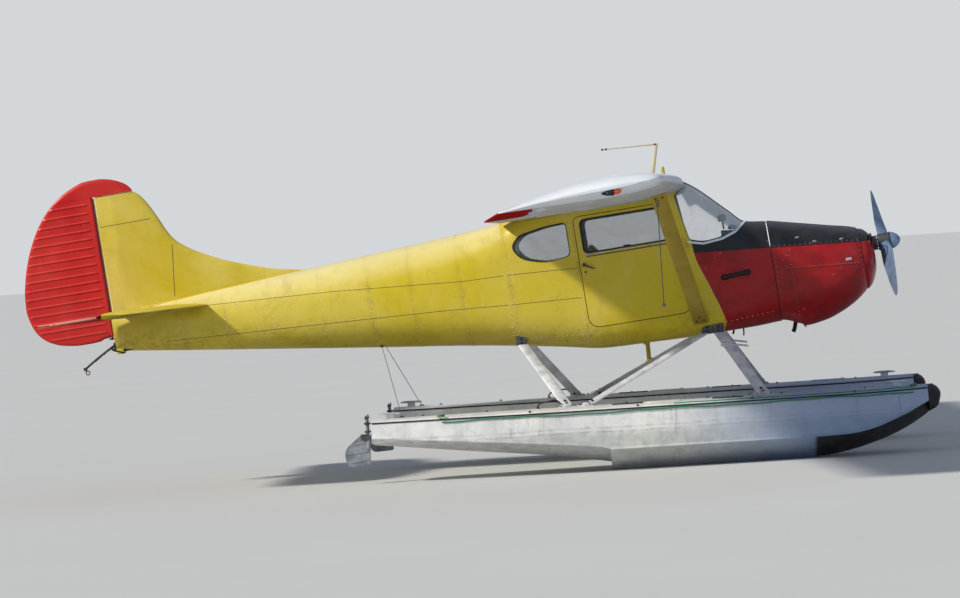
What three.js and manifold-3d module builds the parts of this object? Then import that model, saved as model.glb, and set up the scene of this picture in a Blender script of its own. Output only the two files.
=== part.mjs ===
// A single-engined high-wing floatplane: a four-seat cabin monoplane with one lift strut a side,
// standing on the keels of its two straight floats. Millimetres, +X towards the nose, +Y to the
// left wing, +Z up; z = 0 is the bottom of the keels and x = 0 is half the overall length.
import * as THREE from "three";
import Module from "manifold-3d";
import { mergeVertices } from "three/addons/utils/BufferGeometryUtils.js";

const wasm = await Module();
wasm.setup();
const { Vector2, Vector3, Matrix4 } = THREE;
const RAD = Math.PI / 180;

// Driving dimensions. The airframe has its own level frame: x = 0 at the firewall, z = 0 at the belly.
const AIRFRAME_PITCH = 5.5 * RAD; // the fuselage sits nose up on its floats
const AIRFRAME_AT = new Vector3(2660, 0, 1126); // foot of the firewall in the outer frame
const GAP = 0.5; // left between pieces that touch
const SWING_GAP = 7; // left round a piece that turns
const WALL = 24; // cabin wall, frames and lining included
const BULKHEAD = 16; // closes the cabin's rear end
const TAIL_WALL = 9;
const COWL_WALL = 10;
const GLASS = 6;
const SIDES = 36; // points round a fuselage section

const CABIN_REAR_X = -2266;
const TAIL_POST_X = -5762;
const COWL_FRONT_X = 874;
const BOWL_REAR_X = 770;

const SEMI_SPAN = 5486;
const WING = { leX: -640, leZ: 1295, chord: 1626, incidence: 2.4 * RAD, breakY: 2540, tipY: 5230, tipChord: 1235 };
const FLAP = { inner: 640, outer: 2480, chord: 330 };
const AILERON = { inner: 2600, outer: 5140, innerChord: 330, outerChord: 262, nose: 0.46 };
const TAILPLANE = { y: 1560, hingeX: -5640, z: 975, rootLeX: -4880, incidence: -3 * RAD };
const RUDDER_HINGE_X = -5790;
const FIN_HALF = 33;
const PROP = { x: 980, z: 535, radius: 965, turn: -63 * RAD };
const FLOAT = { y: 1120, bowX: 3811, sternX: -843, stepX: 1150, deckZ: 523, crown: 20, keelHalf: 14 };

const PAINT = {
  yellow: [0xd9b42a, 0.45, 0.1],
  red: [0xb01416, 0.45, 0.1],
  black: [0x26272a, 0.6, 0.0],
  white: [0xd6dadf, 0.4, 0.2],
  alloy: [0xb9bec6, 0.4, 0.9],
  steel: [0x6d737c, 0.5, 0.8],
  iron: [0x4a4a4c, 0.7, 0.6],
  rubber: [0x161616, 0.9, 0.0],
  glass: [0xb9c7cc, 0.1, 0.0],
  trim: [0x5a1f22, 0.8, 0.0],
  rope: [0x8a8578, 0.9, 0.0],
};

// Solids: a closed three.js geometry becomes a manifold for cutting and joining, and comes back.
function solid(geometry, matrix = null) {
  const flat = geometry.index ? geometry.toNonIndexed() : geometry.clone();
  const bare = new THREE.BufferGeometry().setAttribute("position", flat.getAttribute("position"));
  if (matrix) bare.applyMatrix4(matrix);
  const merged = mergeVertices(bare, 1e-3);
  const mesh = new wasm.Mesh({
    numProp: 3,
    vertProperties: new Float32Array(merged.attributes.position.array),
    triVerts: new Uint32Array(merged.index.array),
  });
  return new wasm.Manifold(mesh);
}

function geometryOf(body) {
  const m = body.getMesh();
  const positions = new Float32Array(m.numVert * 3);
  for (let i = 0; i < m.numVert; i++) {
    positions.set(m.vertProperties.subarray(i * m.numProp, i * m.numProp + 3), i * 3);
  }
  const geometry = new THREE.BufferGeometry();
  geometry.setAttribute("position", new THREE.BufferAttribute(positions, 3));
  geometry.setIndex(new THREE.BufferAttribute(new Uint32Array(m.triVerts), 1));
  return geometry;
}

const mirrored = (body) => body.mirror([0, 1, 0]);
const join = (...bodies) => bodies.reduce((a, b) => a.add(b));

// A closed loft through rings of equal point count, capped at both ends.
function loft(rings) {
  const n = rings[0].length;
  const points = rings.flat();
  const faces = [];
  for (let r = 0; r < rings.length - 1; r++) {
    for (let i = 0; i < n; i++) {
      const j = (i + 1) % n;
      const [a, b, c, d] = [r * n + i, r * n + j, (r + 1) * n + i, (r + 1) * n + j];
      // The shorter diagonal, so that both halves of a symmetric form get mirrored faces.
      if (points[a].distanceTo(points[d]) < points[b].distanceTo(points[c]) - 1e-6) faces.push([a, b, d], [a, d, c]);
      else faces.push([a, b, c], [b, d, c]);
    }
  }
  const last = (rings.length - 1) * n;
  for (const [a, b, c] of capFaces(rings[0])) faces.push([a, c, b]);
  for (const [a, b, c] of capFaces(rings[rings.length - 1])) faces.push([last + a, last + b, last + c]);
  const geometry = new THREE.BufferGeometry().setFromPoints(points);
  geometry.setIndex(faces.flat());
  let body = solid(geometry);
  if (body.volume() < 0) {
    geometry.setIndex(faces.map(([a, b, c]) => [a, c, b]).flat());
    body = solid(geometry);
  }
  return body;
}

// Triangles of one ring, wound the way the ring runs.
function capFaces(ring) {
  const centre = ring.reduce((s, p) => s.add(p), new Vector3()).divideScalar(ring.length);
  const normal = new Vector3();
  ring.forEach((p, i) => {
    const q = ring[(i + 1) % ring.length];
    normal.add(p.clone().sub(centre).cross(q.clone().sub(centre)));
  });
  normal.normalize();
  const side = Math.abs(normal.x) > 0.8 ? new Vector3(0, 1, 0) : new Vector3(1, 0, 0);
  const u = side.sub(normal.clone().multiplyScalar(side.dot(normal))).normalize();
  const v = normal.clone().cross(u);
  const flat = ring.map((p) => new Vector2(p.clone().sub(centre).dot(u), p.clone().sub(centre).dot(v)));
  return THREE.ShapeUtils.triangulateShape(flat, []);
}

function box(x0, x1, y0, y1, z0, z1) {
  const geometry = new THREE.BoxGeometry(x1 - x0, y1 - y0, z1 - z0);
  return solid(geometry, new Matrix4().makeTranslation((x0 + x1) / 2, (y0 + y1) / 2, (z0 + z1) / 2));
}

// A cylinder or cone between two points.
function rod(from, to, r0, r1 = r0, sides = 16) {
  const along = to.clone().sub(from);
  const geometry = new THREE.CylinderGeometry(r1, r0, along.length(), sides);
  const turn = new THREE.Quaternion().setFromUnitVectors(new Vector3(0, 1, 0), along.clone().normalize());
  const middle = from.clone().add(to).multiplyScalar(0.5);
  return solid(geometry, new Matrix4().compose(middle, turn, new Vector3(1, 1, 1)));
}

// A hinge pin and the hole it turns in: the hole's flats stay clear of the pin's corners.
const pinSides = (radius) => (radius > 15 ? 24 : 12);
const pin = (from, to, radius) => rod(from, to, radius, radius, pinSides(radius));
function pinHole(from, to, radius) {
  const sides = pinSides(radius);
  const wide = (radius + 0.35) / Math.cos(Math.PI / sides);
  return rod(from, to, wide, wide, sides);
}

// An outline drawn in side view, [x, z] pairs or a THREE.Shape, extruded from y0 to y1.
function sidePrism(outline, y0, y1, curveSteps = 6) {
  const shape = Array.isArray(outline) ? new THREE.Shape(outline.map(([x, z]) => new Vector2(x, z))) : outline;
  const geometry = new THREE.ExtrudeGeometry(shape, { depth: y1 - y0, bevelEnabled: false, curveSegments: curveSteps });
  // Extrusion runs along +Z; this turn lays it along +Y with the outline's second number upright.
  return solid(geometry, new Matrix4().makeRotationX(Math.PI / 2).setPosition(0, y1, 0));
}

// A polygon with every corner rounded by its own radius, from rows of [x, z, radius].
function roundedShape(corners) {
  const shape = new THREE.Shape();
  const n = corners.length;
  corners.forEach(([x, z, radius], i) => {
    const here = new Vector2(x, z);
    const before = new Vector2(...corners[(i + n - 1) % n]).sub(here).normalize();
    const after = new Vector2(...corners[(i + 1) % n]).sub(here).normalize();
    const start = here.clone().addScaledVector(before, radius);
    const end = here.clone().addScaledVector(after, radius);
    if (i === 0) shape.moveTo(start.x, start.y);
    else shape.lineTo(start.x, start.y);
    if (radius) shape.quadraticCurveTo(here.x, here.y, end.x, end.y);
  });
  shape.closePath();
  return shape;
}

function insetShape(shape, inset, curveSteps = 6) {
  const points = shape.getPoints(curveSteps).slice(0, -1);
  const n = points.length;
  const turn = THREE.ShapeUtils.isClockWise(points) ? -1 : 1;
  return points.map((p, i) => {
    const a = p.clone().sub(points[(i + n - 1) % n]).normalize();
    const b = points[(i + 1) % n].clone().sub(p).normalize();
    const bisector = new Vector2(-(a.y + b.y), a.x + b.x).normalize().multiplyScalar(turn);
    const stretch = inset / Math.max(0.4, bisector.dot(new Vector2(-a.y, a.x).multiplyScalar(turn)));
    return [p.x + bisector.x * stretch, p.y + bisector.y * stretch];
  });
}

// Fuselage sections: x, bottom z, top z, half width, height of the widest point, squareness above and below.
const FUSELAGE = [
  [860, 300, 585, 235, 450, 2.2, 2.2],
  [811, 205, 655, 335, 450, 2.3, 2.3],
  [724, 112, 699, 400, 450, 2.5, 2.6],
  [546, 6, 742, 437, 450, 2.6, 2.8],
  [380, -52, 782, 452, 450, 2.7, 3.0],
  [213, -74, 822, 463, 450, 2.8, 3.2],
  [0, 0, 872, 476, 460, 2.9, 3.6],
  [-186, -8, 905, 492, 480, 3.0, 4.2],
  [-300, -10, 1012, 502, 520, 2.9, 4.6],
  [-606, -10, 1297, 522, 640, 3.4, 5.2],
  [-700, -10, 1352, 530, 700, 7.0, 5.4],
  [-860, -8, 1392, 536, 700, 12, 5.4],
  [-1130, 0, 1410, 540, 700, 12, 5.2],
  [-1500, 12, 1390, 540, 700, 12, 5.0],
  [-1900, 82, 1322, 528, 700, 10, 4.2],
  [-2266, 148, 1228, 505, 690, 4.4, 3.4],
  [-2700, 218, 1188, 462, 700, 2.9, 2.9],
  [-3460, 326, 1137, 375, 740, 2.35, 2.5],
  [-4339, 455, 1080, 268, 790, 2.2, 2.3],
  [-5172, 578, 1030, 160, 830, 2.1, 2.2],
  [-5762, 668, 996, 74, 850, 2.1, 2.1],
];

function fuselageRing([x, bottom, top, half, widest, above, below], grow) {
  const ring = [];
  for (let i = 0; i < SIDES; i++) {
    const t = (2 * Math.PI * i) / SIDES;
    const [c, s] = [Math.cos(t), Math.sin(t)];
    const power = 2 / (s >= 0 ? above : below);
    const height = (s >= 0 ? top - widest : widest - bottom) + grow;
    const y = (half + grow) * Math.sign(c) * Math.abs(c) ** power;
    const z = widest + height * Math.sign(s) * Math.abs(s) ** power;
    ring.push(new Vector3(x, y, z));
  }
  return ring;
}

function between(row, next, x) {
  const f = (x - row[0]) / (next[0] - row[0]);
  return row.map((value, i) => value + (next[i] - value) * f);
}

// The fuselage's outer form from xFront back to xRear, grown or shrunk all round.
function fuselage(xFront, xRear, grow = 0) {
  const rows = [];
  for (let i = 0; i < FUSELAGE.length; i++) {
    const row = FUSELAGE[i];
    const before = FUSELAGE[i - 1];
    for (const x of [xFront, xRear]) {
      if (before && before[0] > x && x > row[0]) rows.push(between(before, row, x));
    }
    if (row[0] <= xFront && row[0] >= xRear) rows.push(row);
  }
  if (rows[0][0] < xFront) rows.unshift([xFront, ...rows[0].slice(1)]);
  if (rows[rows.length - 1][0] > xRear) rows.push([xRear, ...rows[rows.length - 1].slice(1)]);
  return loft(rows.map((row) => fuselageRing(row, grow)));
}

// Cabin openings in side view, rows of x, z, corner radius.
const DOOR_FRONT = { foot: [-738, 205], head: [-800, 1172] };
const DOOR = roundedShape([
  [-1632, 205, 110], [...DOOR_FRONT.foot, 110], [...DOOR_FRONT.head, 30], [-1632, 1172, 60],
]);
const DOOR_WINDOW = roundedShape([
  [-1575, 850, 40], [-818, 850, 45], [-858, 1136, 30], [-1575, 1136, 50],
]);
const QUARTER_WINDOW = roundedShape([
  [-1696, 848, 50], [-1930, 826, 90], [-2120, 890, 60], [-2190, 1000, 55], [-2110, 1090, 50],
  [-1880, 1128, 60], [-1696, 1136, 40],
]);
const WINDSHIELD = roundedShape([
  [-676, 822, 30], [-560, 786, 55], [-400, 800, 80], [-270, 842, 40], [-176, 918, 10],
  [-120, 1100, 10], [-560, 1440, 10], [-618, 1312, 4], [-748, 1214, 20],
]);
const CENTRE_STRIP = 16;

function buildCabin() {
  const outer = fuselage(0, CABIN_REAR_X);
  const room = fuselage(1, CABIN_REAR_X + BULKHEAD, -WALL);
  const wall = outer.subtract(room);
  const glazed = fuselage(0, CABIN_REAR_X, -8).subtract(fuselage(1, CABIN_REAR_X - 1, -8 - GLASS));
  const doorCut = sidePrism(DOOR, -900, -300);
  const doorPanel = wall.intersect(sidePrism(insetShape(DOOR, 6), -900, -300));
  const doorHole = sidePrism(DOOR_WINDOW, -900, -300);
  const doorGlass = glazed.intersect(sidePrism(insetShape(DOOR_WINDOW, GAP), -900, -300));
  const quarterHole = sidePrism(QUARTER_WINDOW, -900, -300);
  const quarterGlass = glazed.intersect(sidePrism(insetShape(QUARTER_WINDOW, GAP), -900, -300));
  const screenHole = sidePrism(WINDSHIELD, -900, -CENTRE_STRIP);
  const screenGlass = glazed.intersect(sidePrism(insetShape(WINDSHIELD, GAP), -900, -CENTRE_STRIP - GAP));
  let shell = wall;
  for (const hole of [doorCut, quarterHole, screenHole]) shell = shell.subtract(hole).subtract(mirrored(hole));
  const fixedHinges = doorHinges(true);
  shell = shell.add(fixedHinges).add(mirrored(fixedHinges));
  return { shell, door: doorPanel.subtract(doorHole).add(doorHinges(false)), doorGlass, quarterGlass, screenGlass };
}

// Two outside strap hinges a door, on one upright line just ahead of its leaning front edge.
const DOOR_HINGE = { x: -728, y: -546, heights: [400, 780], radius: 8, leaf: 40, fixedAt: 31.4, fixedHalf: 13, swungHalf: 18 };

function doorHinges(fixed) {
  const { x, y, radius, leaf, fixedAt, fixedHalf, swungHalf } = DOOR_HINGE;
  const { foot, head } = DOOR_FRONT;
  const pieces = [];
  for (const z of DOOR_HINGE.heights) {
    const edge = foot[0] + (head[0] - foot[0]) * (z - foot[1]) / (head[1] - foot[1]);
    for (const offset of fixed ? [-fixedAt, fixedAt] : [0]) {
      const half = fixed ? fixedHalf : swungHalf;
      const [low, high] = [z + offset - half, z + offset + half];
      pieces.push(pin(new Vector3(x, y, low), new Vector3(x, y, high), radius));
      if (fixed) {
        pieces.push(box(x + 3, x + leaf, y - 1, y + 22, low + 1, high - 1));
      } else {
        pieces.push(box(edge - leaf, x - 3, y - 1, y + 7, low + 1, high - 1));
        pieces.push(box(edge - leaf, edge - 12, y, y + 22, low + 1, high - 1));
      }
    }
  }
  return join(...pieces);
}

function buildTailCone() {
  const outer = fuselage(CABIN_REAR_X - GAP, TAIL_POST_X);
  const inside = fuselage(CABIN_REAR_X + 1, TAIL_POST_X + 300, -TAIL_WALL);
  const lug = box(RUDDER_HINGE_X - 20, TAIL_POST_X + 12, -16, 16, RUDDER_LUG_Z, RUDDER_LUG_Z + LUG_THICK);
  return outer.subtract(inside).add(lug).subtract(elevatorBore()).subtract(rudderPin(pinHole));
}

// The rudder's foot turns in a lug on the tail post.
const RUDDER_FOOT_Z = 792;
const LUG_THICK = 14;
const RUDDER_LUG_Z = RUDDER_FOOT_Z - SWING_GAP - LUG_THICK;

function rudderPin(make) {
  return make(new Vector3(RUDDER_HINGE_X, 0, RUDDER_LUG_Z - 4), new Vector3(RUDDER_HINGE_X, 0, RUDDER_FOOT_Z + 30), 8);
}

// The engine bay: nose bowl, upper and lower cowls and the firewall behind them.
const COWL_SPLIT = [[-40, 643], [782, 568]]; // the seam between the black top and the red sides
const AIR_INLET = { y: 215, z: 535, width: 200, height: 150 };

function buildCowls() {
  const skin = fuselage(COWL_FRONT_X, GAP).subtract(fuselage(COWL_FRONT_X - 26, -1, -COWL_WALL));
  const nose = roundNose();
  const bowl = nose.subtract(fuselage(BOWL_REAR_X + 60, BOWL_REAR_X - 5, -COWL_WALL));
  let cutBowl = bowl.subtract(rod(new Vector3(700, 0, PROP.z), new Vector3(900, 0, PROP.z), 86, 86, 24));
  const inlet = airInlet();
  cutBowl = cutBowl.subtract(inlet).subtract(mirrored(inlet));
  const bay = skin.intersect(box(GAP, BOWL_REAR_X - GAP, -700, 700, -200, 1000));
  const over = sidePrism([...COWL_SPLIT, [782, 1100], [-40, 1100]], -700, 700);
  const under = sidePrism([[-40, 643 - GAP], [782, 568 - GAP], [782, -300], [-40, -300]], -700, 700);
  const outlet = box(-50, 190, -230, 230, -140, 40);
  return { bowl: cutBowl, upper: bay.intersect(over), lower: bay.intersect(under).subtract(outlet) };
}

function roundNose() {
  const rows = [
    [BOWL_REAR_X, 1.0, 0], [811, 0.985, 0], [845, 0.93, 0], [866, 0.84, 0], [COWL_FRONT_X, 0.72, 0],
  ];
  const at = (x) => {
    const i = FUSELAGE.findIndex((row) => row[0] < x);
    return i <= 0 ? FUSELAGE[0] : between(FUSELAGE[i - 1], FUSELAGE[i], x);
  };
  const base = at(BOWL_REAR_X);
  const front = [COWL_FRONT_X, 285, 602, 330, 450, 2.5, 2.3];
  const rings = rows.map(([x, size]) => {
    const f = (x - BOWL_REAR_X) / (COWL_FRONT_X - BOWL_REAR_X);
    const row = base.map((value, i) => value + (front[i] - value) * f * f);
    row[0] = x;
    const [bottom, top, middle] = [row[1], row[2], PROP.z - 60];
    row[1] = middle + (bottom - middle) * (0.5 + size / 2);
    row[2] = middle + (top - middle) * (0.5 + size / 2);
    row[3] = row[3] * (0.5 + size / 2);
    return fuselageRing(row, 0);
  });
  const hollow = [BOWL_REAR_X - 1, 800, 850].map((x) => {
    const f = Math.max(0, x - BOWL_REAR_X) / (COWL_FRONT_X - BOWL_REAR_X);
    const row = base.map((value, i) => value + (front[i] - value) * f * f);
    row[0] = x;
    return fuselageRing(row, -26);
  });
  return loft(rings).subtract(loft(hollow));
}

function airInlet() {
  const { y, z, width, height } = AIR_INLET;
  const geometry = new THREE.CylinderGeometry(0.5, 0.5, 200, 20);
  const place = new Matrix4().makeTranslation(820, -y, z);
  place.multiply(new Matrix4().makeRotationZ(Math.PI / 2)).multiply(new Matrix4().makeScale(width, 1, height));
  return solid(geometry, place);
}

function buildFirewall() {
  return fuselage(-GAP, -11, -WALL - GAP);
}

function buildEngine() {
  const crankcase = box(110, 700, -345, 345, 330, 560);
  const accessories = box(GAP, 112, -160, 160, 360, 600);
  return join(crankcase, accessories);
}

// Aerofoil sections: upper and lower heights in fractions of the chord at each share of the chord.
const AEROFOIL = [
  [0, 0, 0], [0.0125, 0.021, -0.0165], [0.05, 0.0413, -0.0301], [0.1, 0.0563, -0.0371], [0.2, 0.0726, -0.0423],
  [0.3, 0.0788, -0.0412], [0.4, 0.078, -0.038], [0.5, 0.0724, -0.0334], [0.6, 0.0636, -0.0276],
  [0.7, 0.0518, -0.0214], [0.8, 0.0375, -0.015], [0.9, 0.0208, -0.0082], [1, 0.0035, -0.0035],
];

function aerofoilPoints(leX, leZ, chord, incidence, thick = 1) {
  const upper = AEROFOIL.map(([share, up]) => [share, up * thick]);
  const lower = AEROFOIL.slice(1).map(([share, , down]) => [share, down * thick]);
  return [...upper, ...lower.reverse()].map(([share, height]) => {
    const [back, rise] = [share * chord, height * chord];
    return [leX - back * Math.cos(incidence) + rise * Math.sin(incidence),
      leZ - back * Math.sin(incidence) + rise * Math.cos(incidence)];
  });
}

// Wing stations: y, leading edge x, chord, thickness factor. The panel tapers outboard of the strut.
const TAPER_SWEEP = 112; // how far the leading edge falls back by the tip rib
const WING_STATIONS = [
  [420, WING.leX, WING.chord, 1],
  [WING.breakY, WING.leX, WING.chord, 1],
  [WING.tipY, WING.leX - TAPER_SWEEP, WING.tipChord, 1],
  [5360, WING.leX - TAPER_SWEEP - 25, 1150, 0.86],
  [5440, WING.leX - TAPER_SWEEP - 75, 1010, 0.62],
  [SEMI_SPAN, WING.leX - TAPER_SWEEP - 190, 760, 0.24],
];

function wingAt(y) {
  const i = WING_STATIONS.findIndex((row) => row[0] >= y);
  const [, leX, chord, thick] = between(WING_STATIONS[i - 1], WING_STATIONS[i], y);
  return { leX, chord, thick };
}

function sectionAt(y) {
  const { leX, chord, thick } = wingAt(y);
  return aerofoilPoints(leX, WING.leZ, chord, WING.incidence, thick);
}

// The top and bottom of the wing at a distance ahead of its trailing edge.
function skinAt(y, ahead) {
  const { leX, chord, thick } = wingAt(y);
  const share = 1 - ahead / chord;
  const i = AEROFOIL.findIndex((row) => row[0] >= share);
  const [, up, down] = between(AEROFOIL[i - 1], AEROFOIL[i], share);
  const point = (height) => [
    leX - share * chord * Math.cos(WING.incidence) + height * thick * chord * Math.sin(WING.incidence),
    WING.leZ - share * chord * Math.sin(WING.incidence) + height * thick * chord * Math.cos(WING.incidence),
  ];
  return { top: point(up), bottom: point(down) };
}

function trailingEdge(y) {
  const { leX, chord } = wingAt(y);
  return [leX - chord * Math.cos(WING.incidence), WING.leZ - chord * Math.sin(WING.incidence)];
}

const rightRing = (points, y) => points.map(([x, z]) => new Vector3(x, -y, z));

function wingLoft(stations) {
  return loft(stations.map(([y, leX, chord, thick]) => (
    rightRing(aerofoilPoints(leX, WING.leZ, chord, WING.incidence, thick), y))));
}

function buildWing(bodyForm) {
  const panel = wingLoft(WING_STATIONS.filter(([y]) => y <= WING.tipY));
  const holes = [...hingePins(flapEnds(), 5, pinHole), ...hingePins(aileronEnds(), 8, pinHole)];
  return panel.subtract(bodyForm).subtract(flapCove()).subtract(aileronCove()).subtract(join(...holes));
}

function buildWingTip() {
  const [first, ...rest] = WING_STATIONS.filter(([y]) => y >= WING.tipY);
  return wingLoft([[WING.tipY + GAP, ...first.slice(1)], ...rest]);
}

// The flap hinges just inside its lower skin; its nose is an arc about that hinge.
function flapHinge() {
  const { top, bottom } = skinAt(1500, FLAP.chord);
  return { top, bottom: [bottom[0], bottom[1] + 9] };
}

// Pins in both ends of a surface on its hinge line, each reaching through the gap into the wing,
// and the holes for them there, which are a little deeper.
function hingePins(ends, radius, make) {
  const [a, b] = ends;
  const along = b.clone().sub(a).normalize();
  const reach = SWING_GAP + 22 + (make === pinHole ? GAP : 0);
  return [
    make(a.clone().addScaledVector(along, -reach), a.clone().addScaledVector(along, 30), radius),
    make(b.clone().addScaledVector(along, -30), b.clone().addScaledVector(along, reach), radius),
  ];
}

function flapEnds() {
  const { bottom: [x, z] } = flapHinge();
  return [new Vector3(x, -FLAP.inner, z), new Vector3(x, -FLAP.outer, z)];
}

function aileronEnds() {
  return [AILERON.inner, AILERON.outer].map((y) => {
    const [x, z] = aileronEnd(y).hinge;
    return new Vector3(x, -y, z);
  });
}

function flapProfile(clear) {
  const { top, bottom } = flapHinge();
  const tall = Math.hypot(top[0] - bottom[0], top[1] - bottom[1]) - 1 + clear;
  const [teX, teZ] = trailingEdge(1500);
  const arc = [];
  for (let a = 96; a >= (clear ? -30 : 34); a -= 8.857) {
    arc.push([bottom[0] + tall * Math.cos(a * RAD), bottom[1] + tall * Math.sin(a * RAD)]);
  }
  if (clear) {
    return [...arc, [bottom[0], bottom[1] - 60], [teX - 60, bottom[1] - 60], [teX - 60, teZ + 160],
      [top[0] - 6, teZ + 160]];
  }
  return [...arc, [bottom[0] + 5, bottom[1] - 5], [bottom[0] - 3, bottom[1] - 8], [teX, teZ - 4], [teX, teZ + 4]];
}

function flapCove() {
  return sidePrism(flapProfile(SWING_GAP), -FLAP.outer - SWING_GAP, -FLAP.inner + SWING_GAP);
}

function buildFlap() {
  return join(sidePrism(flapProfile(0), -FLAP.outer, -FLAP.inner), ...hingePins(flapEnds(), 5, pin));
}

// The aileron turns about the middle of its thickness, on a hinge line that follows the taper.
function aileronEnd(y) {
  const share = (y - AILERON.inner) / (AILERON.outer - AILERON.inner);
  const ahead = AILERON.innerChord + (AILERON.outerChord - AILERON.innerChord) * share;
  const { top, bottom } = skinAt(y, ahead);
  const hinge = [(top[0] + bottom[0]) / 2, (top[1] + bottom[1]) / 2];
  const radius = AILERON.nose * Math.hypot(top[0] - bottom[0], top[1] - bottom[1]);
  return { hinge, radius, top, bottom, te: trailingEdge(y) };
}

function buildAileron() {
  const rings = [AILERON.inner, AILERON.outer].map((y) => {
    const { hinge, radius, te } = aileronEnd(y);
    const points = [];
    for (let a = 100; a >= -100; a -= 25) {
      points.push([hinge[0] + radius * Math.cos(a * RAD), hinge[1] + radius * Math.sin(a * RAD)]);
    }
    return rightRing([...points, [te[0], te[1] - 4], [te[0], te[1] + 4]], y);
  });
  return join(loft(rings), ...hingePins(aileronEnds(), 8, pin));
}

function aileronCove() {
  const rings = [AILERON.inner - SWING_GAP, AILERON.outer + SWING_GAP].map((y) => {
    const { hinge, radius, te } = aileronEnd(y);
    const reach = radius + SWING_GAP;
    const points = [];
    for (let a = 90; a >= -90; a -= 20) {
      points.push([hinge[0] + reach * Math.cos(a * RAD), hinge[1] + reach * Math.sin(a * RAD)]);
    }
    const low = hinge[1] - 150;
    const high = hinge[1] + 150;
    return rightRing([...points, [hinge[0] - 2, low], [te[0] - 60, low], [te[0] - 60, high], [hinge[0] - 2, high]], y);
  });
  return loft(rings);
}

// A streamlined strut whose two ends are level ellipses: chord along X, thickness along Y.
function strut(from, to, chord, thick, sides = 14) {
  const ring = (p) => Array.from({ length: sides }, (_, i) => {
    const t = (2 * Math.PI * i) / sides;
    return new Vector3(p.x + (chord / 2) * Math.cos(t), p.y + (thick / 2) * Math.sin(t), p.z);
  });
  return loft([ring(from), ring(to)]);
}

function buildWingStrut(bodyForm, wing) {
  const foot = new Vector3(-683, -470, 96);
  const head = new Vector3(-858, -2530, 1262);
  const blade = strut(foot, head, 128, 58).add(strutRing());
  return blade.subtract(bodyForm).subtract(wing.translate([0, 0, -GAP])).subtract(wing)
    .subtract(wing.translate([0, 0, 40]));
}

// Tailplane: half span table of y, leading edge x, hinge thickness share, and the elevator's trailing edge x.
const TAIL_STATIONS = [
  [FIN_HALF + 2, -4862, 1, -6190], [400, -4935, 1, -6196], [1100, -5110, 0.85, -6200], [1400, -5215, 0.7, -6180],
  [1510, -5330, 0.5, -6110], [TAILPLANE.y, -5450, 0.3, -6000],
];
const TAIL_THICK = 74;
const ELEVATOR_NOSE = 30;
const ELEVATOR_TUBE = 22;

function tailZ(x) {
  return TAILPLANE.z + (x - TAILPLANE.hingeX) * Math.sin(TAILPLANE.incidence);
}

function buildStabilizer(bodyForm) {
  const rings = TAIL_STATIONS.map(([y, leX, thick]) => {
    const rearX = TAILPLANE.hingeX;
    const half = (TAIL_THICK / 2) * thick;
    const length = leX - rearX;
    const shape = [[0, 0.93], [0.35, 1], [0.7, 0.82], [0.9, 0.5], [0.98, 0.22], [1, 0]];
    const upper = shape.map(([f, h]) => [rearX + f * length, half * h]);
    const lower = shape.slice(0, -1).reverse().map(([f, h]) => [rearX + f * length, -half * h]);
    return rightRing([...upper, ...lower].map(([x, dz]) => [x, tailZ(x) + dz]), y);
  });
  const reach = ELEVATOR_NOSE + SWING_GAP;
  const cove = rod(new Vector3(TAILPLANE.hingeX, 0, TAILPLANE.z), new Vector3(TAILPLANE.hingeX, -1800, TAILPLANE.z), reach);
  return loft(rings).subtract(cove).subtract(bodyForm);
}

// The hole through the tail for the tube that joins the two elevators.
function elevatorBore() {
  const [x, z] = [TAILPLANE.hingeX, TAILPLANE.z];
  return pinHole(new Vector3(x, -200, z), new Vector3(x, 200, z), ELEVATOR_TUBE);
}

function buildElevatorHalf() {
  const rings = TAIL_STATIONS.map(([y, , thick, teX]) => {
    const radius = ELEVATOR_NOSE * thick;
    const points = [];
    for (let a = 95; a >= -95; a -= 31.67) {
      points.push([TAILPLANE.hingeX + radius * Math.cos(a * RAD), TAILPLANE.z + radius * Math.sin(a * RAD)]);
    }
    return rightRing([...points, [teX, TAILPLANE.z - 3], [teX, TAILPLANE.z + 3]], Math.max(y, 150));
  });
  rings.shift();
  const inner = rings[0].map((p) => new Vector3(p.x, -150, p.z));
  // The inboard corner is cut away so that the rudder can swing between the two halves.
  const rudderSwing = sidePrismTop([[-5700, -10], [-5700, -95], [-6300, -330], [-6300, -10]], 700, 1300);
  return loft([inner, ...rings]).subtract(rudderSwing);
}

// A plan outline, [x, y] pairs, extruded from z0 to z1.
function sidePrismTop(outline, z0, z1) {
  const shape = new THREE.Shape(outline.map(([x, y]) => new Vector2(x, y)));
  const geometry = new THREE.ExtrudeGeometry(shape, { depth: z1 - z0, bevelEnabled: false });
  return solid(geometry, new Matrix4().makeTranslation(0, 0, z0));
}

function buildElevator() {
  const half = buildElevatorHalf();
  const tube = pin(new Vector3(TAILPLANE.hingeX, -160, TAILPLANE.z), new Vector3(TAILPLANE.hingeX, 160, TAILPLANE.z), ELEVATOR_TUBE);
  return join(half, mirrored(half), tube);
}

// Fin and rudder outlines in side view.
const FIN_TOP_Z = 2018;
const FIN = [
  [-5760, 900], [-5760, FIN_TOP_Z], [-5398, FIN_TOP_Z], [-5300, 1912], [-5222, 1764], [-5160, 1630], [-5110, 1552],
  [-5030, 1480], [-4887, 1391], [-4643, 1277], [-4290, 1158], [-3990, 1090], [-3940, 1040], [-3990, 900],
];
const RUDDER = [
  [-5408, 2036], [-5440, 2080], [-5515, 2129], [-5600, 2160], [-5700, 2176], [-5809, 2172], [-5948, 2126],
  [-6073, 2056], [-6184, 1959], [-6278, 1840], [-6357, 1703], [-6418, 1560], [-6466, 1400], [-6494, 1250],
  [-6500, 1133], [-6478, 1015], [-6432, 916], [-6351, 838], [-6228, 786], [-6043, 762], [-5900, 766],
  [-5845, RUDDER_FOOT_Z], [RUDDER_HINGE_X, RUDDER_FOOT_Z],
];

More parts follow.
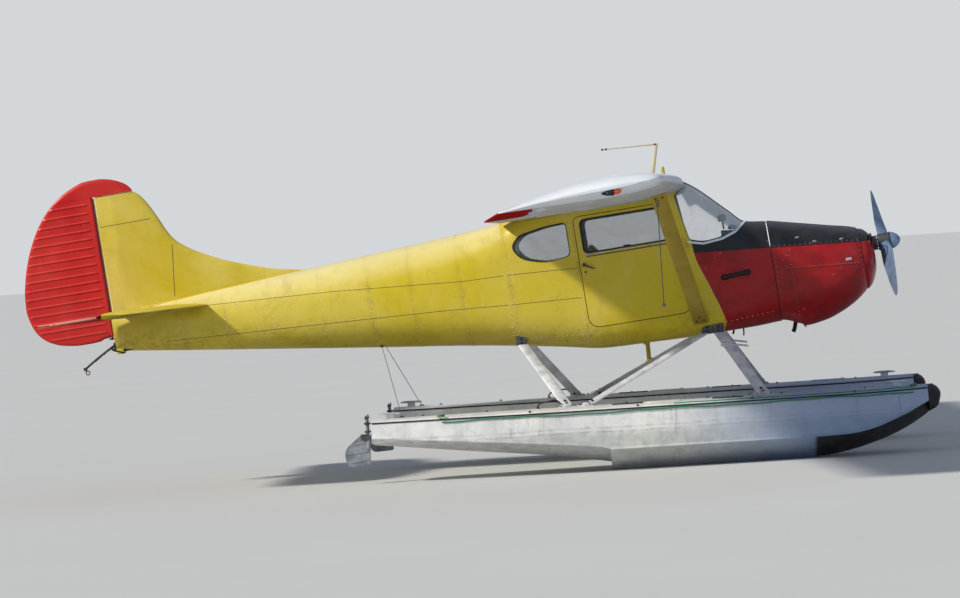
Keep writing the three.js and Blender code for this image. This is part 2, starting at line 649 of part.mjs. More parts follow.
// A vertical surface, thick at the hinge line and drawn in to its edges, from an outline in side view.
function verticalSurface(outline, thickX, frontX, rearX, half) {
  const plate = sidePrism(outline, -half, half);
  const wedge = sidePrismTop([[frontX, -3], [thickX, -half], [rearX, -3], [rearX, 3], [thickX, half], [frontX, 3]], 600, 2300);
  return plate.intersect(wedge);
}

function buildFin(bodyForm) {
  const fin = verticalSurface(FIN, -5600, -3900, -5900, FIN_HALF);
  const cove = rod(new Vector3(RUDDER_HINGE_X, 0, 600), new Vector3(RUDDER_HINGE_X, 0, 2300), FIN_HALF + SWING_GAP - 4);
  return fin.subtract(bodyForm).subtract(cove).subtract(elevatorBore());
}

function buildRudder() {
  const nose = 26;
  const blade = verticalSurface(RUDDER, RUDDER_HINGE_X, -5380, -6520, nose);
  const spar = rod(new Vector3(RUDDER_HINGE_X, 0, RUDDER_FOOT_Z), new Vector3(RUDDER_HINGE_X, 0, 2034), nose);
  const behind = box(-6600, RUDDER_HINGE_X, -60, 60, 700, 2040);
  const horn = box(-6600, -5380, -60, 60, FIN_TOP_Z + SWING_GAP, 2300);
  return join(blade.intersect(join(behind, horn)), spar, rudderPin(pin));
}

// Two-bladed propeller: rows of radius, chord, thickness, pitch angle in degrees.
const BLADE = [
  [60, 96, 66, 62], [170, 118, 46, 50], [330, 150, 30, 38], [560, 156, 20, 27], [780, 132, 13, 21],
  [900, 100, 9, 18], [PROP.radius, 44, 5, 17],
];

const HUB_HALF = 48;

function buildPropeller() {
  const rings = BLADE.map(([radius, chord, thick, pitch]) => {
    const a = pitch * RAD;
    return Array.from({ length: 12 }, (_, i) => {
      const t = (2 * Math.PI * i) / 12;
      const [u, v] = [(chord / 2) * Math.cos(t), (thick / 2) * Math.sin(t)];
      return new Vector3(u * Math.sin(a) + v * Math.cos(a), u * Math.cos(a) - v * Math.sin(a), radius);
    });
  });
  const blade = loft(rings);
  const hub = rod(new Vector3(-HUB_HALF, 0, 0), new Vector3(HUB_HALF, 0, 0), 74, 74, 24);
  const shaft = rod(new Vector3(700 + GAP - PROP.x, 0, 0), new Vector3(-40, 0, 0), 52, 52, 20);
  const both = join(blade, blade.rotate([180, 0, 0]), hub, shaft);
  return both.rotate([PROP.turn / RAD, 0, 0]).translate([PROP.x, 0, PROP.z]);
}

function buildSpinner() {
  const profile = [[0, 0], [74, 0], [72, 18], [62, 45], [44, 70], [22, 86], [0, 92]].map(([r, h]) => new Vector2(r, h));
  const geometry = new THREE.LatheGeometry(profile, 24);
  const place = new Matrix4().makeTranslation(PROP.x + HUB_HALF + GAP, 0, PROP.z).multiply(new Matrix4().makeRotationZ(-Math.PI / 2));
  return solid(geometry, place);
}

// Float sections: x, half beam, chine z, keel z, deck z. The forebody ends at the step.
const FOREBODY = [
  [FLOAT.stepX, 345, 190, 0, 523], [2700, 345, 190, 0, 523], [2950, 338, 191, 12, 523], [3150, 322, 198, 44, 523],
  [3350, 296, 232, 98, 524], [3520, 262, 292, 158, 526], [3680, 212, 356, 236, 528], [FLOAT.bowX, 150, 416, 318, 530],
];
const AFTERBODY = [
  [FLOAT.stepX + 6, 338, 202, 66, 523], [700, 330, 252, 142, 523], [0, 262, 315, 226, 523], [FLOAT.sternX, 172, 390, 329, 523],
];

function floatRing([x, half, chine, keel, deck]) {
  const crown = deck + FLOAT.crown;
  const edge = half - 14;
  const flat = Math.min(150, half * 0.55);
  const k = FLOAT.keelHalf;
  return [[-k, keel], [k, keel], [half, chine], [half, chine + 16], [edge, deck], [flat, crown], [-flat, crown],
    [-edge, deck], [-half, chine + 16], [-half, chine]].map(([y, z]) => new Vector3(x, y, z));
}

const CLEATS_X = [3560, -690];

function buildFloat() {
  let hull = join(loft(FOREBODY.map(floatRing)), loft(AFTERBODY.map(floatRing)));
  for (const x of CLEATS_X) {
    const deck = FLOAT.deckZ + FLOAT.crown;
    hull = hull.add(box(x - 34, x + 34, -14, 14, deck - 12, deck + 34));
    hull = hull.add(box(x - 95, x + 95, -12, 12, deck + 30, deck + 50));
  }
  return hull.add(buildRudderBracket()).translate([0, -FLOAT.y, 0]);
}

const BUMPER = { half: 146, length: 120.5 };

function buildBumper() {
  const { half, length } = BUMPER;
  const side = sidePrism(roundedShape([
    [FLOAT.bowX + GAP, 548, 4], [FLOAT.bowX + 56, 548, 30], [FLOAT.bowX + length, 488, 44], [FLOAT.bowX + 84, 360, 30],
    [FLOAT.bowX + GAP, 322, 4],
  ]), -half, half);
  const plan = [[FLOAT.bowX + GAP, -half]];
  for (let a = -75; a <= 75; a += 15) {
    plan.push([FLOAT.bowX + 20 + (length - 20) * Math.cos(a * RAD), half * Math.sin(a * RAD)]);
  }
  plan.push([FLOAT.bowX + GAP, half]);
  return side.intersect(sidePrismTop(plan, 300, 600)).translate([0, -FLOAT.y, 0]);
}

// Water rudder: a blade on a vertical post, carried by two lugs on the transom.
const WATER_RUDDER = { x: FLOAT.sternX - 46, low: 150, high: 560 };

function buildWaterRudder() {
  const { x, low, high } = WATER_RUDDER;
  const post = rod(new Vector3(x, 0, low + 150), new Vector3(x, 0, high), 15);
  const blade = sidePrism(roundedShape([
    [x + 14, low + 10, 20], [x + 14, 420, 6], [x - 60, 420, 20], [x - 210, low + 150, 60], [x - 190, low, 60],
  ]), -5, 5);
  const arm = box(x - 12, x + 12, -120, 120, high - 6, high + 8);
  return join(post, blade, arm).translate([0, -FLOAT.y, 0]);
}

function buildRudderBracket() {
  const { x } = WATER_RUDDER;
  const bore = rod(new Vector3(x, 0, 200), new Vector3(x, 0, 700), 16);
  const plates = [438, 506].map((z) => box(x - 26, FLOAT.sternX - GAP, -28, 28, z, z + 14));
  const back = box(FLOAT.sternX - 8, FLOAT.sternX + 2, -60, 60, 420, 520);
  return join(...plates, back).subtract(bore);
}

// Float struts, from the level airframe's fittings to the decks.
const inOuter = ([x, y, z]) => new Vector3(x, y, z).applyAxisAngle(new Vector3(0, 1, 0), -AIRFRAME_PITCH).add(AIRFRAME_AT);
const DECK_TOP = FLOAT.deckZ + FLOAT.crown + GAP;
const FRONT_FITTING = [-600, -425, 8];
const REAR_FITTING = [-2236, -372, 168];
const FRONT_FOOT_X = 2457;
const BACK_FOOT_X = 962;
const REAR_FOOT_X = 810;

function footPlate(x, half) {
  return box(x - half, x + half, -FLOAT.y - 42, -FLOAT.y + 42, DECK_TOP, DECK_TOP + 10);
}

// The tread that reaches forward from the top of each front leg, for climbing to the cabin.
const TREAD = { length: 236, half: 42, thick: 12, down: 92, out: 150, tilt: 10 };

function footTread(top) {
  const { length, half, thick, down, out, tilt } = TREAD;
  const plate = box(0, length, -half, half, -thick / 2, thick / 2);
  const arm = box(0, 130, -14, 14, -32, 0);
  return join(plate, arm).rotate([0, tilt, 0]).translate([top.x + 14, top.y - out, top.z - down]);
}

// One leg with its fitting under the fuselage and its foot plate on the deck.
function buildFloatLeg(footX, top, chord, bodyOuter) {
  const leg = strut(new Vector3(footX, -FLOAT.y, DECK_TOP + 4), new Vector3(top.x, top.y, top.z + 8), chord, 36);
  const fitting = box(top.x - 46, top.x + 46, top.y - 36, top.y + 40, top.z - 10, top.z + 76);
  return join(leg, fitting, footPlate(footX, 74)).subtract(bodyOuter);
}

function buildSpreader(x, hull) {
  const z = 455;
  const seat = hull.translate([0, 0.3, 0]);
  return rod(new Vector3(x, -FLOAT.y, z), new Vector3(x, FLOAT.y, z), 30).subtract(seat).subtract(mirrored(seat))
    .intersect(box(x - 60, x + 60, -FLOAT.y + 230, FLOAT.y - 230, 400, 500));
}

function buildStep() {
  const post = rod(new Vector3(-1178, -318, 60), new Vector3(-1186, -330, -150), 13, 13, 12);
  const tread = box(-1226, -1146, -372, -302, -158, -146);
  const skinPad = box(-1226, -1130, -372, -276, -40, 30);
  return join(post, tread, skinPad);
}

// Cabin fittings that show through the glass.
function buildSeat(x, y0, y1, backTop) {
  const cushion = sidePrism(roundedShape([[x, 250, 30], [x + 470, 260, 50], [x + 470, 400, 50], [x, 370, 20]]), y0, y1);
  const back = sidePrism(roundedShape([[x + 30, 300, 20], [x + 120, 300, 20], [x - 20, backTop, 40], [x - 110, backTop, 40]]), y0, y1);
  return { cushion, back };
}

function seat(x, y0, y1, backTop, bodyRoom) {
  const { cushion, back } = buildSeat(x, y0, y1, backTop);
  const legs = box(x + 40, x + 420, y0 + 50, y1 - 50, -20, 300);
  return join(cushion, back, legs).intersect(bodyRoom);
}

function buildPanel(bodyRoom) {
  const face = sidePrism([[-395, 560], [-350, 560], [-240, 838], [-395, 858]], -520, 520);
  return face.intersect(bodyRoom);
}

// The tail wheel's leaf spring, with no wheel on it: it leaves the tail post under the rudder's lug.
const SPRING = { top: [-5790, 746], end: [-6078, 552], thick: 12, half: 20 };

function buildTailSpring(bodyForm) {
  const { top, end, thick, half } = SPRING;
  const leaf = sidePrism([
    [TAIL_POST_X + 60, top[1] + 4], top, [end[0], end[1]], [end[0] - 6, end[1] - thick], [top[0] + 4, top[1] - thick - 6],
    [TAIL_POST_X + 60, top[1] - thick - 6],
  ], -half, half);
  const clamp = sidePrism([
    [TAIL_POST_X + 40, 752], [TAIL_POST_X - 18, 744], [TAIL_POST_X - 30, 706], [TAIL_POST_X - 4, 668],
    [TAIL_POST_X + 60, 650], [TAIL_POST_X + 160, 652], [TAIL_POST_X + 160, 690],
  ], -36, 36);
  const ring = new THREE.TorusGeometry(17, 4.5, 8, 20);
  const eye = solid(ring, new Matrix4().makeRotationX(Math.PI / 2).setPosition(end[0] + 26, 0, end[1] - 36));
  const shackle = rod(new Vector3(end[0] + 12, 0, end[1] + 3), new Vector3(end[0] + 18, 0, end[1] - 24), 7, 7, 8);
  return join(leaf, clamp, shackle, eye).subtract(bodyForm);
}

// The aerial: a leaning mast on the cabin roof that carries a wire rod running aft.
const AERIAL = { foot: [-912, 1380], top: [-822, 1690], rodEnd: [-1304, 1712] };

function buildAerial(bodyForm) {
  const at = ([x, z]) => new Vector3(x, 0, z);
  const { foot, top, rodEnd } = AERIAL;
  const mast = strut(at(foot), at(top), 34, 14, 10);
  const socket = rod(at([foot[0] - 6, foot[1] - 4]), at([foot[0] + 8, foot[1] + 38]), 30, 20, 12);
  return join(mast, socket, rod(at([top[0] + 12, top[1] - 8]), at(rodEnd), 5, 4, 8)).subtract(bodyForm);
}

// A rope tied to the ring under the right wing strut, hanging at its real length.
const STRUT_RING = { x: -866, y: -2400, z: 1165, radius: 14, wire: 4 };
const ROPE = { length: 830, radius: 4.5, step: 24, sides: 8 };

function strutRing() {
  const { x, y, z, radius, wire } = STRUT_RING;
  return solid(new THREE.TorusGeometry(radius, wire, 8, 20), new Matrix4().makeRotationX(Math.PI / 2).setPosition(x, y, z));
}

function hangingRope() {
  const { length, radius, step, sides } = ROPE;
  const { x, y, z, radius: ringRadius, wire } = STRUT_RING;
  const head = inOuter([x, y, z]).add(new Vector3(0, 0, -ringRadius - wire - 0.3));
  const path = new THREE.LineCurve3(head, head.clone().add(new Vector3(0, 0, -length)));
  const section = new THREE.Shape(Array.from({ length: sides }, (_, i) => {
    const turn = (2 * Math.PI * i) / sides;
    return new Vector2(radius * Math.cos(turn), radius * Math.sin(turn));
  }));
  return solid(new THREE.ExtrudeGeometry(section, { steps: Math.round(length / step), extrudePath: path }));
}

// Assembly.
const airframe = new THREE.Group();
airframe.rotation.y = -AIRFRAME_PITCH;
airframe.position.copy(AIRFRAME_AT);
const aircraft = new THREE.Group();
aircraft.add(airframe);

function put(group, name, body, paint) {
  const [color, roughness, metalness] = PAINT[paint];
  const material = new THREE.MeshStandardMaterial({ color, roughness, metalness });
  if (paint === "glass") {
    material.transparent = true;
    material.opacity = 0.35;
  }
  const mesh = new THREE.Mesh(geometryOf(body), material);
  mesh.name = name;
  group.add(mesh);
}

function pair(group, name, body, paint) {
  put(group, name + "_right", body, paint);
  put(group, name + "_left", mirrored(body), paint);
}

const bodyForm = fuselage(0, TAIL_POST_X, GAP);
const stabilizer = buildStabilizer(bodyForm);
const cabin = buildCabin();
const cowls = buildCowls();
const wing = buildWing(bodyForm);
const room = fuselage(-12, CABIN_REAR_X + BULKHEAD + GAP, -WALL - GAP);
const outerBody = solid(geometryOf(fuselage(COWL_FRONT_X, TAIL_POST_X, GAP)), new Matrix4().compose(
  AIRFRAME_AT, new THREE.Quaternion().setFromAxisAngle(new Vector3(0, 1, 0), -AIRFRAME_PITCH), new Vector3(1, 1, 1)));

put(airframe, "cabin_shell", cabin.shell, "yellow");
pair(airframe, "door", cabin.door, "yellow");
pair(airframe, "door_window", cabin.doorGlass, "glass");
pair(airframe, "quarter_window", cabin.quarterGlass, "glass");
pair(airframe, "windshield", cabin.screenGlass, "glass");
put(airframe, "tail_cone", buildTailCone(), "yellow");
put(airframe, "firewall", buildFirewall(), "steel");
put(airframe, "engine_block", buildEngine(), "iron");
put(airframe, "nose_bowl", cowls.bowl, "red");
put(airframe, "cowl_upper", cowls.upper, "black");
put(airframe, "cowl_lower", cowls.lower, "red");
put(airframe, "propeller", buildPropeller(), "alloy");
put(airframe, "spinner", buildSpinner(), "alloy");
pair(airframe, "wing", wing, "white");
pair(airframe, "wing_tip", buildWingTip(), "white");
pair(airframe, "flap", buildFlap(), "white");
pair(airframe, "aileron", buildAileron(), "red");
pair(airframe, "wing_strut", buildWingStrut(bodyForm, wing), "yellow");
pair(airframe, "stabilizer", stabilizer, "yellow");
put(airframe, "elevator", buildElevator(), "red");
put(airframe, "fin", buildFin(bodyForm), "yellow");
put(airframe, "rudder", buildRudder(), "red");
put(airframe, "tail_spring", buildTailSpring(bodyForm), "steel");
put(airframe, "aerial_mast", buildAerial(bodyForm), "alloy");
pair(airframe, "seat_front", seat(-1470, -430, -40, 925, room), "trim");
put(airframe, "seat_rear", seat(-2140, -420, 420, 900, room), "trim");
put(airframe, "instrument_panel", buildPanel(room), "black");
pair(airframe, "boarding_step", buildStep().subtract(bodyForm), "yellow");

const hull = buildFloat();
pair(aircraft, "float", hull, "alloy");
pair(aircraft, "float_bumper", buildBumper(), "rubber");
const [frontTop, rearTop] = [inOuter(FRONT_FITTING), inOuter(REAR_FITTING)];
const beside = (shift) => frontTop.clone().add(new Vector3(shift, 0, 0));
const frontLeg = buildFloatLeg(FRONT_FOOT_X, beside(47), 90, outerBody).add(footTread(beside(47)));
pair(aircraft, "front_float_strut", frontLeg, "alloy");
pair(aircraft, "diagonal_float_strut", buildFloatLeg(BACK_FOOT_X, beside(-47), 72, outerBody), "alloy");
pair(aircraft, "rear_float_strut", buildFloatLeg(REAR_FOOT_X, rearTop, 72, outerBody), "alloy");
pair(aircraft, "water_rudder", buildWaterRudder(), "alloy");
put(aircraft, "tiedown_rope", hangingRope(), "rope");
put(aircraft, "spreader_bar_front", buildSpreader(2380, hull), "alloy");
put(aircraft, "spreader_bar_rear", buildSpreader(880, hull), "alloy");

export default aircraft;
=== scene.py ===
"""Looks for the floatplane: a high-wing cabin monoplane on two straight floats.

Every piece is made from the sizes that its class holds, in millimetres, either in the level
airframe's own frame (x = 0 at the firewall, z = 0 at the belly) or in the outer frame that the
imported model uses, and is then placed in metres on the body it moves with.
"""

import logging
import math
from dataclasses import dataclass, field
from enum import Enum
from typing import Callable, Iterable, Sequence

import bpy
import numpy as np
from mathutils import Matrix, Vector


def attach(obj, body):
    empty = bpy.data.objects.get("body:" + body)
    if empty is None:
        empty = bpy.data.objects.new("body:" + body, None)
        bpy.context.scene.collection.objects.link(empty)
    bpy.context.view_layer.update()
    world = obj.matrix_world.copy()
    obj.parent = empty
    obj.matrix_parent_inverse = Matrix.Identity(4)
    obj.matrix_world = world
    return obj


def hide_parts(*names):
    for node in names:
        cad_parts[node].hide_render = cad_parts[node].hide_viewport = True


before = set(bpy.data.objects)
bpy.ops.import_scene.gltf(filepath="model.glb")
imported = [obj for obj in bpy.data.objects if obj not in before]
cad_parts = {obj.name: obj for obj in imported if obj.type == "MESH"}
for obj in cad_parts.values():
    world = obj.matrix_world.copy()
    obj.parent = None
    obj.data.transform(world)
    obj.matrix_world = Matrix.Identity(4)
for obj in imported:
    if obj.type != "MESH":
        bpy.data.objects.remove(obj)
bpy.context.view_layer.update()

LOG = logging.getLogger("floatplane")
MM = 0.001
PITCH = math.radians(5.5)
AIRFRAME_AT = np.array([2660.0, 0.0, 1126.0])
SIDES = {"right": -1, "left": 1}
# Where the level belly starts to rise towards the tail, and how steeply.
BELLY_BREAK, BELLY_SLOPE = -1270.0, 0.149

Point = tuple[float, float, float]
Rows = Sequence[Sequence[float]]


class Place(Enum):
    """The frame in which a shape's points are given."""

    LEVEL = "level"
    OUTER = "outer"


def to_outer(points: np.ndarray) -> np.ndarray:
    """Turns points of the level airframe into the outer frame.

    Args:
        points: rows of x, y, z in millimetres, level airframe.

    Returns:
        The same points in millimetres in the outer frame.
    """
    p = np.asarray(points, float)
    c, s = math.cos(PITCH), math.sin(PITCH)
    turned = np.stack([p[..., 0] * c - p[..., 2] * s, p[..., 1], p[..., 0] * s + p[..., 2] * c], axis=-1)
    return turned + AIRFRAME_AT


class Curve:
    """A smooth curve through table rows that never overshoots them."""

    def __init__(self, knots: Sequence[float], values: Rows) -> None:
        """Sets the curve up.

        Args:
            knots: the rising positions of the rows.
            values: the rows' values, one row a knot.
        """
        self.x = np.asarray(knots, float)
        self.y = np.asarray(values, float)
        if self.y.ndim == 1:
            self.y = self.y[:, None]
        h = np.diff(self.x)[:, None]
        d = np.diff(self.y, axis=0) / h
        m = np.zeros_like(self.y)
        if len(self.x) > 2:
            w1, w2 = 2 * h[1:] + h[:-1], h[1:] + 2 * h[:-1]
            same = d[:-1] * d[1:] > 0
            safe0, safe1 = np.where(same, d[:-1], 1), np.where(same, d[1:], 1)
            m[1:-1] = np.where(same, (w1 + w2) / (w1 / safe0 + w2 / safe1), 0)
        m[0], m[-1] = d[0], d[-1]
        self.m, self.h, self.d = m, h, d

    def __call__(self, where: float | np.ndarray) -> np.ndarray:
        """Returns the row, or rows, of values at where."""
        t = np.atleast_1d(np.asarray(where, float))
        i = np.clip(np.searchsorted(self.x, t, side="right") - 1, 0, len(self.x) - 2)
        h = self.h[i]
        s = np.clip((t - self.x[i])[:, None] / h, 0, 1)
        a = (1 + 2 * s) * (1 - s) ** 2 * self.y[i] + s * (1 - s) ** 2 * h * self.m[i]
        b = s * s * (3 - 2 * s) * self.y[i + 1] + s * s * (s - 1) * h * self.m[i + 1]
        out = a + b
        return out[0] if np.ndim(where) == 0 else out


def spaced(knots: Sequence[float], step: float) -> np.ndarray:
    """Returns positions through every knot, no further apart than step."""
    out: list[float] = []
    for a, b in zip(knots[:-1], knots[1:]):
        n = max(1, math.ceil(abs(b - a) / step))
        out.extend(a + (b - a) * k / n for k in range(n))
    return np.array(out + [knots[-1]])


def resampled(line: np.ndarray, count: int, bend: float = 0.0, closed: bool = False) -> np.ndarray:
    """Spaces points evenly along a polyline.

    Args:
        line: the polyline's points, in any number of dimensions.
        count: how many points to return.
        bend: the share of the spacing that goes by turning instead of by length.
        closed: whether the last point joins the first.

    Returns:
        count points along the line; both ends are kept where it is open.
    """
    p = np.vstack([line, line[:1]]) if closed else np.asarray(line, float)
    step = np.diff(p, axis=0)
    length = np.linalg.norm(step, axis=1)
    weight = length / max(length.sum(), 1e-9)
    if bend:
        unit = step / np.maximum(length, 1e-9)[:, None]
        turn = np.arccos(np.clip((unit[:-1] * unit[1:]).sum(1), -1, 1))
        spread = np.zeros(len(step))
        spread[:-1] += turn / 2
        spread[1:] += turn / 2
        weight = (1 - bend) * weight + bend * spread / max(spread.sum(), 1e-9)
    s = np.concatenate([[0], np.cumsum(weight)])
    t = np.linspace(0, s[-1], count + 1)[:-1] if closed else np.linspace(0, s[-1], count)
    return np.stack([np.interp(t, s, p[:, k]) for k in range(p.shape[1])], axis=1)


def rounded(corners: Rows, steps: int = 8) -> np.ndarray:
    """Draws a closed outline whose corners are rounded, each by its own radius.

    Args:
        corners: rows of u, v, radius.
        steps: segments a corner.

    Returns:
        The outline's points, rows of u, v.
    """
    pts, n = [], len(corners)
    for i, (u, v, radius) in enumerate(corners):
        here = np.array([u, v], float)
        before = np.array(corners[i - 1][:2], float) - here
        after = np.array(corners[(i + 1) % n][:2], float) - here
        a = here + before / np.linalg.norm(before) * radius
        b = here + after / np.linalg.norm(after) * radius
        if radius <= 0:
            pts.append(here)
            continue
        for t in np.linspace(0, 1, steps + 1):
            pts.append((1 - t) ** 2 * a + 2 * t * (1 - t) * here + t * t * b)
    return np.array(pts)


def inset(outline: np.ndarray, by: float) -> np.ndarray:
    """Draws an outline parallel to a closed one, inside it by so much, or outside where negative."""
    p = np.asarray(outline, float)
    keep = np.linalg.norm(p - np.roll(p, 1, axis=0), axis=1) > 1e-6
    p = p[keep]
    a = p - np.roll(p, 1, axis=0)
    b = np.roll(p, -1, axis=0) - p
    a /= np.linalg.norm(a, axis=1)[:, None]
    b /= np.linalg.norm(b, axis=1)[:, None]
    area = np.sum(p[:, 0] * np.roll(p[:, 1], -1) - np.roll(p[:, 0], -1) * p[:, 1])
    side = 1 if area > 0 else -1
    na = np.stack([-a[:, 1], a[:, 0]], 1) * side
    mid = na + np.stack([-b[:, 1], b[:, 0]], 1) * side
    mid /= np.maximum(np.linalg.norm(mid, axis=1), 1e-9)[:, None]
    reach = by / np.maximum(0.4, (mid * na).sum(1))
    return p + mid * reach[:, None]


class Shape:
    """Points and faces of a piece while it is made, every face with the number of its finish."""

    def __init__(self) -> None:
        """Starts with nothing in it."""
        self.points: list[np.ndarray] = []
        self.faces: list[tuple[int, ...]] = []
        self.tags: list[int] = []
        self.count = 0

    def add(self, points: np.ndarray, faces: Iterable[Sequence[int]], tag: int = 0) -> "Shape":
        """Adds points and the faces between them.

        Args:
            points: rows of x, y, z in millimetres.
            faces: indices into those points.
            tag: the number of the faces' finish.

        Returns:
            The shape itself, so that calls can follow each other.
        """
        base = self.count
        self.points.append(np.asarray(points, float).reshape(-1, 3))
        self.count += len(self.points[-1])
        for face in faces:
            self.faces.append(tuple(int(i) + base for i in face))
            self.tags.append(tag)
        return self

    def join(self, other: "Shape") -> "Shape":
        """Adds all of another shape, with its finishes."""
        if other.count:
            base = self.count
            self.points.append(np.vstack(other.points))
            self.count += other.count
            self.faces.extend(tuple(i + base for i in face) for face in other.faces)
            self.tags.extend(other.tags)
        return self

    def all_points(self) -> np.ndarray:
        """Returns every point as one array."""
        return np.vstack(self.points) if self.points else np.zeros((0, 3))

    def moved(self, change: Callable[[np.ndarray], np.ndarray], flip: bool = False) -> "Shape":
        """Makes a copy whose points are changed.

        Args:
            change: takes and returns rows of x, y, z.
            flip: turns the faces round, for a change that mirrors.

        Returns:
            The new shape.
        """
        out = Shape()
        out.points, out.count = [change(self.all_points())], self.count
        out.faces = [face[::-1] for face in self.faces] if flip else list(self.faces)
        out.tags = list(self.tags)
        return out

    def mirrored(self) -> "Shape":
        """Returns the same shape on the other side of the centre line."""
        return self.moved(lambda p: p * np.array([1, -1, 1]), flip=True)

    def sided(self, side: int) -> "Shape":
        """Returns the shape as it is for the right side (-1), or mirrored for the left (1)."""
        return self.mirrored() if side > 0 else self

    def loft(self, rings: Sequence[np.ndarray], tag: int = 0) -> "Shape":
        """Adds a closed skin through rings of equal point count, with a face at both ends.

        Args:
            rings: the rings, each rows of x, y, z.
            tag: the number of the finish.

        Returns:
            The shape itself.
        """
        n, m = len(rings), len(rings[0])
        faces = []
        for i in range(n - 1):
            for j in range(m):
                k = (j + 1) % m
                faces.append((i * m + j, i * m + k, (i + 1) * m + k, (i + 1) * m + j))
        faces.append(tuple(range(m))[::-1])
        faces.append(tuple((n - 1) * m + j for j in range(m)))
        piece = Shape().add(np.vstack(rings), faces, tag)
        return self.join(piece if piece.volume() >= 0 else piece.reversed())

    def reversed(self) -> "Shape":
        """Returns the shape with its faces turned round."""
        return self.moved(lambda p: p, flip=True)

    def volume(self) -> float:
        """Returns the signed volume that the faces enclose."""
        p, total = self.all_points(), 0.0
        for face in self.faces:
            a = p[face[0]]
            for j in range(1, len(face) - 1):
                total += float(np.dot(a, np.cross(p[face[j]], p[face[j + 1]])))
        return total / 6

    def tube(self, path: Rows, radius: float | Sequence[float], sides: int = 12, tag: int = 0,
             flat: float = 1.0) -> "Shape":
        """Adds a round rod along a path.

        Args:
            path: the points that it follows.
            radius: one radius, or one a point.
            sides: points round it.
            tag: the number of the finish.
            flat: how much thinner it is across its second side than its first.

        Returns:
            The shape itself.
        """
        p = np.asarray(path, float)
        radii = np.broadcast_to(np.asarray(radius, float), (len(p),))
        along = np.gradient(p, axis=0)
        along /= np.maximum(np.linalg.norm(along, axis=1), 1e-9)[:, None]
        ref = np.array([0, 0, 1.0]) if abs(along[0][2]) < 0.9 else np.array([1.0, 0, 0])
        u = np.cross(ref, along[0])
        rings = []
        turn = np.linspace(0, 2 * np.pi, sides, endpoint=False)
        for point, t, r in zip(p, along, radii):
            u = u - t * np.dot(u, t)
            u /= max(np.linalg.norm(u), 1e-9)
            v = np.cross(t, u)
            rings.append(point + r * (np.cos(turn)[:, None] * u + flat * np.sin(turn)[:, None] * v))
        return self.loft(rings, tag)

    def lathe(self, profile: Rows, at: Point, axis: Point, sides: int = 32, tag: int = 0) -> "Shape":
        """Adds a turned form.

        Args:
            profile: rows of radius and distance along the axis; its ends sit on the axis or get caps.
            at: the foot of the axis.
            axis: its direction.
            sides: points round it.
            tag: the number of the finish.

        Returns:
            The shape itself.
        """
        a = np.asarray(axis, float) / np.linalg.norm(axis)
        ref = np.array([0, 0, 1.0]) if abs(a[2]) < 0.9 else np.array([1.0, 0, 0])
        u = np.cross(ref, a)
        u /= np.linalg.norm(u)
        v = np.cross(a, u)
        turn = np.linspace(0, 2 * np.pi, sides, endpoint=False)
        ring = np.cos(turn)[:, None] * u + np.sin(turn)[:, None] * v
        rings = [np.asarray(at, float) + a * h + ring * max(r, 0.05) for r, h in profile]
        return self.loft(rings, tag)

    def prism(self, outline: np.ndarray, y0: float, y1: float, tag: int = 0, plane: str = "xz") -> "Shape":
        """Adds an outline pushed through the third direction from y0 to y1.

        Args:
            outline: rows of u, v.
            y0: where it starts in the third direction.
            y1: where it ends.
            tag: the number of the finish.
            plane: "xz", "xy" or "yz", the plane that the outline is drawn in.

        Returns:
            The shape itself.
        """
        o = np.asarray(outline, float)
        order = {"xz": (0, 2, 1), "xy": (0, 1, 2), "yz": (1, 2, 0)}[plane]
        rings = []
        for depth in (y0, y1):
            ring = np.zeros((len(o), 3))
            ring[:, order[0]], ring[:, order[1]], ring[:, order[2]] = o[:, 0], o[:, 1], depth
            rings.append(ring)
        return self.loft(rings, tag)

    def block(self, low: Point, high: Point, tag: int = 0, round_by: float = 2.0) -> "Shape":
        """Adds a block whose twelve edges are eased.

        Args:
            low: its lowest corner.
            high: its highest corner.
            tag: the number of the finish.
            round_by: how far the edges are cut back.

        Returns:
            The shape itself.
        """
        lo, hi = np.asarray(low, float), np.asarray(high, float)
        r = min(round_by, *(0.45 * (hi - lo)))
        rings = []
        for z, pull in ((lo[2], r), (lo[2] + r, 0.0), (hi[2] - r, 0.0), (hi[2], r)):
            corners = [(lo[0] + pull, lo[1] + pull, r), (hi[0] - pull, lo[1] + pull, r),
                       (hi[0] - pull, hi[1] - pull, r), (lo[0] + pull, hi[1] - pull, r)]
            o = rounded(corners, 3)
            rings.append(np.column_stack([o, np.full(len(o), z)]))
        return self.loft(rings, tag)


def new_mesh(name: str, shape: Shape, finishes: Sequence[bpy.types.Material],
             place: Place) -> bpy.types.Object:
    """Turns a shape into an object of the scene, in metres in the outer frame.

    Args:
        name: the object's name.
        shape: its points, faces and finish numbers.
        finishes: the materials, in the order of the finish numbers.
        place: the frame that the points are in.

    Returns:
        The object.
    """
    points = shape.all_points()
    if place is Place.LEVEL:
        points = to_outer(points)
    mesh = bpy.data.meshes.new(name)
    mesh.from_pydata([tuple(p) for p in points * MM], [], shape.faces)
    for finish in finishes:
        mesh.materials.append(finish)
    mesh.polygons.foreach_set("material_index", shape.tags)
    mesh.update()
    made = bpy.data.objects.new(name, mesh)
    bpy.context.scene.collection.objects.link(made)
    return made


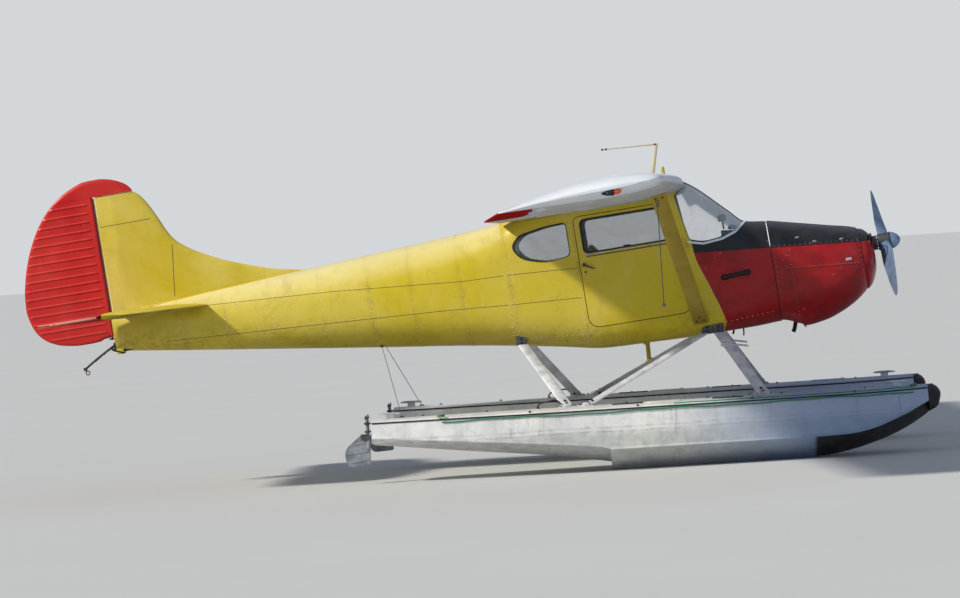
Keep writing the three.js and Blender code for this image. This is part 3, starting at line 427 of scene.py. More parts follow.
def carve(made: bpy.types.Object, cutters: Sequence[tuple[str, Shape]], place: Place) -> None:
    """Cuts, joins or keeps parts of an object with closed shapes, and keeps the result.

    Args:
        made: the object that is carved.
        cutters: pairs of "DIFFERENCE", "UNION" or "INTERSECT" and the shape; a cut face takes the
            finish number of the shape that made it.
        place: the frame that the shapes are in.
    """
    finishes = list(made.data.materials)
    for kind, shape in cutters:
        tool = new_mesh("tool", shape, finishes, place)
        step = made.modifiers.new("carve", "BOOLEAN")
        step.object, step.operation, step.solver = tool, kind, "MANIFOLD"
        result = evaluated(made)
        if len(result.polygons) == 0:
            step.solver = "EXACT"
            result = evaluated(made)
        made.modifiers.remove(step)
        old, made.data = made.data, result
        bpy.data.meshes.remove(old)
        bpy.data.objects.remove(tool)


def evaluated(made: bpy.types.Object) -> bpy.types.Mesh:
    """Returns an object's mesh with its modifiers in it."""
    return bpy.data.meshes.new_from_object(made.evaluated_get(bpy.context.evaluated_depsgraph_get()))


def append(made: bpy.types.Object, shape: Shape, place: Place) -> None:
    """Adds a shape's faces to an object that is already made.

    Args:
        made: the object that grows.
        shape: what is added; its finish numbers are those of the object.
        place: the frame that the shape is in.
    """
    mesh = made.data
    old = np.zeros(len(mesh.vertices) * 3)
    mesh.vertices.foreach_get("co", old)
    whole = Shape()
    whole.points, whole.count = [old.reshape(-1, 3) / MM], len(mesh.vertices)
    whole.faces = [tuple(p.vertices) for p in mesh.polygons]
    whole.tags = [p.material_index for p in mesh.polygons]
    extra = shape.moved(to_outer) if place is Place.LEVEL else shape
    whole.join(extra)
    fresh = new_mesh(made.name + "_more", whole, list(mesh.materials), Place.OUTER)
    made.data = fresh.data
    bpy.data.objects.remove(fresh)
    bpy.data.meshes.remove(mesh)


def smooth(made: bpy.types.Object, crease: float) -> None:
    """Shades an object smooth, with every edge that turns by more than crease degrees kept sharp."""
    mesh = made.data
    mesh.polygons.foreach_set("use_smooth", [True] * len(mesh.polygons))
    mesh.set_sharp_from_angle(angle=math.radians(crease))
    mesh.update()


def rivet_heads(points: np.ndarray | Point, normals: np.ndarray | Point, radius: float, high: float,
                tag: int = 0) -> Shape:
    """Makes a row of low domed rivet heads.

    Args:
        points: where each stands, or one place.
        normals: which way each faces, or one way for all.
        radius: of a head.
        high: how far a head stands proud.
        tag: the number of the finish.

    Returns:
        The heads as one shape.
    """
    out = Shape()
    turn = np.linspace(0, 2 * np.pi, 8, endpoint=False)
    spots = np.atleast_2d(np.asarray(points, float))
    for p, n in zip(spots, np.broadcast_to(np.asarray(normals, float), spots.shape)):
        n = n / max(np.linalg.norm(n), 1e-9)
        u = np.cross(n, [0, 0, 1.0] if abs(n[2]) < 0.9 else [1.0, 0, 0])
        u /= np.linalg.norm(u)
        v = np.cross(n, u)
        ring = np.cos(turn)[:, None] * u + np.sin(turn)[:, None] * v
        pts = np.vstack([p - n * 1.0 + ring * radius, p + n * high * 0.7 + ring * radius * 0.72,
                         [p + n * high]])
        faces: list[tuple[int, ...]] = [(j, (j + 1) % 8, 8 + (j + 1) % 8, 8 + j) for j in range(8)]
        faces += [(8 + j, 8 + (j + 1) % 8, 16) for j in range(8)]
        faces.append(tuple(range(8))[::-1])
        out.add(pts, faces, tag)
    return out


def ribbon(line: np.ndarray, normals: np.ndarray | Point, width: float, high: float, tag: int = 0,
           closed: bool = False, sunk: float = 1.0) -> Shape:
    """Lays a thin strip with eased edges along a line on a surface.

    Args:
        line: the middle of the strip.
        normals: the surface's normals there, or one for the whole line.
        width: of the strip.
        high: how far it stands proud.
        tag: the number of the finish.
        closed: whether the strip closes on itself.
        sunk: how far its foot goes into the surface.

    Returns:
        The strip as a closed shape.
    """
    p = np.asarray(line, float)
    n = np.broadcast_to(np.asarray(normals, float), p.shape)
    n = n / np.maximum(np.linalg.norm(n, axis=1), 1e-9)[:, None]
    if closed:
        along = np.roll(p, -1, axis=0) - np.roll(p, 1, axis=0)
    else:
        along = np.gradient(p, axis=0)
    side = np.cross(along, n)
    side /= np.maximum(np.linalg.norm(side, axis=1), 1e-9)[:, None]
    h, ease = width / 2, min(width * 0.2, max(high, 1.0))
    rings = np.stack([p - side * h - n * sunk, p - side * h + n * high * 0.4,
                      p - side * (h - ease) + n * high,
                      p + side * (h - ease) + n * high, p + side * h + n * high * 0.4,
                      p + side * h - n * sunk], axis=1)
    out = Shape()
    if not closed:
        return out.loft(list(rings), tag)
    m, k = len(rings), 6
    faces = [(i * k + j, i * k + (j + 1) % k, (i + 1) % m * k + (j + 1) % k, (i + 1) % m * k + j)
             for i in range(m) for j in range(k)]
    out.add(rings.reshape(-1, 3), faces, tag)
    return out if out.volume() > 0 else out.reversed()


def bolt(at: Sequence[float], axis: Sequence[float], radius: float = 9.0, high: float = 7.0,
         tag: int = 0) -> Shape:
    """Makes a hexagon bolt head on a round washer.

    Args:
        at: the middle of the washer's seat.
        axis: which way the head points.
        radius: of the head across its corners.
        high: of the head.
        tag: the number of the finish.

    Returns:
        The bolt head as a shape.
    """
    out = Shape().lathe([(radius * 1.3, -1), (radius * 1.3, 1.6), (0, 1.6)], tuple(at), tuple(axis), 16,
                        tag)
    head = [(radius, 1.2), (radius, high * 0.8), (radius * 0.82, high), (0, high)]
    return out.join(Shape().lathe(head, tuple(at), tuple(axis), 6, tag))


def upright(outline: np.ndarray, y: float) -> np.ndarray:
    """Stands points of a side view up at one y."""
    return np.column_stack([outline[:, 0], np.full(len(outline), y), outline[:, 1]])


def heading(degrees: float) -> np.ndarray:
    """Returns the unit arrow at an angle, in a plane of two axes."""
    return np.array([math.cos(math.radians(degrees)), math.sin(math.radians(degrees))])


def along_line(line: np.ndarray, step: float, margin: float = 0.0) -> np.ndarray:
    """Returns points at an even step along a polyline, leaving a margin at both ends."""
    seg = np.linalg.norm(np.diff(line, axis=0), axis=1)
    s = np.concatenate([[0], np.cumsum(seg)])
    room = s[-1] - 2 * margin
    count = max(2, int(round(room / step)) + 1)
    t = margin + np.linspace(0, room, count)
    return np.stack([np.interp(t, s, line[:, k]) for k in range(line.shape[1])], axis=1)


@dataclass
class SubAssembly:
    """A group of pieces that is built, dressed and handed to the frame together."""

    shop: "FinishShop"
    pieces: list[bpy.types.Object] = field(default_factory=list, init=False)

    def finish_piece(self, made: bpy.types.Object, body: str, replaces: Sequence[str] = (), slot: str = "",
                     crease: float = 32.0) -> bpy.types.Object:
        """Shades a piece, hangs it on the body it moves with, and hides the CAD nodes that it stands for.

        Args:
            made: the piece.
            body: the CAD body it moves with.
            replaces: the CAD nodes that it stands for.
            slot: not used.
            crease: the angle in degrees from which an edge stays sharp.

        Returns:
            The piece.
        """
        if made.type == "MESH":
            smooth(made, crease)
        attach(made, body)
        if replaces:
            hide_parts(*replaces)
        self.pieces.append(made)
        return made

    def piece(self, name: str, shape: Shape, finishes: Sequence["Finish"], body: str,
              replaces: Sequence[str] = (), slot: str = "", crease: float = 32.0,
              place: Place = Place.LEVEL) -> bpy.types.Object:
        """Makes a piece from a shape, dresses it and hands it to the frame.

        Args:
            name: the piece's name.
            shape: its form.
            finishes: its finishes, in the order of the shape's finish numbers.
            body: the CAD body it moves with.
            replaces: the CAD nodes that it stands for.
            slot: handed on to finish_piece, which doesn't use it.
            crease: the angle in degrees from which an edge stays sharp.
            place: the frame of the shape's points.

        Returns:
            The piece.
        """
        made = new_mesh(name, shape, [self.shop.material(f) for f in finishes], place)
        return self.finish_piece(made, body, replaces, slot, crease)

    def blank(self, name: str, shape: Shape, finishes: Sequence["Finish"],
              place: Place = Place.LEVEL) -> bpy.types.Object:
        """Makes an object that is still to be carved.

        Args:
            name: the object's name.
            shape: its form.
            finishes: its finishes, in the order of the shape's finish numbers.
            place: the frame of the shape's points.

        Returns:
            The object.
        """
        return new_mesh(name, shape, [self.shop.material(f) for f in finishes], place)


Colour = tuple[float, float, float]


def rgb(red: int, green: int, blue: int) -> Colour:
    """Turns a screen colour into the linear one that shaders use."""
    return tuple(c / 255 / 12.92 if c / 255 <= 0.04045 else ((c / 255 + 0.055) / 1.055) ** 2.4
                 for c in (red, green, blue))


class Nodes:
    """Wires up one material's nodes."""

    def __init__(self, name: str) -> None:
        """Starts a material with a shader and the outer frame's coordinates."""
        self.material = bpy.data.materials.new(name)
        self.material.use_nodes = True
        self.tree = self.material.node_tree
        self.shader = self.tree.nodes["Principled BSDF"]
        self.outer = self.new("ShaderNodeTexCoord").outputs["Object"]
        self.level = self.turned_level()

    def new(self, kind: str, **settings: object) -> bpy.types.Node:
        """Adds a node and sets its plain settings."""
        node = self.tree.nodes.new(kind)
        for key, value in settings.items():
            setattr(node, key, value)
        return node

    def link(self, source: object, socket: bpy.types.NodeSocket) -> None:
        """Feeds a socket from an output, or gives it a plain value."""
        if isinstance(source, bpy.types.NodeSocket):
            self.tree.links.new(source, socket)
        elif isinstance(source, tuple) and len(source) == 3 and socket.type == "RGBA":
            socket.default_value = (*source, 1.0)
        else:
            socket.default_value = source

    def turned_level(self) -> bpy.types.NodeSocket:
        """Returns the level airframe's coordinates, in metres."""
        node = self.new("ShaderNodeMapping", vector_type="TEXTURE")
        node.inputs["Location"].default_value = tuple(AIRFRAME_AT * MM)
        node.inputs["Rotation"].default_value = (0, -PITCH, 0)
        self.link(self.outer, node.inputs["Vector"])
        return node.outputs["Vector"]

    def scaled(self, x: float, y: float, z: float,
               source: bpy.types.NodeSocket | None = None) -> bpy.types.NodeSocket:
        """Returns coordinates stretched along each direction."""
        node = self.new("ShaderNodeVectorMath", operation="MULTIPLY")
        self.link(source or self.level, node.inputs[0])
        node.inputs[1].default_value = (x, y, z)
        return node.outputs[0]

    def axis(self, name: str, source: bpy.types.NodeSocket | None = None) -> bpy.types.NodeSocket:
        """Returns one coordinate, "X", "Y" or "Z"."""
        node = self.new("ShaderNodeSeparateXYZ")
        self.link(source or self.level, node.inputs[0])
        return node.outputs[name]

    def facing(self, name: str) -> bpy.types.NodeSocket:
        """Returns one part of the surface's own normal."""
        return self.axis(name, self.new("ShaderNodeNewGeometry").outputs["Normal"])

    def sum(self, kind: str, a: object, b: object = 0.0, clamp: bool = False) -> bpy.types.NodeSocket:
        """Returns what arithmetic makes of two numbers, such as "ADD", "MULTIPLY" or "GREATER_THAN"."""
        node = self.new("ShaderNodeMath", operation=kind, use_clamp=clamp)
        self.link(a, node.inputs[0])
        self.link(b, node.inputs[1])
        return node.outputs[0]

    def noise(self, size: float, detail: float = 3.0, rough: float = 0.55,
              at: bpy.types.NodeSocket | None = None, warp: float = 0.0) -> bpy.types.NodeSocket:
        """Returns a noise from 0 to 1.

        Args:
            size: how many of its lumps go into a metre.
            detail: how many finer layers it has.
            rough: how strong those are.
            at: the coordinates, if they aren't the outer frame's.
            warp: how far it is pulled about.

        Returns:
            The noise's output.
        """
        node = self.new("ShaderNodeTexNoise")
        self.link(at or self.outer, node.inputs["Vector"])
        node.inputs["Scale"].default_value = size
        node.inputs["Detail"].default_value = detail
        node.inputs["Roughness"].default_value = rough
        node.inputs["Distortion"].default_value = warp
        return node.outputs["Fac"]

    def ramp(self, source: object, low: float, high: float, start: float = 0.0,
             end: float = 1.0) -> bpy.types.NodeSocket:
        """Returns source stretched from low..high to start..end, and held there outside it."""
        node = self.new("ShaderNodeMapRange", clamp=True)
        self.link(source, node.inputs["Value"])
        for key, value in (("From Min", low), ("From Max", high), ("To Min", start), ("To Max", end)):
            node.inputs[key].default_value = value
        return node.outputs["Result"]

    def mix(self, share: object, a: object, b: object, blend: str = "MIX") -> bpy.types.NodeSocket:
        """Returns a colour between a and b."""
        node = self.new("ShaderNodeMix", data_type="RGBA", blend_type=blend, clamp_result=True)
        self.link(share, node.inputs["Factor"])
        self.link(a, node.inputs["A"] if node.inputs["A"].type == "RGBA" else node.inputs[6])
        self.link(b, node.inputs["B"] if node.inputs["B"].type == "RGBA" else node.inputs[7])
        return node.outputs[2]

    def bump(self, height: object, depth: float,
             below: bpy.types.NodeSocket | None = None) -> bpy.types.NodeSocket:
        """Returns a bumped normal.

        Args:
            height: the relief, from 0 to 1.
            depth: how deep it is, in metres.
            below: a bumped normal that this one is laid over.

        Returns:
            The normal's output.
        """
        node = self.new("ShaderNodeBump")
        node.inputs["Strength"].default_value = 1.0
        node.inputs["Distance"].default_value = depth
        self.link(height, node.inputs["Height"])
        if below is not None:
            self.link(below, node.inputs["Normal"])
        return node.outputs["Normal"]

    def near(self, along: bpy.types.NodeSocket, places: Sequence[float],
             half: float) -> bpy.types.NodeSocket:
        """Returns 1 on lines across a coordinate and 0 from half away from them.

        Args:
            along: the coordinate.
            places: where the lines are, in metres.
            half: how wide a line's fade is.

        Returns:
            The mask.
        """
        best: object = None
        for place in places:
            gap = self.sum("ABSOLUTE", self.sum("SUBTRACT", along, place))
            best = gap if best is None else self.sum("MINIMUM", best, gap)
        return self.ramp(best, 0.0, half, 1.0, 0.0)

    def done(self, colour: object, roughness: object, normal: bpy.types.NodeSocket | None = None,
             metallic: object = 0.0, **uniform: float) -> bpy.types.Material:
        """Feeds the shader.

        Args:
            colour: the base colour.
            roughness: the roughness.
            normal: the bumped normal.
            metallic: how metallic it is.
            uniform: other sockets by name, with "_" for a space, each one plain number.

        Returns:
            The material.
        """
        self.link(colour, self.shader.inputs["Base Color"])
        self.link(roughness, self.shader.inputs["Roughness"])
        self.link(metallic, self.shader.inputs["Metallic"])
        if normal is not None:
            self.link(normal, self.shader.inputs["Normal"])
        for key, value in uniform.items():
            self.shader.inputs[key.replace("_", " ")].default_value = value
        return self.material


@dataclass(frozen=True)
class Finish:
    """A finish that any piece may have; each kind wires its own material."""

    name: str

    def make(self, nodes: Nodes) -> bpy.types.Material:
        """Wires the material."""
        raise NotImplementedError(self.name)


class FinishShop:
    """Mixes each finish once and hands the same material to every piece that has it."""

    def __init__(self) -> None:
        """Starts with no finish mixed."""
        self.mixed: dict[str, bpy.types.Material] = {}

    def material(self, finish: Finish) -> bpy.types.Material:
        """Returns the material of a finish."""
        if finish.name not in self.mixed:
            self.mixed[finish.name] = finish.make(Nodes(finish.name))
        return self.mixed[finish.name]


YELLOW, YELLOW_FADED = rgb(200, 178, 20), rgb(214, 194, 84)
RED, RED_FADED, RED_DARK = rgb(158, 4, 10), rgb(170, 12, 18), rgb(96, 2, 8)
PALE_RED, PALE_RED_FADED = rgb(188, 16, 14), rgb(204, 42, 34)
BLACK, BLACK_FADED = rgb(13, 14, 22), rgb(36, 37, 50)
SILVER, SILVER_FADED, SILVER_DIRTY = rgb(216, 222, 232), rgb(238, 241, 245), rgb(146, 150, 156)
PRIMER, METAL = rgb(138, 128, 104), rgb(178, 182, 188)
# A multiply colour that darkens for dirt and for painted shade, and a small added whitening for chalking.
SOOT_AND_SHADE, CHALK = (0.36, 0.33, 0.27), (0.05, 0.05, 0.045)
# Pale yellow for the painted highlight on up-facing paint, which also reads as chalking.
HIGHLIGHT_AND_CHALK_YELLOW = rgb(234, 224, 180)


class Scheme(Enum):
    """How an airframe surface is divided into colours."""

    PLAIN = "one colour all over"
    FUSELAGE = "yellow, with the red nose, the black glare top and the silver roof"


@dataclass(frozen=True)
class WornPaint(Finish):
    """Old gloss paint on sheet metal: faded, streaked below its seams, chipped and a little dented, darkened
    by painted shade on its down-facing surfaces and, where set, whitened by a painted highlight on its
    up-facing ones.
    """

    colour: Colour = YELLOW
    faded: Colour = YELLOW_FADED
    scheme: Scheme = Scheme.PLAIN
    upright_seams: tuple[float, ...] = ()
    fading: float = 0.75
    grime_and_shade: float = 0.5
    chips: float = 0.5
    gloss: float = 0.4
    dents: float = 0.0022
    coat: float = 0.12
    shine: float = 0.32
    # The next field sets how far up-facing surfaces are whitened: a painted highlight, with some chalking.
    top_highlight_and_chalk: float = 0.0
    # The next two fields set the painted shade on down-facing surfaces, which joins the dirt: its strength
    # and the facing where it starts.
    under: float = 0.55
    under_shade_from: float = -0.2

    def make(self, nodes: Nodes) -> bpy.types.Material:
        """Wires the material."""
        n = nodes
        broad = n.noise(1.3, 4, 0.6, n.level, 0.6)
        patch = n.noise(6.5, 4, 0.62, n.level, 0.3)
        cloud = n.noise(2.6, 5, 0.62, n.level, 0.8)
        fine = n.noise(95, 3, 0.6, n.level)
        streak = n.noise(1.0, 5, 0.65, n.scaled(11, 11, 1.4))
        paint = n.mix(n.sum("MULTIPLY", n.ramp(broad, 0.36, 0.66), self.fading), self.colour, self.faded)
        if self.scheme is Scheme.FUSELAGE:
            paint = self.divided(n, paint, broad)
        above = n.facing("Z")
        top = n.sum("MULTIPLY", n.ramp(above, 0.15, 0.95, 0.0, 0.4), n.ramp(patch, 0.3, 0.65, 0.3, 1.0))
        pale = n.sum("MULTIPLY", n.ramp(cloud, 0.5, 0.78, 0.0, 0.4), self.fading)
        chalked = n.mix(n.sum("MAXIMUM", top, pale), paint, CHALK, "ADD")
        # Painted highlight: up-facing surfaces are whitened towards pale yellow, a painted sky sheen that
        # also reads as chalking.
        if self.top_highlight_and_chalk:
            chalked = n.mix(n.sum("MULTIPLY", n.ramp(above, 0.25, 0.95), self.top_highlight_and_chalk), chalked,
                            HIGHLIGHT_AND_CHALK_YELLOW)
        darkened = n.mix(1.0, chalked, SOOT_AND_SHADE, "MULTIPLY")
        # Painted shade: down-facing surfaces are darkened in patches, as if in shadow.
        low = n.sum("MULTIPLY", n.ramp(above, self.under_shade_from, self.under_shade_from - 0.6, 0.0, self.under),
                    n.ramp(cloud, 0.3, 0.62, 0.4, 1.0))
        runs = n.sum("MULTIPLY", n.ramp(streak, 0.56, 0.86, 0.0, 0.4), n.ramp(broad, 0.4, 0.6, 0.25, 1.0))
        stains = n.ramp(n.noise(4.2, 6, 0.7, n.level, 1.2), 0.54, 0.78, 0.0, 0.42)
        # Runs, stains and the painted underside shade, taken together.
        grime_and_shade_mask = n.sum("MAXIMUM", n.sum("MAXIMUM", runs, stains), low)
        if self.scheme is Scheme.FUSELAGE:
            grime_and_shade_mask = n.sum("MAXIMUM", grime_and_shade_mask, self.splashed(n, cloud))
        soiled_and_shaded = n.mix(n.sum("MULTIPLY", grime_and_shade_mask, self.grime_and_shade), chalked, darkened)
        if self.upright_seams:
            along = n.axis("X")
            wander = n.sum("ADD", along, n.sum("MULTIPLY", n.sum("SUBTRACT", fine, 0.5), 0.004))
            line = n.near(wander, self.upright_seams, 0.0045)
            halo = n.sum("MULTIPLY", n.near(along, self.upright_seams, 0.05), n.ramp(patch, 0.46, 0.72))
            soiled_and_shaded = n.mix(n.sum("MULTIPLY", halo, 0.3), soiled_and_shaded, darkened)
            soiled_and_shaded = n.mix(n.sum("MULTIPLY", line, n.ramp(patch, 0.4, 0.7, 0.05, 0.5)), soiled_and_shaded, darkened)
        speck = n.noise(240, 2, 0.5, n.level)
        flake = n.noise(31, 5, 0.7, n.level, 0.4)
        bare = n.sum("MULTIPLY", n.ramp(flake, 0.695 - 0.05 * self.chips, 0.71 - 0.05 * self.chips),
                     n.ramp(patch, 0.46, 0.56))
        fly = n.sum("MULTIPLY", n.ramp(speck, 0.70, 0.74), 0.5 * self.chips)
        colour = n.mix(n.sum("MULTIPLY", bare, 0.8), soiled_and_shaded, n.mix(n.ramp(fine, 0.45, 0.55), PRIMER, METAL))
        colour = n.mix(fly, colour, darkened)
        rough = n.ramp(patch, 0.3, 0.7, self.gloss, self.gloss + 0.16)
        rough = n.sum("ADD", rough, n.sum("MULTIPLY", grime_and_shade_mask, 0.22))
        rough = n.sum("ADD", rough, n.sum("MULTIPLY", bare, 0.1), clamp=True)
        dent = n.bump(n.noise(3.4, 2, 0.5, n.level), self.dents * 4)
        peel = n.bump(n.noise(210, 2, 0.6, n.level), 0.00035, dent)
        relief = n.bump(n.sum("SUBTRACT", 1.0, bare), 0.0005, peel)
        return n.done(colour, rough, relief, Coat_Weight=self.coat, Coat_Roughness=0.16,
                      Specular_IOR_Level=self.shine)

    def splashed(self, n: Nodes, cloud: bpy.types.NodeSocket) -> bpy.types.NodeSocket:
        """Returns the dirt thrown up along the belly, which rises towards the tail."""
        belly = n.sum("MAXIMUM", n.sum("MULTIPLY", n.sum("ADD", n.axis("X"), -BELLY_BREAK * MM),
                                       -BELLY_SLOPE), 0.0)
        height = n.sum("SUBTRACT", n.axis("Z"), belly)
        blots = n.ramp(n.noise(13, 6, 0.72, n.level, 0.8), 0.44, 0.62, 0.25, 1.0)
        return n.sum("MULTIPLY", n.sum("MULTIPLY", n.ramp(height, 0.3, 0.02, 0.0, 0.85), blots),
                     n.ramp(cloud, 0.3, 0.6, 0.5, 1.0))

    def divided(self, n: Nodes, yellow: bpy.types.NodeSocket,
                broad: bpy.types.NodeSocket) -> bpy.types.NodeSocket:
        """Returns the fuselage's colours, with hand-masked, slightly wavy edges."""
        x, z = n.axis("X"), n.axis("Z")
        wave = n.sum("MULTIPLY", n.sum("SUBTRACT", n.noise(9, 3, 0.6, n.level), 0.5), 0.006)
        curve = n.new("ShaderNodeFloatCurve")
        rows = [(-0.20, -0.53), (-0.011, -0.505), (0.03, -0.488), (0.078, -0.475), (0.146, -0.486),
                (0.40, -0.563), (0.657, -0.645), (0.78, -0.658), (1.0, -0.664)]
        mapping = curve.mapping
        mapping.use_clip = False
        points = mapping.curves[0].points
        for k, (height, ahead) in enumerate(rows):
            spot = ((height + 0.2) / 1.2, ahead + 1.0)
            if k == 0:
                points[0].location = spot
            elif k == len(rows) - 1:
                points[-1].location = spot
            else:
                points.new(*spot)
        mapping.update()
        n.link(n.sum("DIVIDE", n.sum("ADD", z, 0.2), 1.2), curve.inputs["Value"])
        edge = n.sum("SUBTRACT", curve.outputs[0], 1.0)
        is_nose = n.ramp(n.sum("ADD", n.sum("SUBTRACT", x, edge), wave), -0.0012, 0.0012)
        red = n.mix(n.ramp(broad, 0.36, 0.7), RED, RED_FADED)
        red = n.mix(n.ramp(n.noise(4.5, 4, 0.6, n.level, 0.5), 0.45, 0.75, 0.0, 0.7), red, RED_DARK)
        top = n.sum("ADD", n.sum("ADD", z, n.sum("MULTIPLY", x, 0.0932)), n.sum("MULTIPLY", wave, 0.4))
        black = n.mix(n.ramp(n.noise(5, 4, 0.6, n.level), 0.4, 0.75, 0.0, 0.75), BLACK, BLACK_FADED)
        nose = n.mix(n.ramp(top, 0.6395, 0.6425), red, black)
        silver = n.mix(n.ramp(broad, 0.4, 0.7), SILVER, SILVER_FADED)
        roof = n.sum("MULTIPLY", n.ramp(z, 1.268, 1.272), n.ramp(x, -0.9, -0.7, 1.0, 0.98))
        post = n.sum("MULTIPLY", n.near(n.axis("Y"), (0.0,), 0.07), n.ramp(x, -1.3, -1.29))
        roof = n.sum("MAXIMUM", roof, n.sum("MULTIPLY", post, n.ramp(z, 0.5, 0.51)))
        body = n.mix(roof, yellow, silver)
        return n.mix(is_nose, body, nose)


@dataclass(frozen=True)
class WingSkin(Finish):
    """Silver-painted wing sheet: chalky and faintly streaked along the airflow, with painted shade and a
    painted brownish reflection underneath.
    """

    colour: Colour = SILVER
    faded: Colour = SILVER_FADED
    dirty: Colour = SILVER_DIRTY
    # How strongly the painted shade darkens the underside.
    under: float = 0.6

    def make(self, nodes: Nodes) -> bpy.types.Material:
        """Wires the material."""
        n = nodes
        broad = n.noise(0.9, 4, 0.6, n.level, 0.5)
        flow = n.noise(1.0, 5, 0.62, n.scaled(1.4, 19, 10))
        patch = n.noise(8, 4, 0.6, n.level)
        colour = n.mix(n.ramp(broad, 0.38, 0.66), self.colour, self.faded)
        rib = n.axis("Y")
        bay = n.sum("ABSOLUTE", n.sum("SUBTRACT",
                                      n.sum("FRACT", n.sum("DIVIDE", n.sum("ABSOLUTE", rib), 0.38)), 0.5))
        colour = n.mix(n.sum("MULTIPLY", n.ramp(bay, 0.488, 0.5), 0.3), colour, self.dirty)
        colour = n.mix(n.ramp(flow, 0.5, 0.78, 0.0, 0.42), colour, self.dirty)
        # Painted shade and a painted brownish reflection of the fuselage darken the underside in patches.
        under = n.ramp(n.facing("Z"), -0.25, -0.75, 0.0, self.under)
        shade_and_reflection_tone = n.mix(n.ramp(patch, 0.4, 0.7), rgb(112, 104, 78), rgb(92, 94, 98))
        colour = n.mix(n.sum("MULTIPLY", under, n.ramp(patch, 0.3, 0.6, 0.7, 1.0)), colour, shade_and_reflection_tone)
        fleck = n.ramp(n.noise(120, 3, 0.6, n.level), 0.66, 0.72, 0.0, 0.35)
        colour = n.mix(fleck, colour, self.dirty)
        rough = n.ramp(patch, 0.3, 0.7, 0.4, 0.58)
        dent = n.bump(n.noise(2.6, 2, 0.5, n.scaled(1, 1.6, 1)), 0.006)
        grain = n.bump(n.noise(180, 2, 0.6, n.level), 0.0003, dent)
        return n.done(colour, rough, grain, metallic=0.1, Specular_IOR_Level=0.12)


@dataclass(frozen=True)
class FloatSkin(Finish):
    """Bare weathered sheet on the floats: blotched oxide, water marks, rust runs and scratches, and a
    painted bluish shadow towards the bow.
    """

    def make(self, nodes: Nodes) -> bpy.types.Material:
        """Wires the material."""
        n = nodes
        at, x, z = n.outer, n.axis("X", n.outer), n.axis("Z", n.outer)
        blotch = n.noise(3.1, 6, 0.66, at, 0.7)
        patch = n.noise(11, 5, 0.65, at, 0.3)
        fine = n.noise(130, 3, 0.6, at)
        colour = n.mix(n.ramp(blotch, 0.36, 0.66), rgb(212, 214, 216), rgb(240, 240, 237))
        colour = n.mix(n.ramp(patch, 0.52, 0.76, 0.0, 0.6), colour, rgb(176, 184, 194))
        streak = n.noise(1.0, 5, 0.66, n.scaled(15, 15, 1.4, at))
        colour = n.mix(n.ramp(streak, 0.52, 0.78, 0.0, 0.28), colour, rgb(166, 166, 160))
        ring = n.sum("ADD", z, n.sum("MULTIPLY", n.sum("SUBTRACT", n.noise(2.4, 4, 0.6, at), 0.5), 0.05))
        wet = n.ramp(ring, 0.30, 0.36, 1.0, 0.0)
        colour = n.mix(n.sum("MULTIPLY", wet, n.ramp(patch, 0.3, 0.65, 0.35, 0.7)), colour,
                       rgb(160, 163, 158))
        tide = n.sum("MULTIPLY", n.near(ring, (0.335, 0.37), 0.012), n.ramp(patch, 0.35, 0.6, 0.0, 0.4))
        colour = n.mix(tide, colour, rgb(120, 114, 94))
        rust_at = n.near(x, (0.35, 0.62, 0.70, 1.72, 2.46), 0.13)
        rust = n.sum("MULTIPLY", rust_at, n.ramp(n.noise(1.0, 5, 0.7, n.scaled(30, 30, 3.2, at)), 0.52,
                                                 0.72))
        colour = n.mix(n.sum("MULTIPLY", rust, 0.6), colour, rgb(132, 92, 56))
        scratch = n.noise(1.0, 3, 0.6, n.scaled(5, 60, 150, at), 0.4)
        colour = n.mix(n.ramp(scratch, 0.66, 0.72, 0.0, 0.5), colour, rgb(226, 228, 230))
        colour = n.mix(n.ramp(fine, 0.6, 0.72, 0.0, 0.3), colour, rgb(120, 124, 126))
        keel = n.ramp(n.facing("Z"), -0.3, -0.62)
        # Painted shadow: towards the bow the side turns blue, as if in shade lit by the sky.
        shade = n.ramp(n.sum("ADD", x, n.sum("MULTIPLY", blotch, 0.5)), 1.9, 3.0, 0.0, 0.75)
        colour = n.mix(shade, colour, rgb(112, 138, 180))
        bow = n.sum("MULTIPLY", keel, n.ramp(n.sum("ADD", x, n.sum("MULTIPLY", patch, 0.04)), 2.86, 2.89))
        colour = n.mix(bow, colour, n.mix(n.ramp(patch, 0.4, 0.7), rgb(20, 20, 22), rgb(58, 58, 60)))
        rough = n.sum("ADD", n.ramp(blotch, 0.3, 0.7, 0.42, 0.6), n.sum("MULTIPLY", rust, 0.2), clamp=True)
        metal = n.sum("MULTIPLY", n.ramp(patch, 0.35, 0.7, 0.22, 0.1), n.sum("SUBTRACT", 1.0, bow))
        dent = n.bump(n.noise(3.2, 3, 0.5, at), 0.009)
        pit = n.bump(n.noise(160, 3, 0.6, at), 0.0005, dent)
        return n.done(colour, rough, pit, metallic=metal)


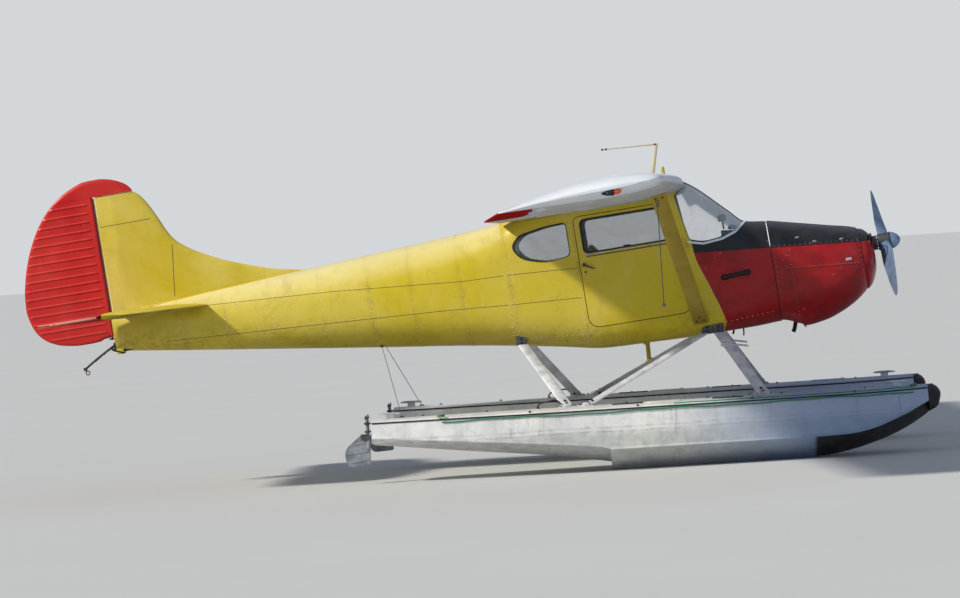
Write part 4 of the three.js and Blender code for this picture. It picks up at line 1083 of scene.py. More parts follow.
@dataclass(frozen=True)
class Metal(Finish):
    """Plain or painted metal fittings, struts, blades and tubes, rubbed at random and grimed."""

    colour: Colour = METAL
    dark: Colour = SILVER_DIRTY
    metallic: float = 0.7
    roughness: float = 0.36
    grain: Point = (4.0, 4.0, 4.0)
    pitted: float = 0.0004
    rust: float = 0.0

    def make(self, nodes: Nodes) -> bpy.types.Material:
        """Wires the material."""
        n = nodes
        patch = n.noise(9, 5, 0.64, n.outer, 0.4)
        brushed = n.noise(1.0, 4, 0.6, n.scaled(*self.grain, n.outer))
        colour = n.mix(n.ramp(patch, 0.4, 0.72, 0.0, 0.85), self.colour, self.dark)
        colour = n.mix(n.ramp(brushed, 0.5, 0.75, 0.0, 0.45), colour, self.dark)
        fleck = n.ramp(n.noise(140, 3, 0.65, n.outer), 0.62, 0.7, 0.0, 0.55)
        colour = n.mix(fleck, colour, rgb(52, 50, 48))
        metallic: object = self.metallic
        if self.rust:
            spots = n.sum("MULTIPLY", n.ramp(n.noise(26, 6, 0.7, n.outer), 0.52, 0.62), self.rust)
            colour = n.mix(spots, colour, n.mix(n.ramp(patch, 0.4, 0.6), rgb(96, 52, 28), rgb(142, 84, 44)))
            metallic = n.sum("MULTIPLY", n.sum("SUBTRACT", 1.0, spots), self.metallic)
        rough = n.ramp(patch, 0.3, 0.7, self.roughness, min(1.0, self.roughness + 0.2))
        relief = n.bump(n.noise(170, 3, 0.6, n.outer), self.pitted, n.bump(brushed, self.pitted))
        return n.done(colour, rough, relief, metallic=metallic)


@dataclass(frozen=True)
class Rubber(Finish):
    """Black rubber or gasket: dusty, chalked where it is rubbed."""

    colour: Colour = rgb(18, 18, 20)
    dust: Colour = rgb(86, 88, 94)
    roughness: float = 0.62

    def make(self, nodes: Nodes) -> bpy.types.Material:
        """Wires the material."""
        n = nodes
        patch = n.noise(14, 5, 0.62, n.outer, 0.3)
        top = n.ramp(n.facing("Z"), 0.1, 0.9, 0.0, 0.5)
        colour = n.mix(n.ramp(patch, 0.45, 0.75, 0.0, 0.5), self.colour, self.dust)
        colour = n.mix(n.sum("MULTIPLY", top, n.ramp(patch, 0.3, 0.6)), colour, self.dust)
        rough = n.ramp(patch, 0.3, 0.7, self.roughness, self.roughness + 0.2)
        relief = n.bump(n.noise(220, 3, 0.65, n.outer), 0.0006, n.bump(patch, 0.0015))
        return n.done(colour, rough, relief)


@dataclass(frozen=True)
class Glazing(Finish):
    """Clear acrylic window, faintly tinted, scuffed and dusty at random; it turns opaque towards grazing
    angles, a painted reflection in its own colour.
    """

    tint_and_reflection: Colour = rgb(104, 116, 124)
    clear: float = 0.2

    def make(self, nodes: Nodes) -> bpy.types.Material:
        """Wires the material."""
        n = nodes
        dust = n.noise(7, 5, 0.65, n.level, 0.4)
        scuff = n.noise(1.0, 4, 0.6, n.scaled(9, 9, 70))
        haze = n.sum("ADD", n.ramp(dust, 0.5, 0.85, 0.0, 0.07), n.ramp(scuff, 0.64, 0.78, 0.0, 0.05))
        # Painted reflection: the pane grows opaque towards grazing angles and shows its colour as a sheen.
        fresnel = n.new("ShaderNodeFresnel")
        fresnel.inputs["IOR"].default_value = 1.45
        glint = n.sum("MULTIPLY", fresnel.outputs[0], 0.5)
        n.link(n.sum("ADD", n.sum("ADD", haze, self.clear), glint, clamp=True), n.shader.inputs["Alpha"])
        colour = n.mix(n.ramp(dust, 0.4, 0.8), self.tint_and_reflection, rgb(190, 196, 194))
        relief = n.bump(n.noise(5, 2, 0.5, n.level), 0.0012)
        return n.done(colour, n.ramp(dust, 0.3, 0.8, 0.04, 0.14), relief, IOR=1.5, Specular_IOR_Level=0.6)


@dataclass(frozen=True)
class Fabric(Finish):
    """Woven or twisted cloth: threads in two directions, faded and rubbed."""

    colour: Colour = rgb(92, 36, 34)
    pale: Colour = rgb(138, 74, 66)
    threads: float = 420.0
    roughness: float = 0.85

    def make(self, nodes: Nodes) -> bpy.types.Material:
        """Wires the material."""
        n = nodes
        patch = n.noise(6, 4, 0.6, n.outer, 0.3)
        fuzz = n.noise(260, 3, 0.7, n.outer)
        weave = []
        for direction in ((0.7, 0.7, 0.15), (0.15, 0.3, 1.0)):
            wave = n.new("ShaderNodeTexWave", wave_type="BANDS", bands_direction="DIAGONAL")
            n.link(n.scaled(*direction, n.outer), wave.inputs["Vector"])
            wave.inputs["Scale"].default_value = self.threads / 6.28
            wave.inputs["Distortion"].default_value = 0.6
            weave.append(wave.outputs["Fac"])
        cloth = n.sum("MAXIMUM", weave[0], weave[1])
        colour = n.mix(n.ramp(patch, 0.35, 0.7), self.colour, self.pale)
        colour = n.mix(n.ramp(cloth, 0.2, 0.7, 0.4, 0.0), colour, n.mix(0.6, self.colour, rgb(10, 8, 8)))
        colour = n.mix(n.ramp(fuzz, 0.55, 0.75, 0.0, 0.3), colour, self.pale)
        relief = n.bump(fuzz, 0.0006, n.bump(cloth, 0.0008))
        return n.done(colour, n.ramp(patch, 0.3, 0.7, self.roughness - 0.1, self.roughness), relief,
                      Sheen_Weight=0.3)


@dataclass(frozen=True)
class RopeFibre(Finish):
    """Laid cordage: the twist is in the strands' form, the fibres are here."""

    colour: Colour = rgb(168, 162, 146)
    dark: Colour = rgb(96, 90, 78)

    def make(self, nodes: Nodes) -> bpy.types.Material:
        """Wires the material."""
        n = nodes
        fibre = n.noise(1.0, 4, 0.7, n.scaled(700, 700, 260, n.outer))
        patch = n.noise(18, 4, 0.6, n.outer)
        colour = n.mix(n.ramp(fibre, 0.35, 0.7), self.dark, self.colour)
        colour = n.mix(n.ramp(patch, 0.45, 0.75, 0.0, 0.6), colour, self.dark)
        return n.done(colour, n.ramp(patch, 0.3, 0.7, 0.78, 0.92), n.bump(fibre, 0.0012), Sheen_Weight=0.2)


@dataclass(frozen=True)
class Dial(Finish):
    """An instrument's face: black, with plain white graduations round it."""

    def make(self, nodes: Nodes) -> bpy.types.Material:
        """Wires the material."""
        n = nodes
        grain = n.noise(300, 2, 0.5, n.level)
        colour = n.mix(n.ramp(grain, 0.4, 0.7), rgb(14, 14, 16), rgb(34, 34, 38))
        return n.done(colour, n.ramp(grain, 0.3, 0.7, 0.25, 0.4), n.bump(grain, 0.0002))


SEAMS_CABIN = (-0.700, -1.645, -2.243)
SEAMS_TAIL = (-2.665, -3.100, -3.469, -3.90, -4.339, -4.75, -5.172)
FUSELAGE_PAINT = WornPaint("fuselage_paint", scheme=Scheme.FUSELAGE, upright_seams=SEAMS_CABIN, grime_and_shade=0.85,
                           dents=0.0014)
# The tail cone's paint has the painted top highlight, besides dirt and the painted underside shade.
TAIL_PAINT = WornPaint("tail_paint", scheme=Scheme.FUSELAGE, upright_seams=SEAMS_TAIL, grime_and_shade=0.95,
                       chips=0.7, top_highlight_and_chalk=0.6)
NOSE_PAINT = WornPaint("nose_paint", scheme=Scheme.FUSELAGE, fading=0.4, grime_and_shade=0.35, chips=0.8, gloss=0.32)
YELLOW_TRIM = WornPaint("yellow_trim_paint", grime_and_shade=0.75, chips=0.7, dents=0.0)
FIN_PAINT = WornPaint("fin_paint", fading=1.0, grime_and_shade=0.55, chips=0.6, dents=0.0016)
# The tailplane's paint is darkened on all but its top faces: painted shade for its undersides and edges.
TAILPLANE_PAINT = WornPaint("tailplane_paint", grime_and_shade=1.0, chips=0.8, gloss=0.6, dents=0.0016,
                           coat=0.0, under=1.0, under_shade_from=0.9, shine=0.1)
# Pale pink for the elevators' tip rims: a painted highlight of their sunlit top edges.
ELEVATOR_EDGE_HIGHLIGHT = WornPaint("elevator_edge_highlight", rgb(206, 120, 100), rgb(226, 176, 152), fading=1.0, chips=1.0,
                          dents=0.0)
# The elevators' paint likewise carries strong painted shade on its undersides.
ELEVATOR_PAINT = WornPaint("elevator_paint", rgb(166, 34, 28), rgb(190, 84, 70), grime_and_shade=1.0, gloss=0.6,
                           dents=0.0, coat=0.0, under=0.95, under_shade_from=0.6, shine=0.1)
RED_TRIM = WornPaint("red_surface_paint", PALE_RED, PALE_RED_FADED, fading=1.0, grime_and_shade=0.75, chips=0.4,
                     dents=0.0)
BLACK_TRIM = WornPaint("black_trim_paint", BLACK, BLACK_FADED, grime_and_shade=0.3, dents=0.0)
WING_SKIN = WingSkin("wing_skin_paint")
# The tips get only a little of the painted underside shade.
TIP_SKIN = WingSkin("wing_tip_paint", under=0.12)
SILVER_TRIM = WornPaint("silver_trim_paint", SILVER, SILVER_FADED, grime_and_shade=0.4, dents=0.0)
FLOAT_SKIN = FloatSkin("float_skin")
STRUT_METAL = Metal("strut_metal", rgb(226, 228, 234), rgb(158, 162, 174), 0.2, 0.42, (2.0, 2.0, 14.0))
BRIGHT_METAL = Metal("bright_metal", rgb(214, 217, 222), rgb(140, 143, 150), 0.7, 0.28, (9.0, 9.0, 9.0))
# Blue-grey for the blades and spinner: a painted sky reflection on bare metal.
SKY_TINTED_PROP_METAL = Metal("sky_tinted_propeller_metal", rgb(128, 156, 190), rgb(84, 104, 132), 0.45, 0.34, (6.0, 40.0, 12.0))
RUDDER_SHEET = Metal("water_rudder_sheet", rgb(152, 158, 166), rgb(92, 97, 105), 0.35, 0.45,
                     (3.0, 3.0, 16.0))
STEEL = Metal("dull_steel", rgb(98, 100, 104), rgb(50, 50, 52), 0.8, 0.46, (8.0, 8.0, 8.0), rust=0.35)
IRON = Metal("oily_iron", rgb(52, 52, 54), rgb(24, 23, 22), 0.6, 0.52, (6.0, 6.0, 6.0), 0.0009, 0.3)
RUST_STEEL = Metal("rusty_steel", rgb(84, 78, 70), rgb(44, 38, 34), 0.6, 0.6, (8.0, 8.0, 8.0), 0.0008, 0.9)
RUBBER = Rubber("bumper_rubber_skin")
GASKET = Rubber("window_gasket", rgb(12, 12, 14), rgb(52, 54, 58), 0.5)
HOSE = Rubber("black_hose", rgb(14, 14, 16), rgb(60, 60, 64), 0.45)
CLEAR = Glazing("cabin_glazing")
# The windshield's pale blue-white shows mostly at grazing angles, as a painted sky reflection.
SCREEN = Glazing("windshield_glazing", rgb(196, 210, 222), 0.07)
LINING = Fabric("cabin_lining", rgb(74, 70, 62), rgb(112, 106, 94), 500.0, 0.9)
SEAT_CLOTH = Fabric("seat_cloth", rgb(82, 30, 30), rgb(124, 58, 52), 380.0, 0.85)
PANEL_FACE = Rubber("panel_crackle", rgb(20, 20, 22), rgb(54, 54, 58), 0.55)
ROPE_FIBRE = RopeFibre("hanging_rope_fibre", rgb(150, 146, 134), rgb(78, 75, 68))
GREEN_ROPE = RopeFibre("green_rope_fibre", rgb(64, 168, 112), rgb(28, 96, 64))
RIVETS = WornPaint("worn_rivets", rgb(188, 170, 96), rgb(234, 224, 186), fading=1.0, chips=1.0, dents=0.0)
RED_RIVETS = WornPaint("worn_cowl_rivets", rgb(150, 84, 80), rgb(184, 150, 140), chips=1.0, dents=0.0)
COWL_GAP = Rubber("cowl_gap", rgb(62, 8, 10), rgb(92, 22, 22))
SEAM_LINE = Rubber("seam_dirt", rgb(92, 80, 26), rgb(128, 114, 48))
# A darker copy of the fuselage yellow for the lift struts and boarding steps: painted shade.
SHADED_STRUT_PAINT = WornPaint("shaded_strut_paint", rgb(166, 140, 14), rgb(184, 158, 44), grime_and_shade=0.9, chips=0.6,
                        dents=0.0)
AILERON_RED = WornPaint("aileron_paint", RED, RED_FADED, fading=0.1, grime_and_shade=0.6, gloss=0.7, dents=0.0,
                        coat=0.0, shine=0.05)
CREAM = WornPaint("cream_paint", rgb(186, 170, 134), rgb(206, 194, 164), dents=0.0)
DIAL = Dial("dial_face")
WHITE_MARK = WornPaint("white_mark_paint", rgb(222, 224, 222), rgb(236, 236, 232), chips=1.0, dents=0.0)
RED_LAMP = WornPaint("lamp_glass", rgb(216, 70, 28), rgb(232, 104, 52), gloss=0.1, grime_and_shade=0.1, dents=0.0)
GREEN_LAMP = WornPaint("green_lamp_glass", rgb(24, 132, 84), rgb(48, 160, 110), gloss=0.1, grime_and_shade=0.1,
                       dents=0.0)


class BodyForm:
    """The fuselage's outer form: smooth sections between the table's rows."""

    TABLE: Rows = (
        (860, 300, 585, 235, 450, 2.2, 2.2),
        (811, 205, 655, 335, 450, 2.3, 2.3), (724, 112, 699, 400, 450, 2.5, 2.6),
        (546, 6, 742, 437, 450, 2.6, 2.8),
        (380, -52, 782, 452, 450, 2.7, 3.0), (213, -74, 822, 463, 450, 2.8, 3.2),
        (0, 0, 872, 476, 460, 2.9, 3.6),
        (-186, -8, 905, 492, 480, 3.0, 4.2), (-300, -10, 1012, 502, 520, 2.9, 4.6),
        (-606, -10, 1297, 522, 640, 3.4, 5.2), (-700, -10, 1352, 530, 700, 7.0, 5.4),
        (-860, -8, 1392, 536, 700, 12, 5.4), (-1130, 0, 1410, 540, 700, 12, 5.2),
        (-1500, 12, 1390, 540, 700, 12, 5.0),
        (-1900, 82, 1322, 528, 700, 10, 4.2), (-2266, 148, 1228, 505, 690, 4.4, 3.4),
        (-2700, 218, 1188, 462, 700, 2.9, 2.9), (-3460, 326, 1137, 375, 740, 2.35, 2.5),
        (-4339, 455, 1080, 268, 790, 2.2, 2.3), (-5172, 578, 1030, 160, 830, 2.1, 2.2),
        (-5762, 668, 996, 74, 850, 2.1, 2.1),
    )

    POINTS_ROUND = 152

    def __init__(self) -> None:
        """Prepares the smooth curve through the table's rows."""
        rows = self.TABLE[::-1]
        self.knots = [row[0] for row in rows]
        self.curve = Curve(self.knots, [row[1:] for row in rows])

    def quarter(self, size: tuple[float, float], power: float, count: int) -> np.ndarray:
        """Returns a quarter of a section, from its side to its top, spaced by length and by turning."""
        t = np.linspace(0, math.pi / 2, 900)
        c, s = np.cos(t), np.sin(t)
        c[-1] = 0.0
        line = np.stack([size[0] * c ** (2 / power), size[1] * s ** (2 / power)], axis=1)
        return resampled(line, count + 1, 0.35)

    def section(self, row: Sequence[float], grow: float = 0.0, x: float = 0.0) -> np.ndarray:
        """Draws one closed section.

        Args:
            row: bottom, top, half width, height of the widest point, squareness above and below.
            grow: how much larger than the outer form it is.
            x: where it stands.

        Returns:
            The ring's points, from the left side over the top and round.
        """
        bottom, top, half, widest, above, below = row
        n = self.POINTS_ROUND // 4
        up = self.quarter((half + grow, top - widest + grow), above, n)
        down = self.quarter((half + grow, widest - bottom + grow), below, n)
        y = np.concatenate([up[:-1, 0], -up[::-1][:-1, 0], -down[:-1, 0], down[::-1][:-1, 0]])
        z = np.concatenate([up[:-1, 1], up[::-1][:-1, 1], -down[:-1, 1], -down[::-1][:-1, 1]]) + widest
        return np.column_stack([np.full(len(y), x), y, z])

    def ring(self, x: float, grow: float = 0.0) -> np.ndarray:
        """Returns the section at x."""
        return self.section(self.curve(float(np.clip(x, self.knots[0], self.knots[-1]))), grow, x)

    def skin(self, front: float, rear: float, grow: float = 0.0, step: float = 34.0) -> Shape:
        """Returns the closed form between two stations."""
        inside = [x for x in self.knots if rear < x < front]
        stations = spaced([rear, *inside, front], step)
        return Shape().loft([self.ring(x, grow) for x in stations])

    def surface(self, x: float, z: float, side: int = -1, grow: float = 0.0) -> np.ndarray:
        """Returns the point of the side at a station and height."""
        bottom, top, half, widest, above, below = self.curve(x)
        power, tall = (above, top - widest) if z >= widest else (below, widest - bottom)
        share = min(1.0, abs(z - widest) / (tall + grow))
        return np.array([x, side * (half + grow) * (1 - share ** power) ** (1 / power), z])

    def normal(self, x: float, z: float, side: int = -1) -> np.ndarray:
        """Returns the outward normal of the side at a station and height."""
        dx = self.surface(x + 4, z, side) - self.surface(x - 4, z, side)
        dz = self.surface(x, z + 3, side) - self.surface(x, z - 3, side)
        n = np.cross(dx, dz) * -side
        n = n if n[1] * side > 0 else -n
        return n / np.linalg.norm(n)

    def on_side(self, outline: np.ndarray, side: int = -1,
                grow: float = 0.0) -> tuple[np.ndarray, np.ndarray]:
        """Lays points of a side view on the skin.

        Args:
            outline: rows of x, z.
            side: -1 for the right side, 1 for the left.
            grow: how far off the skin.

        Returns:
            The points and the skin's normals there.
        """
        points = np.array([self.surface(x, z, side, grow) for x, z in outline])
        return points, np.array([self.normal(x, z, side) for x, z in outline])

    def round_ring(self, x: float, grow: float = 0.0,
                   low: float = -9999.0) -> tuple[np.ndarray, np.ndarray]:
        """Returns a whole section and its outward normals, left out below a height."""
        ring = self.ring(x, grow)
        ahead = self.ring(min(x + 6, self.knots[-1]), grow)
        behind = self.ring(max(x - 6, self.knots[0]), grow)
        around = np.roll(ring, -1, axis=0) - np.roll(ring, 1, axis=0)
        normals = np.cross(ahead - behind, around)
        centre = ring.mean(axis=0)
        flip = np.sign(((ring - centre) * normals).sum(axis=1))
        normals *= np.where(flip == 0, 1, flip)[:, None]
        normals /= np.linalg.norm(normals, axis=1)[:, None]
        keep = ring[:, 2] > low
        return ring[keep], normals[keep]


BODY = BodyForm()


def side_rivets(line: np.ndarray, side: int, radius: float, high: float, tag: int = 0) -> Shape:
    """Makes rivet heads at points of the side view, on one side of the fuselage."""
    return rivet_heads(*BODY.on_side(line, side), radius, high, tag)


def side_strip(line: np.ndarray, side: int, width: float, high: float, tag: int = 0,
               closed: bool = False) -> Shape:
    """Lays a strip along a line of the side view, on one side of the fuselage."""
    return ribbon(*BODY.on_side(line, side), width, high, tag, closed)


@dataclass
class Cabin(SubAssembly):
    """The cabin's shell with its openings, windows, doors and what is fixed to its skin."""

    rear: float = -2266.0
    wall: float = 15.0
    bulkhead: float = 16.0
    door_gap: float = 6.0
    strip: float = 16.0
    roof_rows: tuple[float, ...] = (-720, -860, -1130, -1500, -1900)
    door: Rows = ((-1632, 205, 110), (-738, 205, 110), (-800, 1172, 30), (-1632, 1172, 60))
    door_window: Rows = ((-1575, 850, 40), (-818, 850, 45), (-858, 1136, 30), (-1575, 1136, 50))
    quarter_window: Rows = ((-1696, 848, 50), (-1930, 826, 90), (-2120, 890, 60), (-2190, 1000, 55),
                            (-2110, 1090, 50), (-1880, 1128, 60), (-1696, 1136, 40))
    windshield: Rows = ((-676, 822, 30), (-560, 786, 55), (-400, 800, 80), (-270, 842, 40), (-176, 918, 10),
                        (-120, 1100, 10), (-560, 1440, 10), (-618, 1312, 4), (-748, 1214, 20))
    hinge: Point = (-728.0, -546.0, 8.0)
    hinge_heights: tuple[float, float] = (400.0, 780.0)

    def build(self) -> None:
        """Builds every piece of the cabin."""
        self.build_shell()
        for name, side in SIDES.items():
            self.build_door(name, side)
            self.build_glass(name, side)

    def cut(self, outline: np.ndarray, side: int, y0: float = 300.0, tag: int = 2) -> Shape:
        """Returns a cutter through one side wall."""
        return Shape().prism(outline, *sorted((side * y0, side * 900.0)), tag)

    def openings(self) -> dict[str, np.ndarray]:
        """Returns the outlines of the door and the windows."""
        return {"door": rounded(self.door), "window": rounded(self.door_window),
                "quarter": rounded(self.quarter_window), "screen": rounded(self.windshield)}

    def build_shell(self) -> None:
        """Builds the walls, roof and floor with their openings, seams, gaskets and rivets."""
        shell = self.blank("cabin_skin", BODY.skin(0, self.rear),
                           [FUSELAGE_PAINT, LINING, YELLOW_TRIM, RIVETS, SEAM_LINE, IRON])
        room = BODY.skin(-12, self.rear + self.bulkhead, -self.wall)
        room.tags = [1] * len(room.tags)
        cuts: list[tuple[str, Shape]] = [("DIFFERENCE", room)]
        outlines = self.openings()
        for side in SIDES.values():
            cuts.append(("DIFFERENCE", self.cut(outlines["door"], side)))
            cuts.append(("DIFFERENCE", self.cut(outlines["quarter"], side)))
            cuts.append(("DIFFERENCE", self.cut(outlines["screen"], side, self.strip, 0)))
        carve(shell, cuts, Place.LEVEL)
        more = Shape()
        for side in SIDES.values():
            more.join(self.shell_hinges().sided(side))
            more.join(self.side_details(side))
        more.join(self.belly_details())
        append(shell, more, Place.LEVEL)
        self.finish_piece(shell, "airframe", ["cabin_shell"])
        self.build_gaskets(outlines)

    def shell_hinges(self) -> Shape:
        """Returns the fixed knuckles and leaves of the right door's two hinges."""
        x, y, r = self.hinge
        out = Shape()
        for z in self.hinge_heights:
            for off in (-31.4, 31.4):
                low, high = z + off - 13, z + off + 13
                out.lathe([(r, 0), (r, high - low)], (x, y, low), (0, 0, 1), 20, 2)
                out.block((x + 3, y - 1, low + 1), (x + 40, y + 22, high - 1), 2)
                out.join(rivet_heads((x + 28, y - 1, (low + high) / 2), (0, -1, 0), 4, 1.6, 2))
        return out

    def side_details(self, side: int) -> Shape:
        """Returns the rivet rows, laps and the drip line of one side of the cabin."""
        out = Shape()
        rows = [
            [(-1652, 60), (-1652, 740)], [(-1665, 80), (-1665, 720)], [(-1664, 850), (-1664, 1120)],
            [(-2256, 200), (-2256, 1150)], [(-2240, 180), (-2240, 800)], [(-710, 60), (-710, 370)],
            [(-706, 440), (-706, 740)],
            [(-1658, 747), (-2262, 783)], [(-1658, 492), (-2262, 526)], [(-1650, 160), (-2240, 214)],
            [(-60, 100), (-700, 64)],
        ]
        for row in rows:
            line = along_line(np.array(row, float), 46, 8)
            line = line[[self.clear_of_openings(p) for p in line]]
            if len(line):
                out.join(side_rivets(line, side, 5.2, 1.8, 3))
        for a, b in (((-1652, 736), (-2262, 772)), ((-1652, 481), (-2262, 515))):
            out.join(side_strip(along_line(np.array([a, b], float), 30), side, 4.5, 1.2, 4))
        door = resampled(inset(rounded(self.door), -16), 118, closed=True)
        heads = door[(door[:, 0] < -760) & (door[:, 1] > 250)]
        out.join(side_rivets(heads, side, 3.4, 1.1))
        edge = rounded(self.quarter_window)
        heads = resampled(inset(edge, -36), 46, closed=True)
        heads = heads[(heads[:, 0] > -2250) & (heads[:, 0] < -1650)]
        out.join(side_rivets(heads, side, 4.6, 1.5, 3))
        gutter = along_line(np.array([(-2040, 1196), (-1500, 1214), (-790, 1222)], float), 30)
        return out.join(side_strip(gutter, side, 12, 7, 2))

    def clear_of_openings(self, point: np.ndarray) -> bool:
        """Tells whether a point of the side view is well outside the door and the windows."""
        x, z = point
        in_door = -1655 < x < -715 and 195 < z < 1190
        in_quarter = -2215 < x < -1680 and 805 < z < 1150
        return not (in_door or in_quarter)

    def belly_details(self) -> Shape:
        """Returns the drain tube, the breather and the roof's rivet rows."""
        out = Shape()
        out.tube([(-337, -200, 0), (-339, -200, -40), (-346, -202, -70)], 6.5, 14, 5)
        out.tube([(-420, 120, -2), (-424, 122, -30), (-434, 122, -52)], 9, 14, 5)
        for x in self.roof_rows:
            ring, normals = BODY.round_ring(x)
            top = ring[:, 2] > BODY.curve(x)[1] - 60
            keep = np.flatnonzero(top & (np.abs(ring[:, 1]) < 405))
            keep = keep[::2]
            out.join(rivet_heads(ring[keep], normals[keep], 4, 1.2))
        return out.lathe([(15, -2), (15, 96), (9, 104), (0, 104)], (-807, 150, BODY.curve(-807.0)[1]),
                         (0, 0, 1), 18, 2)

    def build_gaskets(self, outlines: dict[str, np.ndarray]) -> None:
        """Builds the black rubber round the quarter windows and the screen's frame strips."""
        for name, side in SIDES.items():
            edge = resampled(inset(outlines["quarter"], -1), 110, closed=True)
            strip = side_strip(edge, side, 7, 3.0, 0, True)
            self.piece(f"quarter_window_gasket_{name}", strip, [GASKET], "airframe", slot="panel_black")
            self.build_screen_frame(name, side)

    def build_screen_frame(self, name: str, side: int) -> None:
        """Builds the light metal band along the foot of the windshield and its lower rivets."""
        foot = np.array([(-690, 806), (-560, 772), (-400, 786), (-280, 826), (-200, 888), (-178, 903)],
                        float)
        line = resampled(foot, 46)
        points, normals = self.on_top_or_side(line, side)
        out = ribbon(points, normals, 26, 3.0)
        out.join(rivet_heads(points[2:-2:3] + normals[2:-2:3] * 2.4, normals[2:-2:3], 3.4, 1.4))
        post = np.array([(-702, 812), (-726, 1000), (-762, 1206)], float)
        rail, outward = BODY.on_side(resampled(post, 18), side)
        out.join(ribbon(rail, outward, 22, 2.6, 1))
        self.piece(f"windshield_frame_{name}", out, [SILVER_TRIM, YELLOW_TRIM], "airframe",
                   slot="strut_alloy")

    def on_top_or_side(self, line: np.ndarray, side: int) -> tuple[np.ndarray, np.ndarray]:
        """Lays a line of the side view on the nose deck, where it may run over the top."""
        points = []
        for x, z in line:
            top = BODY.curve(float(x))[1]
            points.append(BODY.surface(float(x), min(float(z), top - 0.5), side))
        p = np.array(points)
        centre = np.array([[q[0] - 40, 0, 500.0] for q in p])
        out = p - centre
        return p, out / np.linalg.norm(out, axis=1)[:, None]

    def build_glass(self, name: str, side: int) -> None:
        """Builds one side's door window, quarter window and half of the windshield."""
        outlines = self.openings()
        jobs = (("door_window", "window", f"door_{name}", 300.0, CLEAR),
                ("quarter_window", "quarter", "airframe", 300.0, CLEAR),
                ("windshield", "screen", "airframe", self.strip + 0.5, SCREEN))
        for node, outline, body, y0, finish in jobs:
            pane = self.blank(f"{node}_pane_{name}", BODY.skin(0, self.rear, -8.0), [finish])
            inner = BODY.skin(1, self.rear - 1, -12.0)
            carve(pane, [("DIFFERENCE", inner),
                         ("INTERSECT", self.cut(inset(outlines[outline], 0.5), side, y0, 0))], Place.LEVEL)
            self.finish_piece(pane, body, [f"{node}_{name}"])

    def build_door(self, name: str, side: int) -> None:
        """Builds one door with its hinges, handle, gasket, sliding rail and lining."""
        outlines = self.openings()
        body = f"door_{name}"
        panel = self.blank(f"door_panel_{name}", BODY.skin(-500, -1900),
                           [FUSELAGE_PAINT, LINING, YELLOW_TRIM])
        room = BODY.skin(-480, -1920, -self.wall)
        room.tags = [1] * len(room.tags)
        carve(panel, [("DIFFERENCE", room),
                      ("INTERSECT", self.cut(inset(outlines["door"], self.door_gap), side)),
                      ("DIFFERENCE", self.cut(outlines["window"], side))], Place.LEVEL)
        more = self.door_hinges().sided(side)
        bead = resampled(inset(outlines["door"], 30), 130, closed=True)
        heads = bead[(bead[:, 1] < 800)]
        more.join(side_rivets(heads, side, 3.2, 1.0))
        append(panel, more, Place.LEVEL)
        self.finish_piece(panel, body, [f"door_{name}"])
        self.build_door_trim(name, side, outlines["window"])

    def door_hinges(self) -> Shape:
        """Returns the swinging knuckles and straps of the right door's two hinges."""
        x, y, r = self.hinge
        out = Shape()
        for z in self.hinge_heights:
            edge = -738 - 62 * (z - 205) / 967
            out.lathe([(r, 0), (r, 36)], (x, y, z - 18), (0, 0, 1), 20, 2)
            out.block((edge - 40, y - 1, z - 17), (x - 3, y + 7, z + 17), 2)
            out.block((edge - 40, y, z - 17), (edge - 12, y + 22, z + 17), 2)
            pair = np.array([[edge - 28, y - 1, z - 9], [edge - 28, y - 1, z + 9]])
            out.join(rivet_heads(pair, (0, -1, 0), 4, 1.6, 2))
        return out

    def build_door_trim(self, name: str, side: int, window: np.ndarray) -> None:
        """Builds a door's gasket, the sliding window's rails and the outside handle."""
        body = f"door_{name}"
        edge = resampled(inset(window, 0), 120, closed=True)
        out = side_strip(edge, side, 13, 4.0, 0, True)
        lower = along_line(np.array([(-1560, 832), (-832, 832)], float), 25)
        out.join(side_strip(lower, side, 9, 9.0, 1))
        lower[:, 1] = 818
        out.join(side_strip(lower, side, 7, 6.0, 0))
        latch = along_line(np.array([(-1236, 858), (-1196, 858)], float), 10)
        points, normals = BODY.on_side(latch, side, -7.5)
        out.join(ribbon(points, normals, 16, 12.0, 0))
        self.piece(f"door_window_frame_{name}", out, [GASKET, BRIGHT_METAL], body, slot="panel_black")
        start, end = np.array([-1593.0, 752.0]), np.array([-1506.0, 706.0])
        points, normals = BODY.on_side(np.linspace(start, end, 14), side)
        lift = np.sin(np.linspace(0, math.pi, 14)) * 10 + 14
        grip = Shape().tube(points + normals * lift[:, None],
                            np.interp(np.arange(14), [0, 4, 13], [8.5, 8.0, 5.0]), 14)
        seat_at, seat_out = BODY.on_side(np.array([start]), side)
        grip.lathe([(17, -2), (17, 3), (12, 9), (9, 18), (0, 18)], tuple(seat_at[0]), tuple(seat_out[0]),
                   24)
        lock_at, lock_out = BODY.on_side(np.array([(-1588.0, 690.0)]), side)
        grip.lathe([(10, -2), (10, 2.5), (7, 4), (0, 4)], tuple(lock_at[0]), tuple(lock_out[0]), 20)
        self.piece(f"door_handle_{name}", grip, [STEEL], body, slot="strut_alloy")


